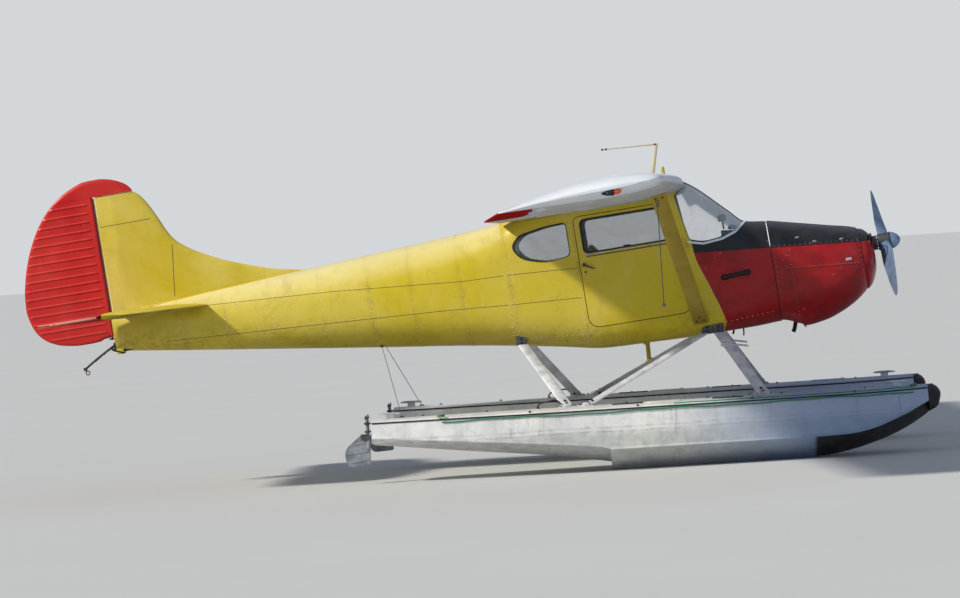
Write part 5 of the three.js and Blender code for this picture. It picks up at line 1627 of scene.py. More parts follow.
@dataclass
class TailCone(SubAssembly):
    """The rear fuselage: a riveted monocoque with lap seams, from the cabin to the tail post."""

    front: float = -2266.5
    rear: float = -5762.0
    wall: float = 9.0
    frames: tuple[float, ...] = (-2665, -3100, -3469, -3900, -4339, -4750, -5172)
    rivet_step: float = 44.0

    def build(self) -> None:
        """Builds the cone and the small pieces on it."""
        cone = self.blank("tail_cone_skin", BODY.skin(self.front, self.rear, 0, 38),
                          [TAIL_PAINT, STEEL, RIVETS, SEAM_LINE])
        inside = BODY.skin(self.front + 3, self.rear + 300, -self.wall, 60)
        bore = Shape().tube([(-5640, -200, 975), (-5640, 200, 975)], 23.2, 28, 1)
        carve(cone, [("DIFFERENCE", inside), ("DIFFERENCE", bore)], Place.LEVEL)
        append(cone, self.seams(), Place.LEVEL)
        self.finish_piece(cone, "airframe", ["tail_cone"])
        self.build_post()

    def seams(self) -> Shape:
        """Returns the frames' rivet rings and the long laps with their rivets."""
        out = Shape()
        for x in (self.front - 16, *self.frames, -5560):
            ring, normals = BODY.round_ring(float(x))
            line = resampled(np.hstack([ring, normals]), max(12, int(self.girth(ring) / self.rivet_step)),
                             closed=True)
            high = line[:, 2] > BODY.curve(float(x))[3] + 60
            out.join(rivet_heads(line[high, :3], line[high, 3:], 3.6, 1.3, 0))
            low = line[~high]
            low[::2, 0] += 7
            low[1::2, 0] -= 7
            out.join(rivet_heads(low[:, :3], low[:, 3:], 6.0, 1.8, 2))
        for x in self.frames:
            ring, normals = BODY.round_ring(float(x) - 18)
            out.join(ribbon(ring, normals, 3, 0.9, 0, True))
        for lap in (((-2290, 784), (-2625, 790), (-3795, 887), (-5500, 975)),
                    ((-2290, 528), (-2836, 567), (-3841, 619), (-5300, 690))):
            line = along_line(np.array(lap, float), self.rivet_step)
            for side in SIDES.values():
                out.join(side_rivets(line, side, 5.0, 1.7, 2))
                low = line - np.array([0, 11])
                out.join(side_strip(low, side, 4.5, 1.1, 3))
        return out

    def girth(self, ring: np.ndarray) -> float:
        """Returns a ring's length."""
        return float(np.linalg.norm(np.roll(ring, -1, axis=0) - ring, axis=1).sum())

    def build_post(self) -> None:
        """Builds the rudder's lower lug with its bolt and post, and the ends of the rudder's cables."""
        lug = Shape().block((-5812, -16, 771), (-5748, 16, 785), 0, 3)
        lug.block((-5768, -30, 700), (-5758, 30, 960), 0, 3)
        lug.join(bolt((-5812, 0, 778), (-1, 0, 0), 6, 5))
        for side in (-1, 1):
            lug.tube([(-5700, side * 60, 905), (-5752, side * 66, 902), (-5800, side * 58, 898)], 4.0, 10)
        made = self.blank("rudder_lug", lug, [STEEL])
        self.finish_piece(made, "airframe", slot="steel")


@dataclass
class Nose(SubAssembly):
    """The engine bay: cowls, nose bowl with its air inlets, firewall and engine."""

    wall: float = 10.0
    bowl_rear: float = 770.0
    front: float = 874.0
    split: Rows = ((-40, 643), (782, 568))
    inlet: tuple[float, float, float, float] = (215.0, 535.0, 200.0, 150.0)
    shaft_hole: float = 86.0
    latches: Rows = ((235, 690), (376, 634), (607, 618))
    side_latch: tuple[float, float] = (640, 440)
    cylinders: tuple[float, ...] = (250, 400, 550)
    nose_row: tuple[float, ...] = (285, 602, 330, 450, 2.5, 2.3)
    rounding: Rows = ((770, 1.0), (790, 0.996), (811, 0.985), (830, 0.96), (845, 0.93), (858, 0.88),
                      (866, 0.84), (874, 0.72))

    def build(self) -> None:
        """Builds every piece of the nose."""
        self.build_bowl()
        self.build_cowls()
        self.build_hardware()
        self.build_engine()

    def bowl_ring(self, x: float, size: float, grow: float = 0.0) -> np.ndarray:
        """Returns a section of the bowl, drawn in by its rounding."""
        base = np.array(BODY.curve(self.bowl_rear))
        f = max(0.0, x - self.bowl_rear) / (self.front - self.bowl_rear)
        row = base + (np.array(self.nose_row) - base) * f * f
        middle = 475.0
        pull = 0.5 + size / 2
        row[0] = middle + (row[0] - middle) * pull
        row[1] = middle + (row[1] - middle) * pull
        row[2] = row[2] * pull
        return BODY.section(row, grow, x)

    def build_bowl(self) -> None:
        """Builds the bowl with its round lip, inlets and shaft opening."""
        sizes = Curve([row[0] for row in self.rounding], [row[1] for row in self.rounding])
        stations = np.concatenate([np.linspace(self.bowl_rear, 845, 9), np.linspace(850, self.front, 9)])
        rings = [self.bowl_ring(x, float(sizes(float(x))[0])) for x in stations]
        bowl = self.blank("nose_bowl_skin", Shape().loft(rings), [NOSE_PAINT, PANEL_FACE])
        hollow = Shape().loft([self.bowl_ring(x, 1.0, -26) for x in (self.bowl_rear - 4, 800.0, 850.0)], 1)
        y, z, width, height = self.inlet
        turn = np.linspace(0, 2 * np.pi, 48, endpoint=False)
        cuts = [("DIFFERENCE", hollow)]
        hole = np.stack([self.shaft_hole * np.cos(turn), z + self.shaft_hole * np.sin(turn)], axis=1)
        cuts.append(("DIFFERENCE", Shape().prism(hole, 700, 920, 1, "yz")))
        for side in (-1, 1):
            mouth = np.stack([side * y + width / 2 * np.cos(turn), z + height / 2 * np.sin(turn)], axis=1)
            cuts.append(("DIFFERENCE", Shape().prism(mouth, 700, 920, 1, "yz")))
        carve(bowl, cuts, Place.LEVEL)
        lips = Shape()
        for side in (-1, 1):
            path = np.stack([np.full(49, 868.0),
                             side * y + (width / 2 + 3) * np.cos(np.linspace(0, 2 * np.pi, 49)),
                             z + (height / 2 + 3) * np.sin(np.linspace(0, 2 * np.pi, 49))], axis=1)
            shelf = np.clip((np.abs(path[:, 1]) - 190) / 125, 0, 1) ** 2 * 26
            path[:, 0] -= shelf
            lips.tube(path, 6.5, 10)
        ring = np.stack([np.full(49, 871.0), 88 * np.cos(np.linspace(0, 2 * np.pi, 49)),
                         z + 88 * np.sin(np.linspace(0, 2 * np.pi, 49))], axis=1)
        lips.tube(ring, 5.0, 10)
        append(bowl, lips, Place.LEVEL)
        self.finish_piece(bowl, "airframe", ["nose_bowl"], crease=40)

    def build_cowls(self) -> None:
        """Builds the black top and the red under cowl, split along one line."""
        (x0, z0), (x1, z1) = self.split
        over = np.array([(x0, z0), (x1, z1), (x1, 1100), (x0, 1100)], float)
        under = np.array([(x0, z0 - 1.6), (x0, -300), (x1, -300), (x1, z1 - 1.6)], float)
        for node, area, name in (("cowl_upper", over, "upper_cowl"), ("cowl_lower", under, "under_cowl")):
            shell = self.blank(name, BODY.skin(self.bowl_rear - 2.5, 1.5, 0, 26),
                               [NOSE_PAINT, PANEL_FACE, RED_RIVETS])
            inner = BODY.skin(self.bowl_rear + 20, -40, -self.wall, 40)
            inner.tags = [1] * len(inner.tags)
            carve(shell, [("DIFFERENCE", inner), ("INTERSECT", Shape().prism(area, -700, 700, 0))],
                  Place.LEVEL)
            if node == "cowl_lower":
                carve(shell, [("DIFFERENCE", Shape().block((-50, -230, -140), (190, 230, 40), 1, 20))],
                      Place.LEVEL)
            append(shell, self.upper_details() if node == "cowl_upper" else self.lower_details(),
                   Place.LEVEL)
            self.finish_piece(shell, "airframe", [node])

    def upper_details(self) -> Shape:
        """Returns the top cowl's rivets and the hinge bead along its middle."""
        out = Shape()
        for x in (18, 752):
            ring, normals = BODY.round_ring(float(x), 0.0, 655)
            line = along_line(np.hstack([ring, normals]), 52, 30)
            out.join(rivet_heads(line[:, :3], line[:, 3:], 4, 1.4))
        for side in (-1, 1):
            line = along_line(np.array([(30, 652), (740, 588)], float), 44)
            out.join(side_rivets(line, side, 4.6, 1.6, 2))
        top = spaced([10.0, 760.0], 30)
        line = np.array([[x, 0.0, BODY.curve(float(x))[1]] for x in top])
        return out.join(ribbon(line, (0, 0, 1.0), 14, 5))

    def lower_details(self) -> Shape:
        """Returns the under cowl's rivets, seam beads, the outlet's lip and the drain stubs."""
        out = Shape()
        for x in (18, 150, 752):
            ring, normals = BODY.round_ring(float(x))
            low = ring[:, 2] < 620
            order = np.argsort(np.arctan2(ring[low, 1], -(ring[low, 2] - 400)))
            line = along_line(np.hstack([ring[low][order], normals[low][order]]), 42, 20)
            line = line[(np.abs(line[:, 1]) > 245) | (line[:, 0] > 200)]
            out.join(rivet_heads(line[:, :3], line[:, 3:], 4.6, 1.6, 2))
        for side in (-1, 1):
            hinge = along_line(np.array([(30, 452), (742, 396)], float), 26)
            out.join(side_rivets(hinge, side, 4.4, 1.6, 2))
            bead = along_line(np.array([(30, 444), (742, 388)], float), 30)
            out.join(side_strip(bead, side, 6, 3.2))
            seam = along_line(np.array([(140, 20), (128, 420)], float), 30)
            out.join(side_strip(seam, side, 5, 1.6))
        lip = [(188, -226, -66), (196, -120, -80), (197, 0, -83), (196, 120, -80), (188, 226, -66)]
        out.tube(resampled(np.array(lip, float), 20), 7, 10)
        for y in (-60, 74):
            out.tube([(120, y, -20), (100, y, -84), (84, y, -112)], 16, 20, 1)
        return out

    def build_hardware(self) -> None:
        """Builds the cowl's latches, the side vents, and the white strip and dark gap at the firewall."""
        for name, side in SIDES.items():
            latches = Shape()
            for x, z in self.latches:
                latches.join(self.latch(x, z, side))
            latches.join(self.latch(*self.side_latch, side, 1.5))
            self.piece(f"cowl_latches_{name}", latches, [BRIGHT_METAL], "airframe", slot="strut_alloy")
            slot_line = resampled(np.array([(-458, 454), (-202, 470)], float), 20)
            points, normals = BODY.on_side(slot_line, side)
            vent = Shape().tube(points + normals * 3, np.interp(np.arange(20), [0, 2, 5, 14, 17, 19],
                                                                [24, 44, 33, 33, 44, 24]), 20, 0, 0.62)
            vent.join(ribbon(points, normals, 96, 2.0, 1))
            self.piece(f"side_vent_{name}", vent, [GASKET, NOSE_PAINT], "airframe", slot="panel_black")
            strip = Shape()
            line = along_line(np.array([(-3, 655), (-3, 868)], float), 16)
            strip.join(side_strip(line, side, 8, 2.0))
            low = along_line(np.array([(-3, 90), (-3, 640)], float), 16)
            strip.join(side_strip(low, side, 6, 1.4, 1))
            self.piece(f"firewall_seam_{name}", strip, [WHITE_MARK, COWL_GAP], "airframe",
                       slot="strut_alloy")

    def latch(self, x: float, z: float, side: int, size: float = 1.0) -> Shape:
        """Returns one over-centre latch: a plate, a turning cam and its slotted head."""
        (p,), (n,) = BODY.on_side(np.array([(x, z)], float), side)
        along = np.cross(n, [0, 0, 1.0])
        along /= np.linalg.norm(along)
        up = np.cross(along, n)
        out = Shape()
        for width, tall, low, high in ((34, 15, -1, 3.0), (22, 9, 3.0, 8.0)):
            o = rounded([(-width / 2, -tall / 2, 4), (width / 2, -tall / 2, 4), (width / 2, tall / 2, 4),
                         (-width / 2, tall / 2, 4)], 4) * size
            rings = [p + along * o[:, :1] + up * o[:, 1:] + n * h for h in (low, high)]
            out.loft(rings)
        return out.join(Shape().lathe([(4, 7), (4, 10.5), (2.6, 11.5), (0, 11.5)], tuple(p), tuple(n), 14))

    def build_engine(self) -> None:
        """Builds the firewall with its rivets, and the flat engine behind the inlets."""
        wall = Shape().loft([BODY.ring(x, -24.5) for x in (-11.0, -8.0, -0.6)])
        for z in (200, 360, 520, 680):
            line = np.array([[-0.6, y, z] for y in np.arange(-380, 381, 40.0)])
            wall.join(rivet_heads(line, (1.0, 0, 0), 4, 1.6))
        self.piece("firewall_sheet", wall, [STEEL], "airframe", ["firewall"])
        case = Shape()
        case.lathe([(60, 0), (96, 20), (110, 60), (150, 200), (160, 420), (150, 560), (90, 590), (0, 590)],
                   (695, 0, 470), (-1, 0, 0), 28)
        case.block((110, -150, 365), (640, 150, 545), 0, 24)
        for x in self.cylinders:
            for side in (-1, 1):
                self.cylinder(case, x - 25 * (side > 0), side)
        case.block((0.6, -150, 380), (112, 150, 580), 0, 14)
        for y in (-90, 90):
            case.lathe([(44, 0), (44, 88), (30, 96), (0, 96)], (112, y, 552), (-0.1, 0, 1), 22)
        case.tube([(560, -190, 350), (470, -200, 332), (330, -200, 331), (200, -180, 331)], 20, 16)
        case.tube([(560, 190, 350), (470, 200, 332), (330, 200, 331), (200, 180, 331)], 20, 16)
        self.piece("flat_six_engine", case, [IRON], "airframe", ["engine_block"])

    def cylinder(self, case: Shape, x: float, side: int) -> None:
        """Adds one finned cylinder with its rocker cover and spark plugs."""
        profile = [(62, 0)]
        for k in range(9):
            at = 20 + k * 14.5
            profile += [(58, at), (84, at + 1), (84, at + 4.5), (58, at + 5.5)]
        profile += [(66, 152), (74, 160), (74, 188), (60, 196), (0, 196)]
        case.lathe(profile, (x, side * 148, 455), (0, side, 0), 26)
        case.block((x - 46, side * 262 if side > 0 else -338, 500),
                   (x + 46, 338 if side > 0 else -262, 545), 0, 10)


@dataclass
class Propeller(SubAssembly):
    """The two-bladed propeller, its hub, bolts and the small spinner."""

    centre: Point = (980.0, 0.0, 535.0)
    turn: float = -63.0
    spinner_rear: float = 1028.6
    hub: tuple[float, float] = (74.0, 48.0)
    blade: Rows = ((60, 96, 66, 62), (110, 104, 58, 57), (170, 118, 46, 50), (330, 150, 30, 38),
                   (560, 156, 20, 27),
                   (780, 132, 13, 21), (900, 100, 9, 18), (940, 78, 7, 17.4), (958, 58, 6, 17.1),
                   (965, 40, 5, 17))

    def turned(self, points: np.ndarray) -> np.ndarray:
        """Turns points about the shaft to where the blades stand."""
        a = math.radians(self.turn)
        c, s = math.cos(a), math.sin(a)
        p = np.asarray(points, float)
        return np.stack([p[:, 0] + self.centre[0], p[:, 1] * c - p[:, 2] * s,
                         p[:, 1] * s + p[:, 2] * c + self.centre[2]], axis=1)

    def build(self) -> None:
        """Builds the blades with their hub, and the spinner."""
        curve = Curve([row[0] for row in self.blade], [row[1:] for row in self.blade])
        radii = spaced([row[0] for row in self.blade], 16)
        rings = [self.blade_ring(float(r), *curve(float(r))) for r in radii]
        blade = Shape().loft(rings)
        both = Shape().join(blade)
        both.join(blade.moved(lambda p: p * np.array([1, -1, -1])))
        radius, half = self.hub
        both.lathe([(40, -half - 6), (radius - 4, -half), (radius, -half + 5), (radius, half - 6),
                    (radius - 7, half), (0, half)], (0, 0, 0), (1, 0, 0), 56, 1)
        both.lathe([(52, -279), (52, -150), (62, -146), (62, -60), (0, -60)], (0, 0, 0), (1, 0, 0), 40, 1)
        for k in range(6):
            a = math.radians(60 * k + 30)
            both.join(bolt((-half - 2, 58 * math.cos(a), 58 * math.sin(a)), (-1, 0, 0), 8, 6, 1))
        self.piece("propeller_blades", both.moved(self.turned), [SKY_TINTED_PROP_METAL, STEEL], "propeller",
                   ["propeller"])
        profile = Curve([0, 18, 45, 70, 86, 92], [74, 72, 62, 44, 22, 3])
        dome = [(70, 0.0), (74, 1.0)] + [(float(profile(h)[0]), h) for h in np.linspace(3, 92, 26)]
        nose = Shape().lathe(dome, (self.spinner_rear, 0, self.centre[2]), (1, 0, 0), 56)
        nose.lathe([(76, 0), (76, 8), (74, 9)], (self.spinner_rear, 0, self.centre[2]), (1, 0, 0), 56, 1)
        for k in range(8):
            a = math.radians(45 * k)
            spot = (1033.5, 75.6 * math.cos(a), 535 + 75.6 * math.sin(a))
            nose.join(rivet_heads(spot, (0, math.cos(a), math.sin(a)), 3.5, 1.5, 1))
        self.piece("propeller_spinner", nose, [SKY_TINTED_PROP_METAL, STEEL], "propeller", ["spinner"])

    def blade_ring(self, radius: float, chord: float, thick: float, pitch: float) -> np.ndarray:
        """Returns a blade section: flat behind and cambered ahead, rounder towards the hub."""
        root = min(1.0, max(0.0, (radius - 90) / 200))
        t = np.linspace(0, 2 * np.pi, 44, endpoint=False)
        u, v = np.cos(t) * chord / 2, np.sin(t) * thick / 2
        share = 0.5 - u / chord
        camber = 1.0 - 0.35 * root * (share - 0.35) * 2
        v = v * camber * np.where(v < 0, 1 - 0.45 * root, 1.0)
        a = math.radians(pitch)
        x, y = u * math.sin(a) + v * math.cos(a), u * math.cos(a) - v * math.sin(a)
        return np.column_stack([x, y, np.full(len(t), radius)])


class WingForm:
    """The wing's sections: one aerofoil, placed and scaled along the span."""

    AEROFOIL: Rows = (
        (0, 0, 0), (0.0125, 0.021, -0.0165), (0.05, 0.0413, -0.0301), (0.1, 0.0563, -0.0371),
        (0.2, 0.0726, -0.0423), (0.3, 0.0788, -0.0412), (0.4, 0.078, -0.038), (0.5, 0.0724, -0.0334),
        (0.6, 0.0636, -0.0276), (0.7, 0.0518, -0.0214), (0.8, 0.0375, -0.015), (0.9, 0.0208, -0.0082),
        (1, 0.0035, -0.0035),
    )
    STATIONS: Rows = ((420, -640, 1626, 1), (2540, -640, 1626, 1), (5230, -752, 1235, 1),
                      (5360, -777, 1150, 0.86), (5440, -827, 1010, 0.62), (5486, -942, 760, 0.24))
    LEADING_Z = 1295.0
    INCIDENCE = math.radians(2.4)
    SKIN_POINTS = 30

    def __init__(self) -> None:
        """Prepares the aerofoil's smooth upper and lower skins."""
        share = [math.sqrt(row[0]) for row in self.AEROFOIL]
        self.upper = Curve(share, [row[1] for row in self.AEROFOIL])
        self.lower = Curve(share, [row[2] for row in self.AEROFOIL])

    def station(self, y: float) -> tuple[float, float, float]:
        """Returns the leading edge's x, the chord and the thickness factor at a distance out."""
        table = np.array(self.STATIONS)
        return tuple(float(np.interp(abs(y), table[:, 0], table[:, k])) for k in (1, 2, 3))

    def point(self, y: float, share: float, height: float, lead: float, chord: float) -> np.ndarray:
        """Returns the point at a share of the chord and a height, on the right wing."""
        c, s = math.cos(self.INCIDENCE), math.sin(self.INCIDENCE)
        return np.array([lead - share * chord * c + height * chord * s, -y,
                         self.LEADING_Z - share * chord * s + height * chord * c])

    def skin(self, y: float, share: float, top: bool) -> np.ndarray:
        """Returns the top or bottom skin's point at a share of the chord."""
        lead, chord, thick = self.station(y)
        curve = self.upper if top else self.lower
        return self.point(y, share, float(curve(math.sqrt(share))[0]) * thick, lead, chord)

    def section(self, y: float, lead: float, chord: float, thick: float) -> np.ndarray:
        """Returns the closed section with a given leading edge, chord and thickness factor."""
        share = np.linspace(0, 1, self.SKIN_POINTS) ** 1.6
        up = [self.point(y, f, float(self.upper(math.sqrt(f))[0]) * thick, lead, chord) for f in share]
        down = [self.point(y, f, float(self.lower(math.sqrt(f))[0]) * thick, lead, chord)
                for f in share[:0:-1]]
        return np.array(up + down)

    def ring(self, y: float) -> np.ndarray:
        """Returns the closed section at a distance out."""
        return self.section(y, *self.station(y))

    def trailing(self, y: float) -> tuple[float, float]:
        """Returns the trailing edge's x and z."""
        lead, chord, _ = self.station(y)
        return (lead - chord * math.cos(self.INCIDENCE), self.LEADING_Z - chord * math.sin(self.INCIDENCE))


WING = WingForm()


@dataclass
class Wings(SubAssembly):
    """Both wing panels with their tips, beaded flaps and ailerons, lamps and tank caps."""

    swing_gap: float = 7.0
    flap: tuple[float, float, float] = (640.0, 2480.0, 330.0)
    aileron: tuple[float, float, float, float, float] = (2600.0, 5140.0, 330.0, 262.0, 0.46)
    ribs: tuple[float, ...] = (640, 1010, 1390, 1770, 2150, 2540, 2920, 3300, 3680, 4060, 4440, 4820, 5180)
    bead_step: float = 74.0
    bead_high: float = 4.2
    tank_cap: tuple[float, float] = (1080, 0.3)
    plates: Rows = ((1390, 0.5), (2150, 0.5), (2920, 0.5), (3680, 0.5), (4440, 0.48), (5000, 0.4),
                    (3300, 0.3))

    def build(self) -> None:
        """Builds both wings."""
        for name, side in SIDES.items():
            self.build_panel(name, side)
            self.build_tip(name, side)
            self.build_flap(name, side)
            self.build_aileron(name, side)

    def flap_hinge(self) -> tuple[np.ndarray, np.ndarray]:
        """Returns the cove's top point and the hinge point, x and z."""
        share = 1 - self.flap[2] / WING.station(1500)[1]
        top, bottom = WING.skin(1500, share, True), WING.skin(1500, share, False)
        return top[[0, 2]], bottom[[0, 2]] + np.array([0, 9])

    def aileron_end(self, y: float) -> tuple[np.ndarray, float]:
        """Returns the aileron's hinge point and its nose radius at a distance out."""
        inner, outer, deep, shallow, nose = self.aileron
        ahead = deep + (shallow - deep) * (y - inner) / (outer - inner)
        share = 1 - ahead / WING.station(y)[1]
        top, bottom = WING.skin(y, share, True)[[0, 2]], WING.skin(y, share, False)[[0, 2]]
        return (top + bottom) / 2, nose * float(np.linalg.norm(top - bottom))

    def coves(self) -> list[Shape]:
        """Returns what is cut from the right panel for its flap and aileron."""
        top, hinge = self.flap_hinge()
        tall = float(np.linalg.norm(top - hinge)) - 1 + self.swing_gap
        te_x, te_z = WING.trailing(1500)
        arc = [hinge + tall * heading(a) for a in np.linspace(96, -30, 30)]
        rest = [(hinge[0], hinge[1] - 60), (te_x - 60, hinge[1] - 60), (te_x - 60, te_z + 160),
                (top[0] - 6, te_z + 160)]
        inner, outer, _ = self.flap
        flap = Shape().prism(np.array([*arc, *rest]), -outer - self.swing_gap, -inner + self.swing_gap)
        rings = []
        for y in (self.aileron[0] - self.swing_gap, self.aileron[1] + self.swing_gap):
            at, radius = self.aileron_end(y)
            reach = radius + self.swing_gap
            back, _ = WING.trailing(y)
            pts = [at + reach * heading(a) for a in np.linspace(90, -90, 24)]
            pts += [(at[0] - 2, at[1] - 150), (back - 60, at[1] - 150), (back - 60, at[1] + 150),
                    (at[0] - 2, at[1] + 150)]
            rings.append(np.array([(p[0], -y, p[1]) for p in pts]))
        return [flap, Shape().loft(rings)]

    def build_panel(self, name: str, side: int) -> None:
        """Builds a wing panel with its coves, rib and spar rivets, tank cap and plates."""
        stations = spaced([420, *self.ribs, 5230], 130)
        panel = self.blank(f"wing_panel_{name}", Shape().loft([WING.ring(y) for y in stations]).sided(side),
                           [WING_SKIN, YELLOW_TRIM, GASKET])
        body = BODY.skin(0, -2700, 0.5)
        carve(panel, [("DIFFERENCE", c) for c in (body, *[cove.sided(side) for cove in self.coves()])],
              Place.LEVEL)
        more = Shape()
        for y in self.ribs[1:]:
            more.join(self.rib_rivets(float(y)))
        for share, top in ((0.03, True), (0.26, True), (0.26, False), (0.68, True), (0.68, False)):
            more.join(self.span_rivets(share, top))
        more.join(self.panel_details())
        append(panel, more.sided(side), Place.LEVEL)
        self.finish_piece(panel, "airframe", [f"wing_{name}"])

    def rib_rivets(self, y: float) -> Shape:
        """Returns the rivets of one rib, on both skins of the right wing."""
        spots, normals = [], []
        for top in (True, False):
            end = 0.76 if y < 5200 else 0.97
            for share in np.linspace(0.04, end, 24):
                spots.append(WING.skin(y, float(share), top))
                normals.append(self.skin_normal(y, float(share), top))
        return rivet_heads(np.array(spots), np.array(normals), 4, 1.2)

    def skin_normal(self, y: float, share: float, top: bool) -> np.ndarray:
        """Returns the outward normal of the top or bottom skin."""
        ahead, behind = WING.skin(y, max(share - 0.01, 0.001), top), WING.skin(y, min(share + 0.01, 1), top)
        d = behind - ahead
        n = np.array([-d[2], 0, d[0]]) * (-1 if top else 1)
        return n / np.linalg.norm(n)

    def span_rivets(self, share: float, top: bool) -> Shape:
        """Returns a row of rivets along the span of the right wing."""
        ys = np.arange(560, 5200, 62.0)
        spots = np.array([WING.skin(y, share, top) for y in ys])
        return rivet_heads(spots, np.array([self.skin_normal(y, share, top) for y in ys]), 3.8, 1.2)

    def panel_details(self) -> Shape:
        """Returns the tank cap, the inspection plates and the aileron's hinge brackets of the right wing."""
        out = Shape()
        cap, up = WING.skin(*self.tank_cap, True), np.array([0, 0, 1.0])
        out.lathe([(70, -3), (70, 2.5), (62, 4), (0, 4)], tuple(cap), tuple(up), 40)
        out.lathe([(42, 3), (44, 12), (38, 20), (12, 23), (0, 23)], tuple(cap), tuple(up), 36)
        out.block((cap[0] - 34, cap[1] - 6, cap[2] + 20), (cap[0] + 34, cap[1] + 6, cap[2] + 30), 0, 3)
        for y, share in self.plates:
            p, n = WING.skin(y + 90, share, False), self.skin_normal(y + 90, share, False)
            out.lathe([(62, -2), (62, 1.6), (56, 2.6), (0, 2.6)], tuple(p), tuple(n), 36)
            ring = [p + n * 2.6 + 50 * np.array([math.cos(t), math.sin(t), 0])
                    for t in np.linspace(0, 2 * np.pi, 9)[:-1]]
            out.join(rivet_heads(np.array(ring), n, 3.2, 1.2))
        for k in range(3):
            hinge = self.aileron_end(2900 + 1000 * k)[0]
            at = -(2900.0 + 1000 * k)
            out.block((hinge[0] - 4, at - 5, hinge[1] - 62), (hinge[0] + 90, at + 5, hinge[1] - 26), 0, 4)
        return out

    def build_tip(self, name: str, side: int) -> None:
        """Builds a rounded wing tip with its navigation lamp."""
        ys = np.concatenate([np.linspace(5230.5, 5360, 7), np.linspace(5380, 5470, 7), [5480, 5486]])
        lead = Curve([row[0] for row in WING.STATIONS[2:]], [row[1:] for row in WING.STATIONS[2:]])
        tip = Shape().loft([WING.section(float(y), *lead(float(y))) for y in ys])
        for top in (True, False):
            shares = np.linspace(0.03, 0.97, 30)
            spots = np.array([WING.skin(5250, float(f), top) for f in shares])
            tip.join(rivet_heads(spots, np.array([self.skin_normal(5250, float(f), top) for f in shares]),
                                 4, 1.3))
        self.piece(f"wing_tip_cap_{name}", tip.sided(side), [TIP_SKIN], "airframe", [f"wing_tip_{name}"],
                   crease=50)
        lamp = Shape()
        x, z = -1130.0, 1256.0
        profile = [(3, 0), (15, 8), (21, 24), (22, 44), (16, 60), (0, 62)]
        lamp.lathe(profile, (x + 62, -5456, z), (-1, 0, 0), 24, 0)
        lamp.lathe([(24, 0), (26, 10), (20, 54), (6, 90), (0, 92)], (x + 6, -5456, z), (-1, 0, 0), 24, 1)
        glass = RED_LAMP if side < 0 else GREEN_LAMP
        self.piece(f"navigation_lamp_{name}", lamp.sided(side), [glass, BLACK_TRIM], "airframe",
                   slot="red_paint")

    def bead(self, where: np.ndarray, start: float, end: float) -> np.ndarray:
        """Returns how high the beads stand at places along a surface, none at its two ends."""
        count = max(1, int(round((end - start - 30) / self.bead_step)))
        step = (end - start - 30) / count
        phase = ((where - start - 15) / step) % 1.0
        ridge = np.clip(1 - np.abs(phase - 0.5) / 0.17, 0, 1)
        ridge = ridge * ridge * (3 - 2 * ridge)
        return ridge * ((where > start + 15) & (where < end - 15))

    def build_flap(self, name: str, side: int) -> None:
        """Builds a beaded flap with its pins."""
        inner, outer, _ = self.flap
        top, hinge = self.flap_hinge()
        tall = float(np.linalg.norm(top - hinge)) - 1
        te = np.array(WING.trailing(1500))
        arc = np.array([hinge + tall * heading(a) for a in np.linspace(34, 96, 9)][::-1])
        ys = spaced([inner, outer], 9.0)
        ridge = self.bead(ys, inner, outer)
        start = arc[0]
        upper = np.array([start + (te + (0, 4) - start) * f for f in np.linspace(0, 1, 16)])[::-1]
        lower0 = hinge + np.array([-3, -8])
        lower = np.array([lower0 + (te + (0, -4) - lower0) * f for f in np.linspace(0, 1, 16)])
        nose = np.array([hinge + (5, -5)])
        rings = []
        for y, high in zip(ys, ridge):
            shape_u = np.sin(np.linspace(0, math.pi, 16)) ** 0.35 * high * self.bead_high
            up, down = upper.copy(), lower.copy()
            up[1:-1, 1] += shape_u[1:-1]
            down[1:-1, 1] -= shape_u[1:-1] * 0.8
            o = np.vstack([up, arc[1:], nose, down])
            rings.append(upright(o, -y))
        flap = Shape().loft(rings)
        for y0, y1 in ((inner - 29, inner + 2), (outer - 2, outer + 29)):
            flap.tube([(hinge[0], -y0, hinge[1]), (hinge[0], -y1, hinge[1])], 5, 16, 1)
        self.piece(f"beaded_flap_{name}", flap.sided(side), [WING_SKIN, STEEL], f"flap_{name}",
                   [f"flap_{name}"], crease=50)

    def build_aileron(self, name: str, side: int) -> None:
        """Builds a beaded aileron with its pins."""
        inner, outer = self.aileron[:2]
        ys = spaced([inner, outer], 5.5)
        ridge = self.bead(ys, inner, outer)
        rings = []
        for y, high in zip(ys, ridge):
            at, radius = self.aileron_end(float(y))
            te = np.array(WING.trailing(float(y)))
            nose = np.array([at + radius * heading(a) for a in np.linspace(100, -100, 15)])
            back = np.linspace(0, 1, 14)
            swell = np.sin(back * math.pi) ** 0.35 * high * self.bead_high
            up = nose[0] + (te + (0, 4) - nose[0]) * back[:, None]
            down = nose[-1] + (te + (0, -4) - nose[-1]) * back[:, None]
            up[:, 1] += swell
            down[:, 1] -= swell
            o = np.vstack([nose, down[1:], up[::-1][:-1]])
            rings.append(upright(o, -y))
        blade = Shape().loft(rings)
        for y0, y1 in ((inner, inner + 3), (outer, outer - 3)):
            at, _ = self.aileron_end(y0)
            out = -29 if y1 > y0 else 29
            blade.tube([(at[0], -(y0 + out), at[1]), (at[0], -y1, at[1])], 8, 18, 1)
        self.piece(f"beaded_aileron_{name}", blade.sided(side), [AILERON_RED, STEEL], f"aileron_{name}",
                   [f"aileron_{name}"], crease=50)


def blade_ring(at: Sequence[float], chord: float, thick: float, count: int = 36) -> np.ndarray:
    """Returns a level streamlined section: round ahead and drawn out behind."""
    t = np.linspace(0, 2 * np.pi, count, endpoint=False)
    return np.column_stack([at[0] + chord / 2 * np.cos(t), at[1] + thick / 2 * np.sin(t),
                            np.full(count, at[2])])


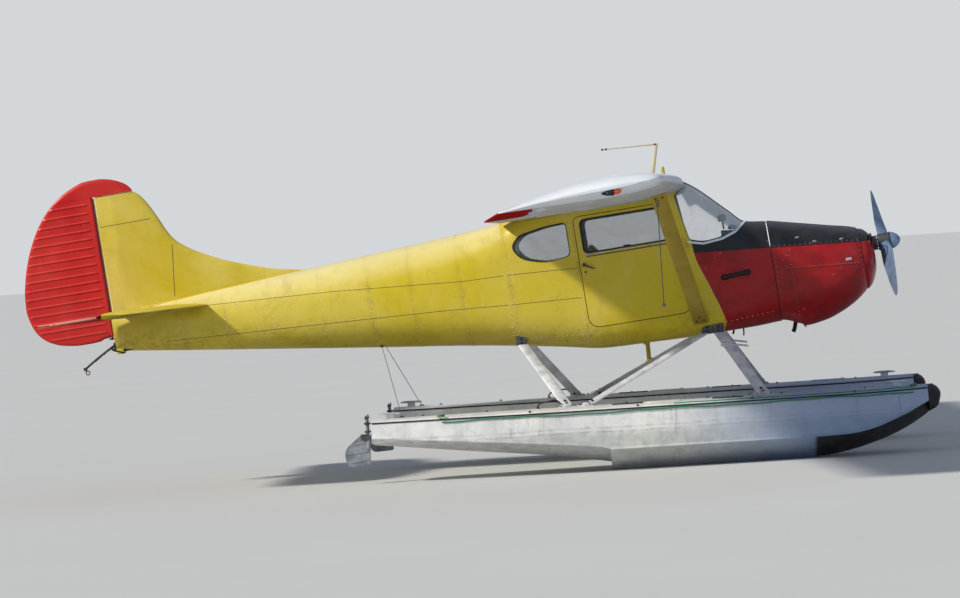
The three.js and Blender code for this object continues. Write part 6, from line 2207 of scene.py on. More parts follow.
def strut_rings(foot: Sequence[float], head: Sequence[float], sizes: Sequence[tuple[float, float]],
                count: int = 36, steps: int = 24) -> list[np.ndarray]:
    """Returns the level sections of a leaning strut.

    Args:
        foot: the middle of its lower end.
        head: the middle of its upper end.
        sizes: chord and thickness at the foot and at the head.
        count: points round it.
        steps: sections along it.

    Returns:
        The rings, from the foot up.
    """
    a, b = np.asarray(foot, float), np.asarray(head, float)
    rings = []
    for f in np.linspace(0, 1, steps):
        chord, thick = (np.interp(f, [0, 1], [sizes[0][k], sizes[1][k]]) for k in (0, 1))
        rings.append(blade_ring(a + (b - a) * f, chord, thick, count))
    return rings


@dataclass
class WingStruts(SubAssembly):
    """The two lift struts with their cuffs, bolts and the tie-down ring."""

    foot: Point = (-683.0, -470.0, 96.0)
    head: Point = (-858.0, -2530.0, 1262.0)
    chord: float = 128.0
    thick: float = 58.0
    ring: tuple[float, float, float, float, float] = (-866.0, -2400.0, 1165.0, 14.0, 4.0)

    def build(self) -> None:
        """Builds both struts."""
        for name, side in SIDES.items():
            self.build_strut(name, side)

    def at(self, share: float) -> np.ndarray:
        """Returns the middle of the strut at a share of its length."""
        return np.array(self.foot) + (np.array(self.head) - np.array(self.foot)) * share

    def build_strut(self, name: str, side: int) -> None:
        """Builds one strut, cut where it meets the fuselage and the wing."""
        size = [(self.chord, self.thick)] * 2
        blade = Shape().loft(strut_rings(self.foot, self.head, size, 44, 40))
        made = self.blank(f"lift_strut_{name}", blade.sided(side), [SHADED_STRUT_PAINT, STEEL, BLACK_TRIM])
        body = BODY.skin(0, -1600, 0.6)
        lower = Shape().loft([WING.ring(y) + np.array([0, 0, -0.6])
                              for y in (2200.0, 2540.0, 2800.0)]).sided(side)
        raised = Shape().loft([WING.ring(y) + np.array([0, 0, 60])
                               for y in (2200.0, 2540.0, 2800.0)]).sided(side)
        carve(made, [("DIFFERENCE", body), ("DIFFERENCE", lower), ("DIFFERENCE", raised)], Place.LEVEL)
        append(made, self.fittings().sided(side), Place.LEVEL)
        self.finish_piece(made, "airframe", [f"wing_strut_{name}"])

    def fittings(self) -> Shape:
        """Returns the right strut's cuffs, bolts and ring."""
        out = Shape()
        lean = self.at(1) - self.at(0)
        lean /= np.linalg.norm(lean)
        for share, grow, length in ((0.045, 5.0, 90.0), (0.955, 5.0, 80.0)):
            mid = self.at(share)
            rings = [blade_ring(mid + lean * s * length / 2, self.chord + g, self.thick + g, 44)
                     for s, g in ((-1, -1.0), (-0.97, grow), (0.97, grow), (1, -1.0))]
            out.loft(rings)
        across = np.cross(lean, [1.0, 0, 0])
        across /= np.linalg.norm(across)
        for share, off in ((0.035, 30), (0.035, -30), (0.06, 0), (0.95, 28), (0.95, -28)):
            for face in (-1, 1):
                spot = self.at(share) + np.array([off, 0, 0]) + across * face * (self.thick / 2 * 0.52 + 2)
                out.join(bolt(spot, across * face, 8, 6, 1))
        x, y, z, radius, wire = self.ring
        turn = np.linspace(0, 2 * np.pi, 33)
        path = np.column_stack([x + radius * np.cos(turn), np.full(33, y), z + radius * np.sin(turn)])
        out.tube(path, wire, 12, 1)
        out.block((x - 10, y - 9, z + 8), (x + 10, y + 9, z + 34), 1, 3)
        return out


class Outline:
    """A surface's outline in side view, and how near its edge a point is."""

    def __init__(self, points: Rows) -> None:
        """Keeps the outline's points as a polyline."""
        self.line = np.asarray(points, float)

    def depth(self, spots: np.ndarray) -> np.ndarray:
        """Returns each spot's distance from the outline."""
        a, b = self.line[:-1], self.line[1:]
        d = b - a
        length = np.maximum((d * d).sum(1), 1e-9)
        rel = spots[:, None, :] - a[None]
        t = np.clip((rel * d[None]).sum(2) / length[None], 0, 1)
        return np.linalg.norm(rel - t[..., None] * d[None], axis=2).min(axis=1)


def plate(rows: np.ndarray, half: np.ndarray) -> Shape:
    """Makes a closed plate from a grid of side-view points and its half thickness at each.

    Args:
        rows: the grid, rows by columns by x and z.
        half: half the thickness at each grid point.

    Returns:
        The plate, standing on the centre line.
    """
    n, m = rows.shape[:2]
    sheet = np.zeros((2, n, m, 3))
    sheet[..., 0], sheet[..., 2] = rows[..., 0], rows[..., 1]
    sheet[0, ..., 1], sheet[1, ..., 1] = -half, half

    def ident(face: int, i: int, j: int) -> int:
        """Returns the number of a point of one face's grid."""
        return face * n * m + i * m + j

    faces: list[tuple[int, ...]] = []
    for i in range(n - 1):
        for j in range(m - 1):
            faces.append((ident(0, i, j), ident(0, i, j + 1), ident(0, i + 1, j + 1), ident(0, i + 1, j)))
            faces.append((ident(1, i, j), ident(1, i + 1, j), ident(1, i + 1, j + 1), ident(1, i, j + 1)))
    edge = [(0, j) for j in range(m)] + [(i, m - 1) for i in range(1, n)]
    edge += [(n - 1, j) for j in range(m - 2, -1, -1)] + [(i, 0) for i in range(n - 2, 0, -1)]
    for (i0, j0), (i1, j1) in zip(edge, edge[1:] + edge[:1]):
        faces.append((ident(0, i1, j1), ident(0, i0, j0), ident(1, i0, j0), ident(1, i1, j1)))
    out = Shape().add(sheet.reshape(-1, 3), faces, 0)
    return out if out.volume() > 0 else out.reversed()


@dataclass
class Tail(SubAssembly):
    """The fin with its long dorsal fillet, the beaded rudder, the tailplane and its beaded elevators."""

    hinge: tuple[float, float] = (-5640.0, 975.0)
    incidence: float = math.radians(-3)
    tail_thick: float = 74.0
    nose: float = 30.0
    stations: Rows = ((35, -4862, 1, -6190), (400, -4935, 1, -6196), (1100, -5110, 0.85, -6200),
                      (1400, -5215, 0.7, -6180), (1510, -5330, 0.5, -6110), (1560, -5450, 0.3, -6000))
    fin_front: Rows = ((-3945, 1052), (-4010, 1094), (-4290, 1158), (-4643, 1277), (-4887, 1391),
                       (-5030, 1480),
                       (-5110, 1552), (-5160, 1630), (-5222, 1764), (-5300, 1912), (-5360, 1990),
                       (-5398, 2018))
    rudder_edge: Rows = ((-5790, 792), (-5845, 790), (-5900, 768), (-6043, 762), (-6228, 786), (-6351, 838),
                         (-6432, 916), (-6478, 1015), (-6500, 1133), (-6494, 1250), (-6466, 1400),
                         (-6418, 1560),
                         (-6357, 1703), (-6278, 1840), (-6184, 1959), (-6073, 2056), (-5948, 2126),
                         (-5809, 2172),
                         (-5700, 2176), (-5600, 2160), (-5515, 2129), (-5440, 2080), (-5408, 2036))
    rudder_hinge: float = -5790.0
    rudder_half: float = 26.0
    bead_step: float = 74.0
    bead_high: float = 7.0

    def build(self) -> None:
        """Builds the whole tail."""
        self.build_fin()
        self.build_rudder()
        for name, side in SIDES.items():
            self.build_stabilizer(name, side)
        self.build_elevator()
        self.build_spring()

    def half_at(self, x: np.ndarray, front: float, thick: float, rear: float, half: float) -> np.ndarray:
        """Returns the half thickness of a vertical surface that is thickest at one x."""
        return np.interp(x, [rear, thick, front], [3, half, 3])

    def build_fin(self) -> None:
        """Builds the fin and fillet, with rivets, hinge hardware, the thin pale strip and the dark lip."""
        front = resampled(self.smooth_line(self.fin_front), 90, 0.3)
        back_z = np.interp(np.linspace(0, 1, 90), [0, 0.42, 1], [930, 1240, 2018])
        columns = 1 - (1 - np.linspace(0, 1, 34)) ** 0.8
        columns = np.concatenate([[0, 0.004, 0.012, 0.024], columns[1:]])
        rear = -5753.0
        rows = np.array([[p + (np.array([rear, z]) - p) * f for f in columns]
                         for p, z in zip(front, back_z)])
        edge = Outline(front)
        depth = edge.depth(rows.reshape(-1, 2)).reshape(rows.shape[:2])
        half = self.half_at(rows[..., 0], -3900, -5600, -5900, 33)
        ease = np.clip(depth / 60, 0, 1)
        half = half * np.sqrt(np.clip(1 - (1 - ease) ** 2, 0.0, 1)) + 0.6
        fin = self.blank("fin_skin", plate(rows, half), [FIN_PAINT, STEEL, BRIGHT_METAL, RIVETS, SEAM_LINE])
        cove = Shape().tube([(self.rudder_hinge, 0, 600), (self.rudder_hinge, 0, 2300)], 36.4, 32, 1)
        bore = Shape().tube([(self.hinge[0], -200, self.hinge[1]), (self.hinge[0], 200, self.hinge[1])],
                            23.4, 28, 1)
        body = BODY.skin(-3500, -5762, -1.5)
        carve(fin, [("DIFFERENCE", body), ("DIFFERENCE", cove), ("DIFFERENCE", bore)], Place.LEVEL)
        lip = Shape().tube([(rear + 14, 0, 2019), (float(front[-1][0]) - 12, 0, float(front[-1][1]) + 1)],
                           6, 10, 1)
        append(fin, self.fin_details().join(lip), Place.LEVEL)
        self.finish_piece(fin, "airframe", ["fin"])

    def smooth_line(self, points: Rows) -> np.ndarray:
        """Returns a smooth dense line through points."""
        p = np.asarray(points, float)
        s = np.concatenate([[0], np.cumsum(np.linalg.norm(np.diff(p, axis=0), axis=1))])
        return Curve(s, p)(np.linspace(0, s[-1], 260))

    def fin_details(self) -> Shape:
        """Returns the fin's rivet rows, the fillet's flange and the pale strip at its rear."""
        out = Shape()
        rows = [((-5700, 1060), (-5700, 2000)), ((-5240, 1400), (-5700, 1400)),
                ((-5290, 1746), (-5720, 1741)),
                ((-5122, 1490), (-5170, 1080)), ((-5146, 1500), (-5196, 1070)),
                ((-4350, 1120), (-5100, 1100))]
        for side in (-1, 1):
            for a, b in rows:
                line = along_line(np.array([a, b], float), 46)
                y = self.half_at(line[:, 0], -3900, -5600, -5900, 33) + 0.5
                spots = np.column_stack([line[:, 0], side * y, line[:, 1]])
                out.join(rivet_heads(spots, (0, side, 0), 4.6, 1.5, 3))
            for a, b in (((-5286, 1761), (-5738, 1755)), ((-5134, 1505), (-5183, 1060))):
                line = along_line(np.array([a, b], float), 40)
                y = self.half_at(line[:, 0], -3900, -5600, -5900, 33) + 0.7
                spots = np.column_stack([line[:, 0], side * y, line[:, 1]])
                out.join(ribbon(spots, (0, side, 0), 5, 1.2, 4))
            flange = []
            for x in np.linspace(-4010, -5560, 70):
                top = BODY.curve(float(x))[1]
                y = float(self.half_at(np.array([x]), -3900, -5600, -5900, 33)[0]) + 16
                row = BODY.ring(float(x), 1.0)
                upper = row[(row[:, 2] > top - 120) & (row[:, 1] * side > 0)]
                order = np.argsort(np.abs(upper[:, 1]))
                z = float(np.interp(y, np.abs(upper[order, 1]), upper[order, 2]))
                flange.append((x, side * y, z))
            line = np.array(flange)
            out.join(ribbon(line, (0, side * 0.35, 1.0), 26, 1.4))
            heads = line[2::2] + np.array([0, side * 4, 0.4])
            out.join(rivet_heads(heads, (0, side * 0.35, 1.0), 3.4, 1.4))
            strip = np.array([[-5741.0, side * 18.5, z] for z in np.linspace(1000, 2014, 30)])
            out.join(ribbon(strip, (0, side, 0), 8, 1.2, 3))
            out.block((-5763, min(side * 15.5, side * 18.5), 985),
                      (-5751, max(side * 15.5, side * 18.5), 2012), 1)
        for z in (1180, 1560, 1900):
            out.block((-5756, -9, z - 22), (-5740, 9, z + 22), 1, 3)
        return out

    def beads(self, where: np.ndarray, start: float, end: float) -> np.ndarray:
        """Returns how high the beads stand at places along a surface."""
        count = max(1, int(round((end - start) / self.bead_step)))
        phase = ((where - start) / ((end - start) / count)) % 1.0
        ridge = np.clip(1 - np.abs(phase - 0.5) / 0.2, 0, 1)
        return ridge * ridge * (3 - 2 * ridge) * ((where > start) & (where < end))

    def build_rudder(self) -> None:
        """Builds the rudder: a beaded blade behind its nose tube, with a smooth balance horn."""
        edge = self.smooth_line(self.rudder_edge)
        line = Outline(edge)
        zs = np.concatenate([np.linspace(764, 792, 5)[:-1], spaced([792, 2030], 4.0)])
        share = np.concatenate([np.linspace(0, 0.9, 34), [0.93, 0.955, 0.975, 0.99, 1.0]])
        low = edge[: np.argmax(edge[:, 1]) + 1]
        rows = []
        for z in zs:
            back = self.crossing(low, z)
            rear, ahead = (min(back), self.rudder_hinge if z >= 791 else max(back))
            rows.append([(ahead + (rear - ahead) * f, z) for f in share])
        grid = np.array(rows)
        flat = grid.reshape(-1, 2)
        depth = line.depth(flat).reshape(grid.shape[:2])
        half = self.half_at(grid[..., 0], -5380, self.rudder_hinge, -6520, self.rudder_half)
        ease = np.clip(depth / 30, 0, 1)
        half = (half * 0.9 + 1.5) * np.sqrt(np.clip(1 - (1 - ease) ** 2, 0.02, 1))
        ridge = self.beads(zs, 806, 2006)[:, None]
        fade = np.clip((self.rudder_hinge - 20 - grid[..., 0]) / 18, 0, 1) * np.clip((depth - 8) / 22, 0, 1)
        half = half + ridge * fade * self.bead_high
        blade = plate(grid, half)
        nose = Shape().tube([(self.rudder_hinge, 0, z) for z in np.linspace(792, 2034, 30)],
                            self.rudder_half, 30)
        blade.join(nose)
        blade.join(self.rudder_horn(edge, line))
        blade.tube([(self.rudder_hinge, 0, 767.5), (self.rudder_hinge, 0, 800)], 8, 20, 1)
        for side in (-1, 1):
            blade.block((self.rudder_hinge - 26, side * 20 if side > 0 else -94, 800),
                        (self.rudder_hinge - 6, 94 if side > 0 else -20, 812), 1, 4)
            blade.join(bolt((self.rudder_hinge - 16, side * 84, 812), (0, 0, 1), 6, 5, 1))
        self.piece("beaded_rudder", blade, [RED_TRIM, STEEL], "rudder", ["rudder"], crease=50)

    def crossing(self, edge: np.ndarray, z: float) -> list[float]:
        """Returns where an edge crosses a height."""
        out = []
        for (x0, z0), (x1, z1) in zip(edge[:-1], edge[1:]):
            if (z0 - z) * (z1 - z) <= 0 and z0 != z1:
                out.append(x0 + (x1 - x0) * (z - z0) / (z1 - z0))
        return out or [float(edge[np.argmin(np.abs(edge[:, 1] - z)), 0])]

    def rudder_horn(self, edge: np.ndarray, line: "Outline") -> Shape:
        """Returns the smooth balance area over the top of the fin."""
        rows = []
        for z in np.linspace(2026, 2174.5, 34):
            spots = self.crossing(edge, float(z))
            rear, ahead = min(spots), max(spots)
            if len(spots) < 2:
                ahead = -5408.0
            f = (1 - np.cos(np.linspace(0, np.pi, 40))) / 2
            rows.append(np.column_stack([ahead + (rear - ahead) * f, np.full(40, z)]))
        grid = np.array(rows)
        depth = line.depth(grid.reshape(-1, 2)).reshape(grid.shape[:2])
        ease = np.clip(depth / 36, 0, 1)
        half = self.half_at(grid[..., 0], -5380, self.rudder_hinge, -6520, self.rudder_half)
        floor = np.clip((-5380 - grid[..., 0]) / 60, 0.35, 1)
        return plate(grid, (half * 0.9 + 3 * floor) * np.sqrt(np.clip(1 - (1 - ease) ** 2, 0.02, 1)))

    def tail_z(self, x: np.ndarray) -> np.ndarray:
        """Returns the tailplane's middle height at x."""
        return self.hinge[1] + (x - self.hinge[0]) * math.sin(self.incidence)

    def build_stabilizer(self, name: str, side: int) -> None:
        """Builds one half of the tailplane."""
        table = Curve([row[0] for row in self.stations], [row[1:] for row in self.stations])
        ys = np.concatenate([spaced([35, 400, 1100, 1400], 60), np.linspace(1420, 1556, 12), [1560]])
        profile = Curve([0, 0.35, 0.7, 0.9, 0.98, 1], [0.93, 1, 0.82, 0.5, 0.22, 0])
        share = 1 - (1 - np.linspace(0, 1, 30)) ** 1.7
        rings = []
        for y in ys:
            lead, thick, _ = table(float(y))
            half = self.tail_thick / 2 * thick
            x = self.hinge[0] + share * (lead - self.hinge[0])
            dz = np.array([float(profile(float(f))[0]) for f in share]) * half
            up = np.column_stack([x, np.full(30, -y), self.tail_z(x) + dz])
            down = np.column_stack([x, np.full(30, -y), self.tail_z(x) - dz])[::-1][1:]
            rings.append(np.vstack([up, down]))
        made = self.blank(f"tailplane_{name}", Shape().loft(rings).sided(side), [TAILPLANE_PAINT, STEEL])
        cove = Shape().tube([(self.hinge[0], -20, self.hinge[1]), (self.hinge[0], -1800, self.hinge[1])],
                            self.nose + 7, 36, 1).sided(side)
        carve(made, [("DIFFERENCE", cove), ("DIFFERENCE", BODY.skin(-4000, -5762, 0.5))], Place.LEVEL)
        more = Shape()
        for y in (260, 520, 780, 1040, 1290):
            for top in (1, -1):
                lead = float(table(float(y))[0])
                x = np.arange(self.hinge[0] + 60, lead - 40, 48.0)
                f = (x - self.hinge[0]) / (lead - self.hinge[0])
                high = np.array([float(profile(float(v))[0]) for v in f])
                high = high * self.tail_thick / 2 * table(float(y))[1]
                spots = np.column_stack([x, np.full(len(x), -y), self.tail_z(x) + top * high])
                more.join(rivet_heads(spots, (0, 0, top), 3.6, 1.2))
        append(made, more.sided(side), Place.LEVEL)
        self.finish_piece(made, "airframe", [f"stabilizer_{name}"])

    def build_elevator(self) -> None:
        """Builds both beaded elevators on their tube, cut away for the rudder."""
        table = Curve([row[0] for row in self.stations], [row[1:] for row in self.stations])
        ys = np.concatenate([spaced([150, 1500], 5.5), np.linspace(1506, 1560, 10)])
        ridge = self.beads(ys, 160, 1490)
        rings = []
        hx, hz = self.hinge
        for y, high in zip(ys, ridge):
            _, thick, te = table(float(y))
            radius = self.nose * thick
            nose = np.array([(hx + radius * math.cos(a), hz + radius * math.sin(a))
                             for a in np.radians(np.linspace(95, -95, 15))])
            f = np.linspace(0, 1, 20)
            cut = -5700 - (y - 95) * 600 / 235
            swell = np.sin(f * math.pi) ** 0.3 * high * self.bead_high * thick
            up = nose[0] + (np.array([te, hz + 5]) - nose[0]) * f[:, None]
            down = nose[-1] + (np.array([te, hz - 5]) - nose[-1]) * f[:, None]
            up[:, 1] += swell
            down[:, 1] -= swell
            o = np.vstack([nose, down[1:], up[::-1][:-1]])
            if y < 331:
                o[:, 0] = np.maximum(o[:, 0], max(cut, te))
            rings.append(upright(o, -y))
        half = Shape().loft(rings)
        both = Shape().join(half).join(half.mirrored())
        both.tube([(hx, -160, hz), (hx, 160, hz)], 22, 28, 1)
        # The tip rims take the pale pink painted highlight.
        rim = [(hx - 6, 1550, hz)] + [(float(table(float(y))[2]) + 14, y - 6, hz)
                                      for y in (1556, 1540, 1510, 1480, 1440, 1380)]
        for side in (-1, 1):
            both.tube([(x, side * y, z) for x, y, z in rim], 12, 10, 2)
        self.piece("beaded_elevator", both, [ELEVATOR_PAINT, STEEL, ELEVATOR_EDGE_HIGHLIGHT], "elevator",
                   ["elevator"], crease=50)

    def build_spring(self) -> None:
        """Builds the tail wheel's leaf spring, its clamp, bolts, shackle and ring."""
        top, end = np.array([-5790.0, 740.0]), np.array([-6080.0, 546.0])
        leaf = Shape()
        for k, (length, low) in enumerate(((1.0, 0.0), (0.62, -9.0), (0.34, -17.0))):
            a, b = top + (60, low * 0.4), top + (end - top) * length + (0, low)
            line = np.array([a + (b - a) * f + np.array([0, 9 * math.sin(f * math.pi)])
                             for f in np.linspace(0, 1, 16)])
            rings = [np.array([(x, -19.5 + 1.5 * k, z - 11), (x, 19.5 - 1.5 * k, z - 11),
                               (x, 19.5 - 1.5 * k, z + 8), (x, -19.5 + 1.5 * k, z + 8)]) for x, z in line]
            leaf.loft(rings)
        clamp = rounded([(-5722, 752, 8), (-5778, 744, 14), (-5792, 706, 16), (-5766, 668, 20),
                         (-5702, 650, 20), (-5604, 655, 10), (-5604, 690, 10)], 5)
        leaf.prism(clamp, -35, 35, 1)
        for side in (-1, 1):
            leaf.block((-5762, min(side * 34, side * 41), 634), (-5700, max(side * 34, side * 41), 700), 2,
                       3)
            leaf.tube([(-5816, side * 28, 700), (-5790, side * 38, 674), (-5700, side * 40, 640)], 7, 12, 1)
        for side in (-1, 1):
            for x, z in ((-5748, 728), (-5752, 694), (-5690, 676)):
                leaf.join(bolt((x, side * 35, z), (0, side, 0), 9, 7, 0))
        turn = np.linspace(0, 2 * np.pi, 33)
        ring = np.column_stack([-6052 + 17 * np.cos(turn), np.zeros(33), 516 + 17 * np.sin(turn)])
        leaf.tube(ring, 4.5, 12)
        leaf.tube([(-6066, 0, 557), (-6062, 0, 545), (-6060, 0, 528)], 6.5, 12)
        leaf.block((-6084, -12, 540), (-6052, 12, 566), 0, 5)
        self.piece("tail_leaf_spring", leaf, [RUST_STEEL, IRON, YELLOW_TRIM], "airframe", ["tail_spring"])


@dataclass
class Floats(SubAssembly):
    """The two floats with their keels, rails, hatches, cleats, bumpers and water rudders."""

    offset: float = 1120.0
    step_x: float = 1150.0
    deck: float = 523.0
    crown: float = 20.0
    keel_half: float = 14.0
    bow_x: float = 3811.0
    stern_x: float = -843.0
    forebody: Rows = ((1150, 345, 190, 0, 523), (1900, 345, 190, 0, 523), (2700, 345, 190, 0, 523),
                      (2950, 338, 191, 12, 523), (3150, 322, 198, 44, 523), (3350, 296, 232, 98, 524),
                      (3520, 262, 292, 158, 526), (3680, 212, 356, 236, 528), (3811, 150, 416, 318, 530))
    afterbody: Rows = ((-843, 172, 390, 329, 523), (0, 262, 315, 226, 523), (700, 330, 252, 142, 523),
                       (1156, 338, 202, 66, 523))
    frames: tuple[float, ...] = (-560, -120, 330, 760, 1460, 1900, 2340, 2780, 3200, 3560)
    hatches: tuple[float, ...] = (1620, 3060)
    plugs: tuple[float, ...] = (-420, 120, 560, 1300, 1980, 2200, 2600, 3300)
    cleats: tuple[float, ...] = (3560.0, -690.0)
    treads: tuple[float, ...] = (1180, 2020)

    def build(self) -> None:
        """Builds both floats."""
        for name, side in SIDES.items():
            self.build_hull(name, side)
            self.build_bumper(name, side)
            self.build_water_rudder(name, side)

    def row(self, x: float) -> np.ndarray:
        """Returns half beam, chine, keel and deck heights at a station."""
        table = self.forebody if x >= self.step_x else self.afterbody
        return Curve([r[0] for r in table], [r[1:] for r in table])(float(x))

    def ring(self, x: float, row: Sequence[float]) -> np.ndarray:
        """Returns a hull section: V bottom, sharp chines, slightly flared rail and crowned deck."""
        half, chine, keel, deck = row
        k, edge = self.keel_half, half - 14
        bottom = []
        for f in np.linspace(0, 1, 7):
            y = k + (half - k) * f
            z = keel + (chine - keel) * f - 10 * math.sin(math.pi * f) * min(1.0, (chine - keel) / 100)
            bottom.append((y, z))
        side = [(half, chine + 16)] + [(half + (edge - half) * f, chine + 16 + (deck - chine - 16) * f)
                                       for f in (0.25, 0.5, 0.75, 1.0)]
        top = [(edge * math.cos(a), deck + self.crown * math.sin(a) ** 0.8)
               for a in np.linspace(0, math.pi / 2, 10)[1:]]
        right = bottom + side + top
        left = [(-y, z) for y, z in right[::-1][1:]]
        return np.array([(x, y, z) for y, z in right + left])

    def beside(self, shape: Shape, side: int) -> Shape:
        """Moves a shape from the centre line out to one side's float."""
        return shape.moved(lambda p: p + np.array([0, -self.offset, 0])).sided(side)

    def build_hull(self, name: str, side: int) -> None:
        """Builds a hull and everything fixed to it."""
        hull = Shape()
        for table in (self.forebody, self.afterbody):
            stations = spaced([r[0] for r in table], 55)
            hull.loft([self.ring(x, Curve([r[0] for r in table], [r[1:] for r in table])(float(x)))
                       for x in stations])
        hull.join(self.rails()).join(self.hull_rivets()).join(self.deck_details())
        finishes = [FLOAT_SKIN, BRIGHT_METAL, GASKET, STEEL, WHITE_MARK]
        self.piece(f"float_hull_{name}", self.beside(hull, side), finishes, "airframe", [f"float_{name}"],
                   place=Place.OUTER, crease=24)

    def rails(self) -> Shape:
        """Returns the keel strip, the chine spray rails and the rubbing strips along the deck edges."""
        out = Shape()
        xs = np.array(spaced([self.step_x + 6, 3200, 3790], 60))
        rows = [self.row(float(x)) for x in xs]
        keel = np.array([[x, 0, r[2]] for x, r in zip(xs, rows)])
        out.join(ribbon(keel, (0, 0, -1.0), 30, 3.0, 3, sunk=6).moved(
            lambda p: np.column_stack([p[:, 0], p[:, 1], np.maximum(p[:, 2], 0.0)])))
        for side in (-1, 1):
            chine = np.array([[x, side * (r[0] + 1), r[1] + 5] for x, r in zip(xs, rows) if x < 3700])
            rings = [np.array([(x, y - side * 6, z - 3), (x, y + side * 13, z - 9),
                               (x, y + side * 13, z - 6),
                               (x, y, z + 8), (x, y - side * 6, z + 8)]) for x, y, z in chine]
            out.loft(rings)
            back = np.array(spaced([-836, 1150], 70))
            chine = np.array([[x, side * (self.row(float(x))[0] + 1), self.row(float(x))[1] + 8]
                              for x in back])
            out.join(ribbon(chine, (0, side, 0), 16, 3.0))
            whole = np.array(spaced([-838, 1150, 2700, 3804], 60))
            edge = np.array([[x, side * (self.row(float(x))[0] - 9.5), self.row(float(x))[3] - 6]
                             for x in whole])
            out.join(ribbon(edge, (0, side, 0.03), 13, 4.0, 2, sunk=6))
            cap = edge + np.array([0, -side * 9, 11.0])
            out.join(ribbon(cap, (0, side * 0.5, 1.0), 24, 2.4))
        return out

    def hull_rivets(self) -> Shape:
        """Returns the rivet rows on the sides, bottom and deck."""
        out = Shape()
        for x in self.frames:
            half, chine, keel, deck = self.row(x)
            for side in (-1, 1):
                zs = np.arange(chine + 34, deck - 18, 32.0)
                y = half - 14 * (zs - chine - 16) / (deck - chine - 16)
                spots = np.column_stack([np.full(len(zs), x), side * y, zs])
                out.join(rivet_heads(spots, (0, side, 0.03), 4, 1.4))
                line = spots + np.array([9, 0, 0])
                out.join(ribbon(line, (0, side, 0.03), 4, 1.0))
                f = np.arange(0.12, 0.95, 0.11)
                y, z = self.keel_half + (half - self.keel_half) * f, keel + (chine - keel) * f
                z = z - 10 * np.sin(math.pi * f) * min(1.0, (chine - keel) / 100)
                n = np.array([0, side * (chine - keel), -(half - self.keel_half)])
                spots = np.column_stack([np.full(len(f), x), side * y, z])
                if x < 3400:
                    out.join(rivet_heads(spots, n, 4, 1.2))
                a = np.linspace(0.12, 1.5, 9)
                spots = np.column_stack([np.full(9, x), side * (half - 14) * np.cos(a),
                                         deck + self.crown * np.sin(a) ** 0.8])
                out.join(rivet_heads(spots, (0, 0, 1.0), 4, 1.3))
        for x in np.arange(-800, 3780, 58.0):
            half, chine, _, deck = self.row(float(x))
            for side in (-1, 1):
                for z in (chine + 26, deck - 24):
                    y = half - 14 * (z - chine - 16) / (deck - chine - 16)
                    out.join(rivet_heads((x, side * y, z), (0, side, 0.03), 3.6, 1.3))
        return out

    def deck_details(self) -> Shape:
        """Returns the hatches, pump-out plugs, cleats, walkway treads, transom plate and lugs."""
        out = Shape()
        top = self.deck + self.crown
        for x in self.hatches:
            o = rounded([(x - 150, -110, 40), (x + 150, -110, 40), (x + 150, 110, 40), (x - 150, 110, 40)],
                        8)
            for grow, z0, z1 in ((12, top - 20, top - 2), (0, top - 6, top + 4)):
                out.prism(inset(o, -grow), z0, z1, 0, "xy")
            for y in (-70, 70):
                out.lathe([(11, 0), (11, 5), (7, 8), (0, 8)], (x + 128, y, top + 3), (0, 0, 1), 20, 1)
        for x in self.plugs:
            out.lathe([(22, -8), (22, 4), (17, 7), (12, 7), (11, 3), (0, 3)], (x, 58, top - 4), (0, 0, 1),
                      24, 1)
            out.lathe([(9, 0), (11, 6), (8, 14), (0, 15)], (x, 58, top - 2), (0, 0, 1), 18, 2)
        for x in self.cleats:
            out.block((x - 34, -13, top - 12), (x + 34, 13, top + 34), 1, 5)
            horn = [(x - 95, 0, top + 38), (x - 50, 0, top + 41), (x, 0, top + 41), (x + 50, 0, top + 41),
                    (x + 95, 0, top + 38)]
            out.tube(resampled(np.array(horn), 14), [6, 8, 9, 10, 10, 10, 10, 10, 10, 10, 10, 9, 8, 6], 14,
                     1)
        for x0 in self.treads:
            for k in range(5):
                y = -96 + 48 * k
                out.block((x0, y - 6, top - 6), (x0 + 260, y + 6, top + 3.5 - abs(y) * 0.02), 2, 1.5)
        x = self.stern_x
        out.block((x - 3, -150, 345), (x + 2, 150, 515), 0, 2)
        for z in (438, 506):
            out.block((x - 72, -27, z), (x + 1, 27, z + 14), 3, 5)
            out.lathe([(27, 0), (27, 14)], (x - 46, 0, z), (0, 0, 1), 28, 3)
        out.block((x - 9, -60, 420), (x + 1, 60, 520), 3, 4)
        for y in (-44, 44):
            for z in (434, 470, 506):
                out.join(bolt((x - 9, y, z), (-1, 0, 0), 7, 5, 3))
        return out

    def build_bumper(self, name: str, side: int) -> None:
        """Builds the round black rubber bumper on a bow."""
        half, length = 144.0, 118.0
        profile = rounded([(0.6, 548, 6), (56, 548, 34), (length, 488, 52), (84, 360, 36), (0.6, 322, 6)],
                          9)
        rings = []
        for v in np.linspace(-1, 1, 33):
            wide = math.sqrt(max(0.0, 1 - abs(v) ** 3.2))
            reach = 0.12 + 0.88 * wide
            squeeze = 0.72 + 0.28 * wide
            mid = 440.0
            rings.append(np.array([(self.bow_x + u * reach, v * half, mid + (z - mid) * squeeze)
                                   for u, z in profile]))
        pad = Shape().loft(rings)
        pad.block((self.bow_x + 0.6, -146, 330), (self.bow_x + 14, 146, 540), 0, 6)
        for y in (-110, 0, 110):
            pad.lathe([(13, 0), (13, 2), (9, 4), (0, 4)], (self.bow_x + 40, y, 546 - abs(y) * 0.05),
                      (0, 0, 1), 18, 1)
        self.piece(f"bow_bumper_{name}", self.beside(pad, side), [RUBBER, STEEL], "airframe",
                   [f"float_bumper_{name}"], place=Place.OUTER)

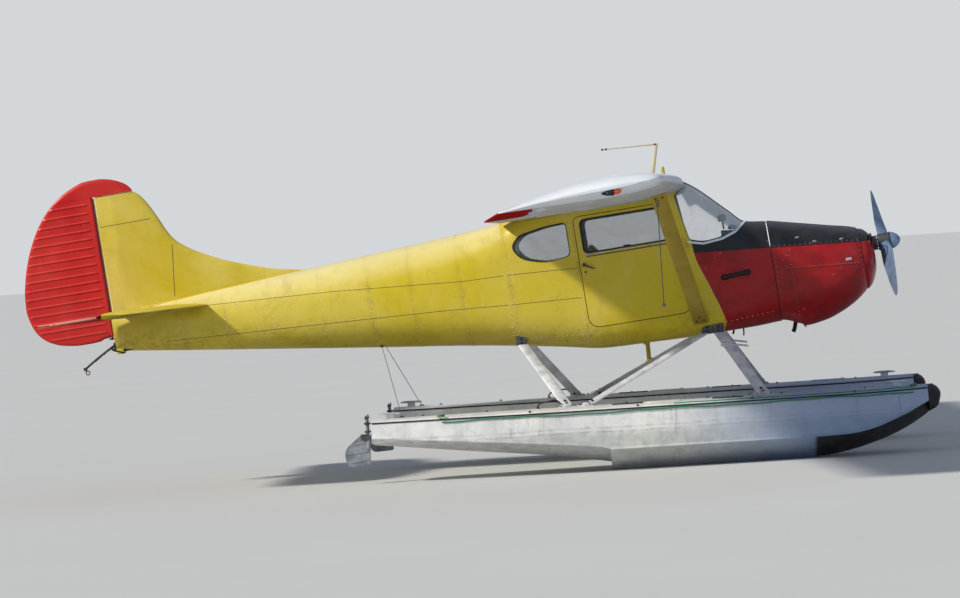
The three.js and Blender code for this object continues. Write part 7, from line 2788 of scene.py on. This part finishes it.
    def build_water_rudder(self, name: str, side: int) -> None:
        """Builds a water rudder: post, ribbed blade, pivot and its steering arm."""
        x = self.stern_x - 46
        out = Shape()
        out.tube([(x, 0, 300), (x, 0, 560)], 15, 28)
        blade = rounded([(x + 14, 160, 20), (x + 14, 420, 6), (x - 60, 420, 20), (x - 210, 300, 60),
                         (x - 190, 150, 60)], 8)
        out.prism(blade, -4.5, 4.5)
        rim = np.vstack([inset(blade, 8), inset(blade, 8)[:1]])
        for face in (-1, 1):
            line = upright(rim, face * 4.5)
            out.join(ribbon(line[:-1], (0, face, 0), 7, 2, 0, True))
            for a, b in (((x - 10, 210), (x - 170, 190)), ((x - 10, 280), (x - 180, 262)),
                         ((x - 10, 350), (x - 130, 342))):
                line = along_line(np.array([a, b], float), 20)
                line = upright(line, face * 4.5)
                out.join(ribbon(line, (0, face, 0), 14, 4))
            out.block((x - 60, 15 if face > 0 else -19, 372), (x + 12, 19 if face > 0 else -15, 424), 1, 3)
            out.join(bolt((x - 40, face * 19, 398), (0, face, 0), 9, 6, 1))
        out.block((x - 12, -119, 554), (x + 12, 119, 567), 1, 4)
        for y in (-104, 104):
            out.lathe([(6, 0), (6, 12), (9, 13), (9, 17), (0, 18)], (x, y, 566), (0, 0, 1), 16, 1)
        self.piece(f"water_rudder_blade_{name}", self.beside(out, side), [RUDDER_SHEET, STEEL],
                   f"water_rudder_{name}", [f"water_rudder_{name}"], place=Place.OUTER)


@dataclass
class FloatStruts(SubAssembly):
    """The float legs, spreader bars, foot treads and boarding steps."""

    deck_top: float = 543.5
    float_y: float = 1120.0
    front_fitting: Point = (-600.0, -425.0, 8.0)
    rear_fitting: Point = (-2236.0, -372.0, 168.0)
    tread: tuple[float, ...] = (236.0, 42.0, 12.0, 92.0, 150.0, 10.0)

    def build(self) -> None:
        """Builds the legs of both sides, the steps and the two spreader bars."""
        front, rear = to_outer(np.array(self.front_fitting)), to_outer(np.array(self.rear_fitting))
        jobs = (("front_float_strut", front + (47, 0, 0), 2457.0, 106.0),
                ("diagonal_float_strut", front - (47, 0, 0), 962.0, 92.0),
                ("rear_float_strut", rear, 810.0, 94.0))
        for name, side in SIDES.items():
            for node, top, foot_x, chord in jobs:
                self.build_leg(node, name, side, top, foot_x, chord)
            self.build_step(name, side)
        for node, x in (("spreader_bar_front", 2380.0), ("spreader_bar_rear", 880.0)):
            self.build_spreader(node, x)

    def build_leg(self, node: str, name: str, side: int, top: np.ndarray, foot_x: float,
                  chord: float) -> None:
        """Builds one leg with its upper fitting, lower cuff, foot plate and bolts."""
        foot = np.array([foot_x, -self.float_y, self.deck_top + 4])
        head = top + (0, 0, 8)
        leg = Shape().loft(strut_rings(foot, head, [(chord, 36), (chord, 36)], 36, 26))
        leg.block((top[0] - 45, top[1] - 35, top[2] - 10), (top[0] + 45, top[1] + 39, top[2] + 75), 1, 7)
        made = self.blank(f"{node}_leg_{name}", leg.sided(side), [STRUT_METAL, STRUT_METAL, STEEL, GASKET],
                          Place.OUTER)
        body = BODY.skin(0, -3000, 0.6).moved(to_outer)
        carve(made, [("DIFFERENCE", body)], Place.OUTER)
        more = Shape()
        lean = (head - foot) / np.linalg.norm(head - foot)
        low = foot + lean * 50
        more.loft([blade_ring(low + lean * s * 46, chord + g, 36 + g)
                   for s, g in ((-1, 7), (0.96, 7), (1, 1))])
        o = rounded([(foot_x - 73, -41, 12), (foot_x + 73, -41, 12), (foot_x + 73, 41, 12),
                     (foot_x - 73, 41, 12)], 5)
        more.prism(o + np.array([0, -self.float_y]), self.deck_top, self.deck_top + 9.5, 0, "xy")
        more.block((foot_x - 30, -self.float_y - 24, self.deck_top + 8), (foot_x + 30, -self.float_y + 24,
                                                                         self.deck_top + 30), 0, 6)
        for dx in (-56, 56):
            for dy in (-27, 27):
                more.join(bolt((foot_x + dx, -self.float_y + dy, self.deck_top + 9.5), (0, 0, 1), 8, 7, 2))
        across = np.cross(lean, [1.0, 0, 0])
        across /= np.linalg.norm(across)
        for s in (24, 66):
            for face in (-1, 1):
                more.join(bolt(foot + lean * s + across * face * 21, across * face, 9, 7, 2))
        for dz in (14, 52):
            more.join(bolt((top[0], top[1] - 35, top[2] + dz - 6), (0, -1, 0), 9, 7, 2))
        if node == "front_float_strut":
            more.join(self.foot_tread(top))
        append(made, more.sided(side), Place.OUTER)
        self.finish_piece(made, "airframe", [f"{node}_{name}"])

    def foot_tread(self, top: np.ndarray) -> Shape:
        """Returns the tread plate at the right front leg, with its ribbed black top."""
        length, half, thick, down, out, tilt = self.tread
        plate_shape = Shape().block((0, -half, -thick / 2), (length, half, thick / 2), 0, 4)
        for k in range(11):
            x = 14 + k * 20.5
            plate_shape.block((x, -half + 5, thick / 2 - 1), (x + 9, half - 5, thick / 2 + 3), 3, 1)
        plate_shape.block((0, -13, -31), (130, 13, -3), 0, 5)
        c, s = math.cos(math.radians(tilt)), math.sin(math.radians(tilt))

        def turned(p: np.ndarray) -> np.ndarray:
            """Tilts the tread and puts it beside the leg."""
            x, z = p[:, 0] * c + p[:, 2] * s, -p[:, 0] * s + p[:, 2] * c
            return np.column_stack([x + top[0] + 14, p[:, 1] + top[1] - out, z + top[2] - down])

        return plate_shape.moved(turned)

    def build_spreader(self, node: str, x: float) -> None:
        """Builds a spreader bar between the hulls, with its end sockets."""
        reach = self.float_y - 338.0
        ys = np.array([-reach, -reach + 60, -200, 0, 200, reach - 60, reach])
        bar = Shape().tube([(x, y, 455) for y in ys], 30, 32)
        for side in (-1, 1):
            bar.lathe([(33, 0), (36, 4), (36, 66), (31, 74), (30, 75)], (x, side * (reach - 2), 455),
                      (0, -side, 0), 32)
            for k in range(4):
                a = math.radians(45 + 90 * k)
                spot = (x + 36 * math.cos(a), side * (reach - 36), 455 + 36 * math.sin(a))
                bar.join(bolt(spot, (math.cos(a), 0, math.sin(a)), 7, 5, 1))
        self.piece(f"{node}_tube", bar, [STRUT_METAL, STEEL], "airframe", [node], place=Place.OUTER)

    def build_step(self, name: str, side: int) -> None:
        """Builds a tubular boarding step with its tread and skin pad."""
        step = Shape()
        post = np.array([(-1178, -318, 20), (-1179, -319, -30), (-1182, -324, -90), (-1186, -330, -140),
                         (-1186, -334, -150)], float)
        step.tube(resampled(post, 18), 12.5, 18)
        step.block((-1215, -366, -158), (-1157, -308, -149), 0, 4)
        for k in range(4):
            step.block((-1211 + 13 * k, -362, -150), (-1204 + 13 * k, -312, -147.5), 1, 1)
        pad = rounded([(-1206, -346, 14), (-1150, -346, 14), (-1150, -290, 14), (-1206, -290, 14)], 5)
        step.prism(pad, -6, 26, 0, "xy")
        made = self.blank(f"cabin_step_{name}", step.sided(side), [SHADED_STRUT_PAINT, GASKET])
        carve(made, [("DIFFERENCE", BODY.skin(-600, -1800, 0.5))], Place.LEVEL)
        self.finish_piece(made, "airframe", [f"boarding_step_{name}"])


CUSHION_CELLS = 26


def cushion(low: Point, high: Point, crown: float = 26.0, pull: float = 12.0, channels: int = 4) -> Shape:
    """Makes a stuffed cushion: crowned faces, sides drawn in between the corners, sewn channels.

    Args:
        low: its lowest corner.
        high: its highest corner; the crown faces up.
        crown: how far its middle swells.
        pull: how far the middle of a side is drawn in.
        channels: how many padded channels run across the top.

    Returns:
        The cushion as a closed shape.
    """
    lo, hi = np.asarray(low, float), np.asarray(high, float)
    mid, half = (lo + hi) / 2, (hi - lo) / 2
    n = CUSHION_CELLS
    u, v = np.meshgrid(np.linspace(-1, 1, n + 1), np.linspace(-1, 1, n + 1), indexing="ij")
    bulge = (1 - u ** 4) * (1 - v ** 4)
    edge = np.clip(1 - np.maximum(np.abs(u), np.abs(v)) ** 8, 0, 1)
    su = u * (1 - pull / half[0] * (1 - v ** 2) * np.abs(u) ** 3)
    sv = v * (1 - pull / half[1] * (1 - u ** 2) * np.abs(v) ** 3)
    groove = np.abs(np.cos(u * math.pi * channels / 2)) ** 0.4 if channels else np.ones_like(u)
    top = half[2] * 0.42 * edge + crown * bulge * (0.55 + 0.45 * groove)
    bottom = -half[2] * 0.55 * edge - crown * 0.1 * bulge
    pts_top = np.stack([mid[0] + su * half[0], mid[1] + sv * half[1], mid[2] + half[2] * 0.3 * edge + top],
                       axis=-1)
    pts_low = np.stack([mid[0] + su * half[0], mid[1] + sv * half[1],
                        mid[2] - half[2] * 0.3 * edge + bottom], axis=-1)
    pts = np.concatenate([pts_top.reshape(-1, 3), pts_low.reshape(-1, 3)])
    m = n + 1
    faces: list[tuple[int, ...]] = []
    for i in range(n):
        for j in range(n):
            a, b, c, d = i * m + j, (i + 1) * m + j, (i + 1) * m + j + 1, i * m + j + 1
            faces += [(a, b, c, d), (m * m + d, m * m + c, m * m + b, m * m + a)]
    loop = [(i, 0) for i in range(n)] + [(n, j) for j in range(n)] + [(i, n) for i in range(n, 0, -1)]
    loop += [(0, j) for j in range(n, 0, -1)]
    for (i0, j0), (i1, j1) in zip(loop, loop[1:] + loop[:1]):
        a, b = i0 * m + j0, i1 * m + j1
        faces.append((b, a, m * m + a, m * m + b))
    out = Shape().add(pts, faces)
    out = out if out.volume() > 0 else out.reversed()
    rim_line = np.array([(pts_top[i, j] + pts_low[i, j]) / 2 for i, j in loop + loop[:1]])
    return out.tube(rim_line, 4.5, 8)


@dataclass
class Interior(SubAssembly):
    """What shows through the windows: seats, instrument panel, yokes and a few fittings."""

    front_x: float = -1470.0
    rear_x: float = -2140.0
    floor: float = 60.0
    leg_inset: float = 60.0
    rear_leg_inset: float = 150.0
    panel_face: Rows = ((-395, 560, 6), (-352, 560, 10), (-244, 836, 6), (-395, 856, 14))
    dials: Rows = ((-300, 770, 40), (-300, 670, 40), (-200, 770, 40), (-200, 670, 40), (-100, 770, 40),
                   (-100, 670, 40), (60, 776, 28), (140, 776, 28), (220, 776, 28), (60, 700, 28),
                   (140, 700, 28))

    def build(self) -> None:
        """Builds the cabin's fittings."""
        self.build_seat("front_right", self.front_x, -430, -40, 925)
        self.build_seat("front_left", self.front_x, 40, 430, 925)
        self.build_seat("rear", self.rear_x, -420, 420, 900)
        self.build_panel()
        self.build_controls()

    def build_seat(self, name: str, x: float, y0: float, y1: float, back_top: float) -> None:
        """Builds one seat: two cushions on a tube frame.

        Args:
            name: the seat's name.
            x: the rear edge of its cushion.
            y0: its right side.
            y1: its left side.
            back_top: the top of its back.
        """
        node = f"seat_{name}"
        base = cushion((x + 20, y0 + 4, 268), (x + 466, y1 - 4, 378), 20, 10, 4)
        made = self.piece(f"{node}_cushion", base, [SEAT_CLOTH], "airframe", [node])
        tall = back_top - 330
        flat = cushion((0, y0 + 6, -46), (tall, y1 - 6, 46), 16, 10, 5)
        lean = math.atan2(130, back_top - 300)
        foot = np.array([x + 64, 0.0, 330.0])

        def stood(p: np.ndarray) -> np.ndarray:
            """Stands the back cushion up behind the seat, leaning aft."""
            along, out = p[:, 0], p[:, 2]
            return np.column_stack([foot[0] - along * math.sin(lean) + out * math.cos(lean), p[:, 1],
                                    foot[2] + along * math.cos(lean) + out * math.sin(lean)])

        back = self.piece(f"{node}_back", flat.moved(stood), [SEAT_CLOTH], "airframe", slot="upholstery")
        legs = Shape()
        low = self.floor + BELLY_SLOPE * max(0.0, BELLY_BREAK - x)
        inner = self.rear_leg_inset if name == "rear" else self.leg_inset
        for y in (y0 + inner, y1 - inner):
            legs.tube([(x + 30, y, low), (x + 60, y, 270), (x + 430, y, 272), (x + 452, y, low)], 12, 12)
            legs.tube([(x + 60, y, 270), (x + 10, y, 500), (x - 42, y, back_top - 90)], 11, 12)
        legs.tube([(x + 250, y0 + 60, 266), (x + 250, y1 - 60, 266)], 10, 12)
        self.piece(f"{node}_frame", legs, [STEEL], "airframe", slot="steel")

    def build_panel(self) -> None:
        """Builds the instrument panel with its glareshield, dials, switches and radio blanks."""
        room = BODY.skin(-100, -700, -25.0)
        made = self.blank("instrument_board", Shape().prism(rounded(self.panel_face, 4), -515, 515),
                          [PANEL_FACE, BRIGHT_METAL, DIAL, WHITE_MARK])
        carve(made, [("INTERSECT", room)], Place.LEVEL)
        more = Shape()
        for y, z, r in self.dials:
            more.lathe([(r + 5, -6), (r + 5, 3), (r, 5), (r, 1), (0, 1)], (-395, y, z), (-1, 0, 0), 28, 1)
            more.lathe([(r, 0), (r, 1.6), (0, 1.6)], (-395, y, z), (-1, 0, 0), 28, 2)
            for k in range(12):
                a = math.radians(30 * k)
                spot = np.array([-396.8, y + r * 0.82 * math.sin(a), z + r * 0.82 * math.cos(a)])
                more.join(rivet_heads(spot, (-1, 0, 0), 1.6, 0.6, 3))
            more.tube([(-397.6, y, z), (-397.6, y + r * 0.5, z + r * 0.5)], 1.2, 6, 3)
        for k in range(9):
            more.tube([(-395, 250 + 24 * k, 620), (-410, 250 + 24 * k, 628)], 3, 10, 1)
        for y, z in ((-20, 610), (20, 610), (60, 610)):
            more.tube([(-395, y, z), (-428, y, z)], 4, 10, 1)
            more.lathe([(11, 0), (13, 6), (10, 14), (0, 15)], (-426, y, z), (-1, 0, 0), 20, 0)
        append(made, more, Place.LEVEL)
        self.finish_piece(made, "airframe", ["instrument_panel"])
        item = Shape().block((-330, -236, 850), (-262, -170, 884), 0, 10)
        item.block((-326, -232, 882), (-268, -176, 890), 1, 5)
        item.tube([(-366, -12, 862), (-370, -12, 936)], 7, 12)
        item.lathe([(24, 0), (36, 9), (36, 44), (25, 56), (0, 57)], (-370, -12, 932), (0, 0, 1), 26)
        item.lathe([(37, 18), (38, 20), (38, 32), (37, 34)], (-370, -12, 932), (0, 0, 1), 26, 1)
        self.piece("glareshield_box", item, [PANEL_FACE, WHITE_MARK], "airframe", slot="panel_black")

    def build_controls(self) -> None:
        """Builds the two yokes, the pedals, the tube behind the windshield and a rolled blanket."""
        out = Shape()
        for y in (-230, 230):
            out.tube([(-395, y, 640), (-560, y, 640)], 11, 14)
            horn = [(-566, y - 120, 720), (-566, y - 116, 668), (-566, y - 84, 632), (-566, y, 626),
                    (-566, y + 84, 632), (-566, y + 116, 668), (-566, y + 120, 720)]
            out.tube(resampled(np.array(horn, float), 26), 10, 12, 1)
            out.lathe([(26, 0), (26, 16), (18, 22), (0, 22)], (-556, y, 632), (-1, 0, 0), 22, 1)
            for off in (-60, 60):
                out.tube([(-300, y + off, 120), (-330, y + off, 210)], 9, 10)
                out.block((-352, y + off - 34, 200), (-326, y + off + 34, 262), 1, 5)
        self.piece("cabin_controls", out, [STEEL, PANEL_FACE], "airframe", slot="panel_black")
        tube = Shape()
        for side in (-1, 1):
            brace = [(-704, side * 486, 700), (-720, side * 480, 1000), (-742, side * 430, 1230),
                     (-752, side * 250, 1322), (-754, 0, 1336)]
            tube.tube(resampled(np.array(brace, float), 26), 13, 12)
        self.piece("windshield_bow_tube", tube, [LINING], "airframe", slot="upholstery")
        roll = Shape().tube(resampled(np.array([(-1560, -330, 712), (-1556, -200, 730), (-1566, -80, 716)],
                                               float), 22),
                            [30 + 26 * math.sin(math.pi * k / 21) for k in range(22)], 22)
        made = self.piece("stowed_blanket_roll", roll,
                          [Fabric("dark_red_blanket", rgb(92, 18, 22), rgb(140, 40, 42))],
                          "airframe", slot="upholstery")


@dataclass
class Rigging(SubAssembly):
    """The hanging rope, the water-rudder cables, the green deck lines, hoses and the aerial."""

    rope_exit: Point = (1.686326, -2.4, 2.184334)
    rope_length: float = 0.83
    rope_diameter: float = 0.009
    mast: Rows = ((-912, 1380), (-822, 1690), (-1304, 1712))

    def build(self) -> None:
        """Builds every line and the aerial."""
        self.build_rope()
        self.build_aerial()
        self.build_cables()
        self.build_deck_lines()

    def strands(self, path: np.ndarray, radius: float, pitch: float, tag: int = 0, sides: int = 7) -> Shape:
        """Returns three strands laid round a path.

        Args:
            path: the rope's centreline.
            radius: of the whole rope.
            pitch: length of one turn of the lay.
            tag: the number of the finish.
            sides: points round a strand.

        Returns:
            The strands as one shape.
        """
        out = Shape()
        seg = np.linalg.norm(np.diff(path, axis=0), axis=1)
        s = np.concatenate([[0], np.cumsum(seg)])
        count = int(s[-1] / pitch * 8) + 2
        t = np.linspace(0, s[-1], count)
        mid = np.stack([np.interp(t, s, path[:, k]) for k in range(3)], axis=1)
        along = np.gradient(mid, axis=0)
        along /= np.linalg.norm(along, axis=1)[:, None]
        ref = np.array([0, 1.0, 0.0]) if abs(along[0][1]) < 0.9 else np.array([1.0, 0, 0])
        u = np.cross(along, ref)
        u /= np.linalg.norm(u, axis=1)[:, None]
        v = np.cross(along, u)
        for k in range(3):
            a = 2 * np.pi * (t / pitch + k / 3)
            out.tube(mid + radius * 0.5 * (np.cos(a)[:, None] * u + np.sin(a)[:, None] * v), radius * 0.52,
                     sides, tag)
        return out

    def build_rope(self) -> None:
        """Builds the rope that hangs from the right strut's ring, knotted at both ends."""
        head = np.array(self.rope_exit) / MM
        length = self.rope_length / MM
        path = np.array([head - (0, 0, length * f) for f in np.linspace(0, 1, 40)])
        rope = self.piece("hanging_rope", self.strands(path, self.rope_diameter / MM / 2, 26), [ROPE_FIBRE],
                          "airframe", ["tiedown_rope"], place=Place.OUTER)
        for name, at, size in (("rope_hitch", head - (0, 0, 14), 8.0),
                               ("rope_end_knot", head - (0, 0, length - 18), 9.0)):
            t = np.linspace(0, 2 * np.pi, 60)
            loop = np.column_stack([at[0] + size * (np.sin(t) + 0.35 * np.sin(2 * t)),
                                    at[1] + size * 0.75 * (np.cos(t) - 0.45 * np.cos(2 * t)),
                                    at[2] - size * 0.9 * np.sin(3 * t)])
            self.piece(name, Shape().tube(loop, 4.2, 12), [ROPE_FIBRE], "airframe",
                                    slot="rope", place=Place.OUTER)

    def build_aerial(self) -> None:
        """Builds the leaning mast on the roof and the rod that it carries aft."""
        (fx, fz), (tx, tz), (rx, rz) = self.mast
        out = Shape()
        rings = [blade_ring((fx + (tx - fx) * f, 0, fz + (tz - fz) * f), 34 - 10 * f, 14 - 4 * f, 24)
                 for f in np.linspace(0, 1, 12)]
        out.loft(rings)
        out.lathe([(38, -6), (38, 3), (30, 8), (24, 30), (17, 44), (0, 44)], (fx - 4, 0, 1391),
                  (0.27, 0, 0.96), 28, 1)
        a, b = np.array([tx + 12.0, 0, tz - 8.0]), np.array([float(rx), 0, float(rz)])
        line = np.array([a + (b - a) * f for f in np.linspace(0, 1, 26)])
        out.tube(line, np.linspace(6.5, 5, 26), 12)
        for f in (0.06, 0.92, 0.985):
            spot = a + (b - a) * f
            out.lathe([(7.5, -9), (9, -6), (9, 6), (7.5, 9)], tuple(spot), tuple(b - a), 16, 1)
        self.piece("roof_aerial", out, [CREAM, STEEL], "airframe", ["aerial_mast"])

    def belly(self, x: float, y: float) -> np.ndarray:
        """Returns the point of the belly at a level station, in the outer frame."""
        bottom, _, half, widest, _, below = BODY.curve(x)
        drop = (widest - bottom) * (1 - min(1.0, abs(y) / half) ** below) ** (1 / below)
        return to_outer(np.array([x, y, widest - drop]))

    def build_cables(self) -> None:
        """Builds each side's steel cable to the water rudder, and the hoses at the struts."""
        for name, side in SIDES.items():
            out = Shape()
            top = self.belly(-3451.0, -150.0)
            foot = np.array([-594, -1100, 545.0])
            out.tube(np.array([top + (foot - top) * f for f in np.linspace(0, 1, 12)]), 2.6, 8)
            out.lathe([(14, -4), (14, 4), (7, 10), (6, 22), (0, 22)], tuple(top), tuple(foot - top), 18, 1)
            out.tube([(-620, -1100, 536), (-602, -1100, 552), (-586, -1100, 552), (-570, -1100, 536)], 5,
                     10, 1)
            self.piece(f"rudder_cables_{name}", out.sided(side), [STEEL, IRON], "airframe", slot="steel",
                       place=Place.OUTER)
            hose = Shape()
            run = [(548, -1090, 548), (560, -1096, 574), (640, -1108, 600), (720, -1116, 604),
                   (752, -1120, 575)]
            hose.tube(self.eased(np.array(run, float), 40), 6.5, 12)
            self.piece(f"float_hoses_{name}", hose.sided(side), [HOSE], "airframe", slot="bumper_rubber",
                       place=Place.OUTER)

    def eased(self, points: np.ndarray, count: int) -> np.ndarray:
        """Returns a smooth line through points."""
        s = np.concatenate([[0], np.cumsum(np.linalg.norm(np.diff(points, axis=0), axis=1))])
        m = np.gradient(points, s, axis=0)
        t = np.linspace(0, s[-1], count)
        i = np.clip(np.searchsorted(s, t, side="right") - 1, 0, len(s) - 2)
        h = (s[i + 1] - s[i])[:, None]
        f = (t[:, None] - s[i][:, None]) / h
        return ((1 + 2 * f) * (1 - f) ** 2 * points[i] + f * (1 - f) ** 2 * h * m[i]
                + f * f * (3 - 2 * f) * points[i + 1] + f * f * (f - 1) * h * m[i + 1])

    def build_deck_lines(self) -> None:
        """Builds the two green lines made fast along the right float's outer deck edge."""
        out = Shape()
        for k in range(2):
            xs = np.linspace(3690, 1700 if k else -240, 90 if k else 160)
            pts = []
            for x in xs:
                half, _, _, deck = FLOATS_FORM.row(float(x))
                wave = 4 * math.sin(x / 210 + k) + 2.5 * math.sin(x / 67 + 2 * k)
                if k:
                    y = half - 24 + wave * 0.5
                    rise = 20 * math.sin(math.acos(min(1.0, y / (half - 14)))) ** 0.8 + 6
                else:
                    y, rise = half - 4, -26 + wave
                pts.append((x, -FLOATS_FORM.offset - y, deck + rise))
            out.join(self.strands(np.array(pts), 6.0, 52, 0, 6))
        for centre, size in (((3690, -1290, 548), 19.0), ((-246, -1354, 541), 19.0)):
            t = np.linspace(0, 6 * np.pi, 130)
            turns = np.column_stack([centre[0] + size * 1.5 * np.cos(t), centre[1] + size * 0.9 * np.sin(t),
                                     centre[2] + 3.5 * np.sin(1.5 * t) + t * 0.75])
            out.tube(turns, 4.6, 9)
        self.piece("green_deck_lines", out, [GREEN_ROPE], "airframe", slot="rope", place=Place.OUTER)
        clips = Shape()
        for x in (3200.0, 2350.0, 1400.0, 500.0):
            half, _, _, deck = FLOATS_FORM.row(x)
            y = -FLOATS_FORM.offset - half + 42
            clips.block((x - 9, y - 26, deck + 2), (x + 9, y + 22, deck + 23), 0, 4)
        self.piece("deck_line_clips", clips, [STEEL], "airframe", slot="steel", place=Place.OUTER)


@dataclass
class Studio:
    """The plain pale floor, the soft lights, and the camera where the photograph was taken from."""

    eye: Point = (2.11017, -32.93845, 1.93948)
    look: Point = (-0.06209217, 0.99797452, -0.01383541)
    up: Point = (0.06517167, 0.01788666, 0.99771375)
    lens: float = 142.3
    floor_size: float = 400.0
    glow: float = 0.34
    lamps: tuple = (("key", 3.7, 5.0, (0.69, 0.36, -0.58), (1.0, 0.95, 0.85)),
                    ("fill", 0.3, 50.0, (-0.5, 0.8, -0.25), (0.80, 0.89, 1.0)))

    def build(self) -> None:
        """Sets up the camera, the floor, the world and the lights."""
        self.place_camera()
        self.lay_floor()
        self.light()

    def place_camera(self) -> None:
        """Places the camera."""
        data = bpy.data.cameras.new("photo_camera")
        data.sensor_width, data.lens, data.clip_end = 36.0, self.lens, 1000.0
        camera = bpy.data.objects.new("photo_camera", data)
        back, up = -Vector(self.look), Vector(self.up)
        right = up.cross(back).normalized()
        up = back.cross(right).normalized()
        for row in range(3):
            camera.matrix_world[row][0:4] = (right[row], up[row], back[row], self.eye[row])
        bpy.context.scene.collection.objects.link(camera)
        bpy.context.scene.camera = camera

    def lay_floor(self) -> None:
        """Lays the floor, a wide disc just under the keels."""
        turn = np.linspace(0, 2 * np.pi, 96, endpoint=False)
        ring = np.column_stack([np.cos(turn), np.sin(turn), np.zeros(96)]) * self.floor_size
        mesh = bpy.data.meshes.new("studio_floor")
        mesh.from_pydata([tuple(p) for p in ring], [], [tuple(range(96))])
        nodes = Nodes("floor_paper")
        tone = nodes.noise(0.4, 2, 0.5, nodes.outer)
        mesh.materials.append(nodes.done(nodes.mix(tone, (0.55, 0.56, 0.565), (0.59, 0.60, 0.60)), 0.85))
        floor = bpy.data.objects.new("studio_floor", mesh)
        floor.location.z = -0.002
        bpy.context.scene.collection.objects.link(floor)

    def light(self) -> None:
        """Sets the pale room and the lamps: the sun, high on the right and from behind, and a weak fill."""
        bpy.context.scene.view_settings.view_transform = "Standard"
        world = bpy.data.worlds.new("pale_room")
        bpy.context.scene.world = world
        world.use_nodes = True
        tree = world.node_tree
        seen, glow = tree.nodes.new("ShaderNodeBackground"), tree.nodes["Background"]
        for node, colour, strength in ((glow, (0.72, 0.82, 1.0, 1), self.glow),
                                       (seen, (0.66, 0.68, 0.70, 1), 1.0)):
            node.inputs[0].default_value, node.inputs[1].default_value = colour, strength
        path, blend = tree.nodes.new("ShaderNodeLightPath"), tree.nodes.new("ShaderNodeMixShader")
        tree.links.new(path.outputs["Is Camera Ray"], blend.inputs[0])
        for k, node in enumerate((glow, seen)):
            tree.links.new(node.outputs[0], blend.inputs[1 + k])
        tree.links.new(blend.outputs[0], tree.nodes["World Output"].inputs[0])
        for name, energy, angle, aim, colour in self.lamps:
            data = bpy.data.lights.new(name, "SUN")
            data.energy, data.angle, data.color = energy, math.radians(angle), colour
            lamp = bpy.data.objects.new(name, data)
            lamp.rotation_euler = Vector(aim).to_track_quat("-Z", "Y").to_euler()
            bpy.context.scene.collection.objects.link(lamp)


FLOATS_FORM = Floats(FinishShop())


def main() -> None:
    """Builds the studio and every sub-assembly in order, and reports each piece."""
    logging.basicConfig(level=logging.INFO, format="%(name)s: %(message)s")
    Studio().build()
    shop = FinishShop()
    for kind in (Rigging, Cabin, TailCone, Nose, Propeller, Wings, WingStruts, Tail, Floats, FloatStruts,
                 Interior):
        part = kind(shop)
        part.build()
        for made in part.pieces:
            LOG.info("%s: %s, %d faces", kind.__name__, made.name, len(made.data.polygons))


if __name__ == "__main__":
    main()
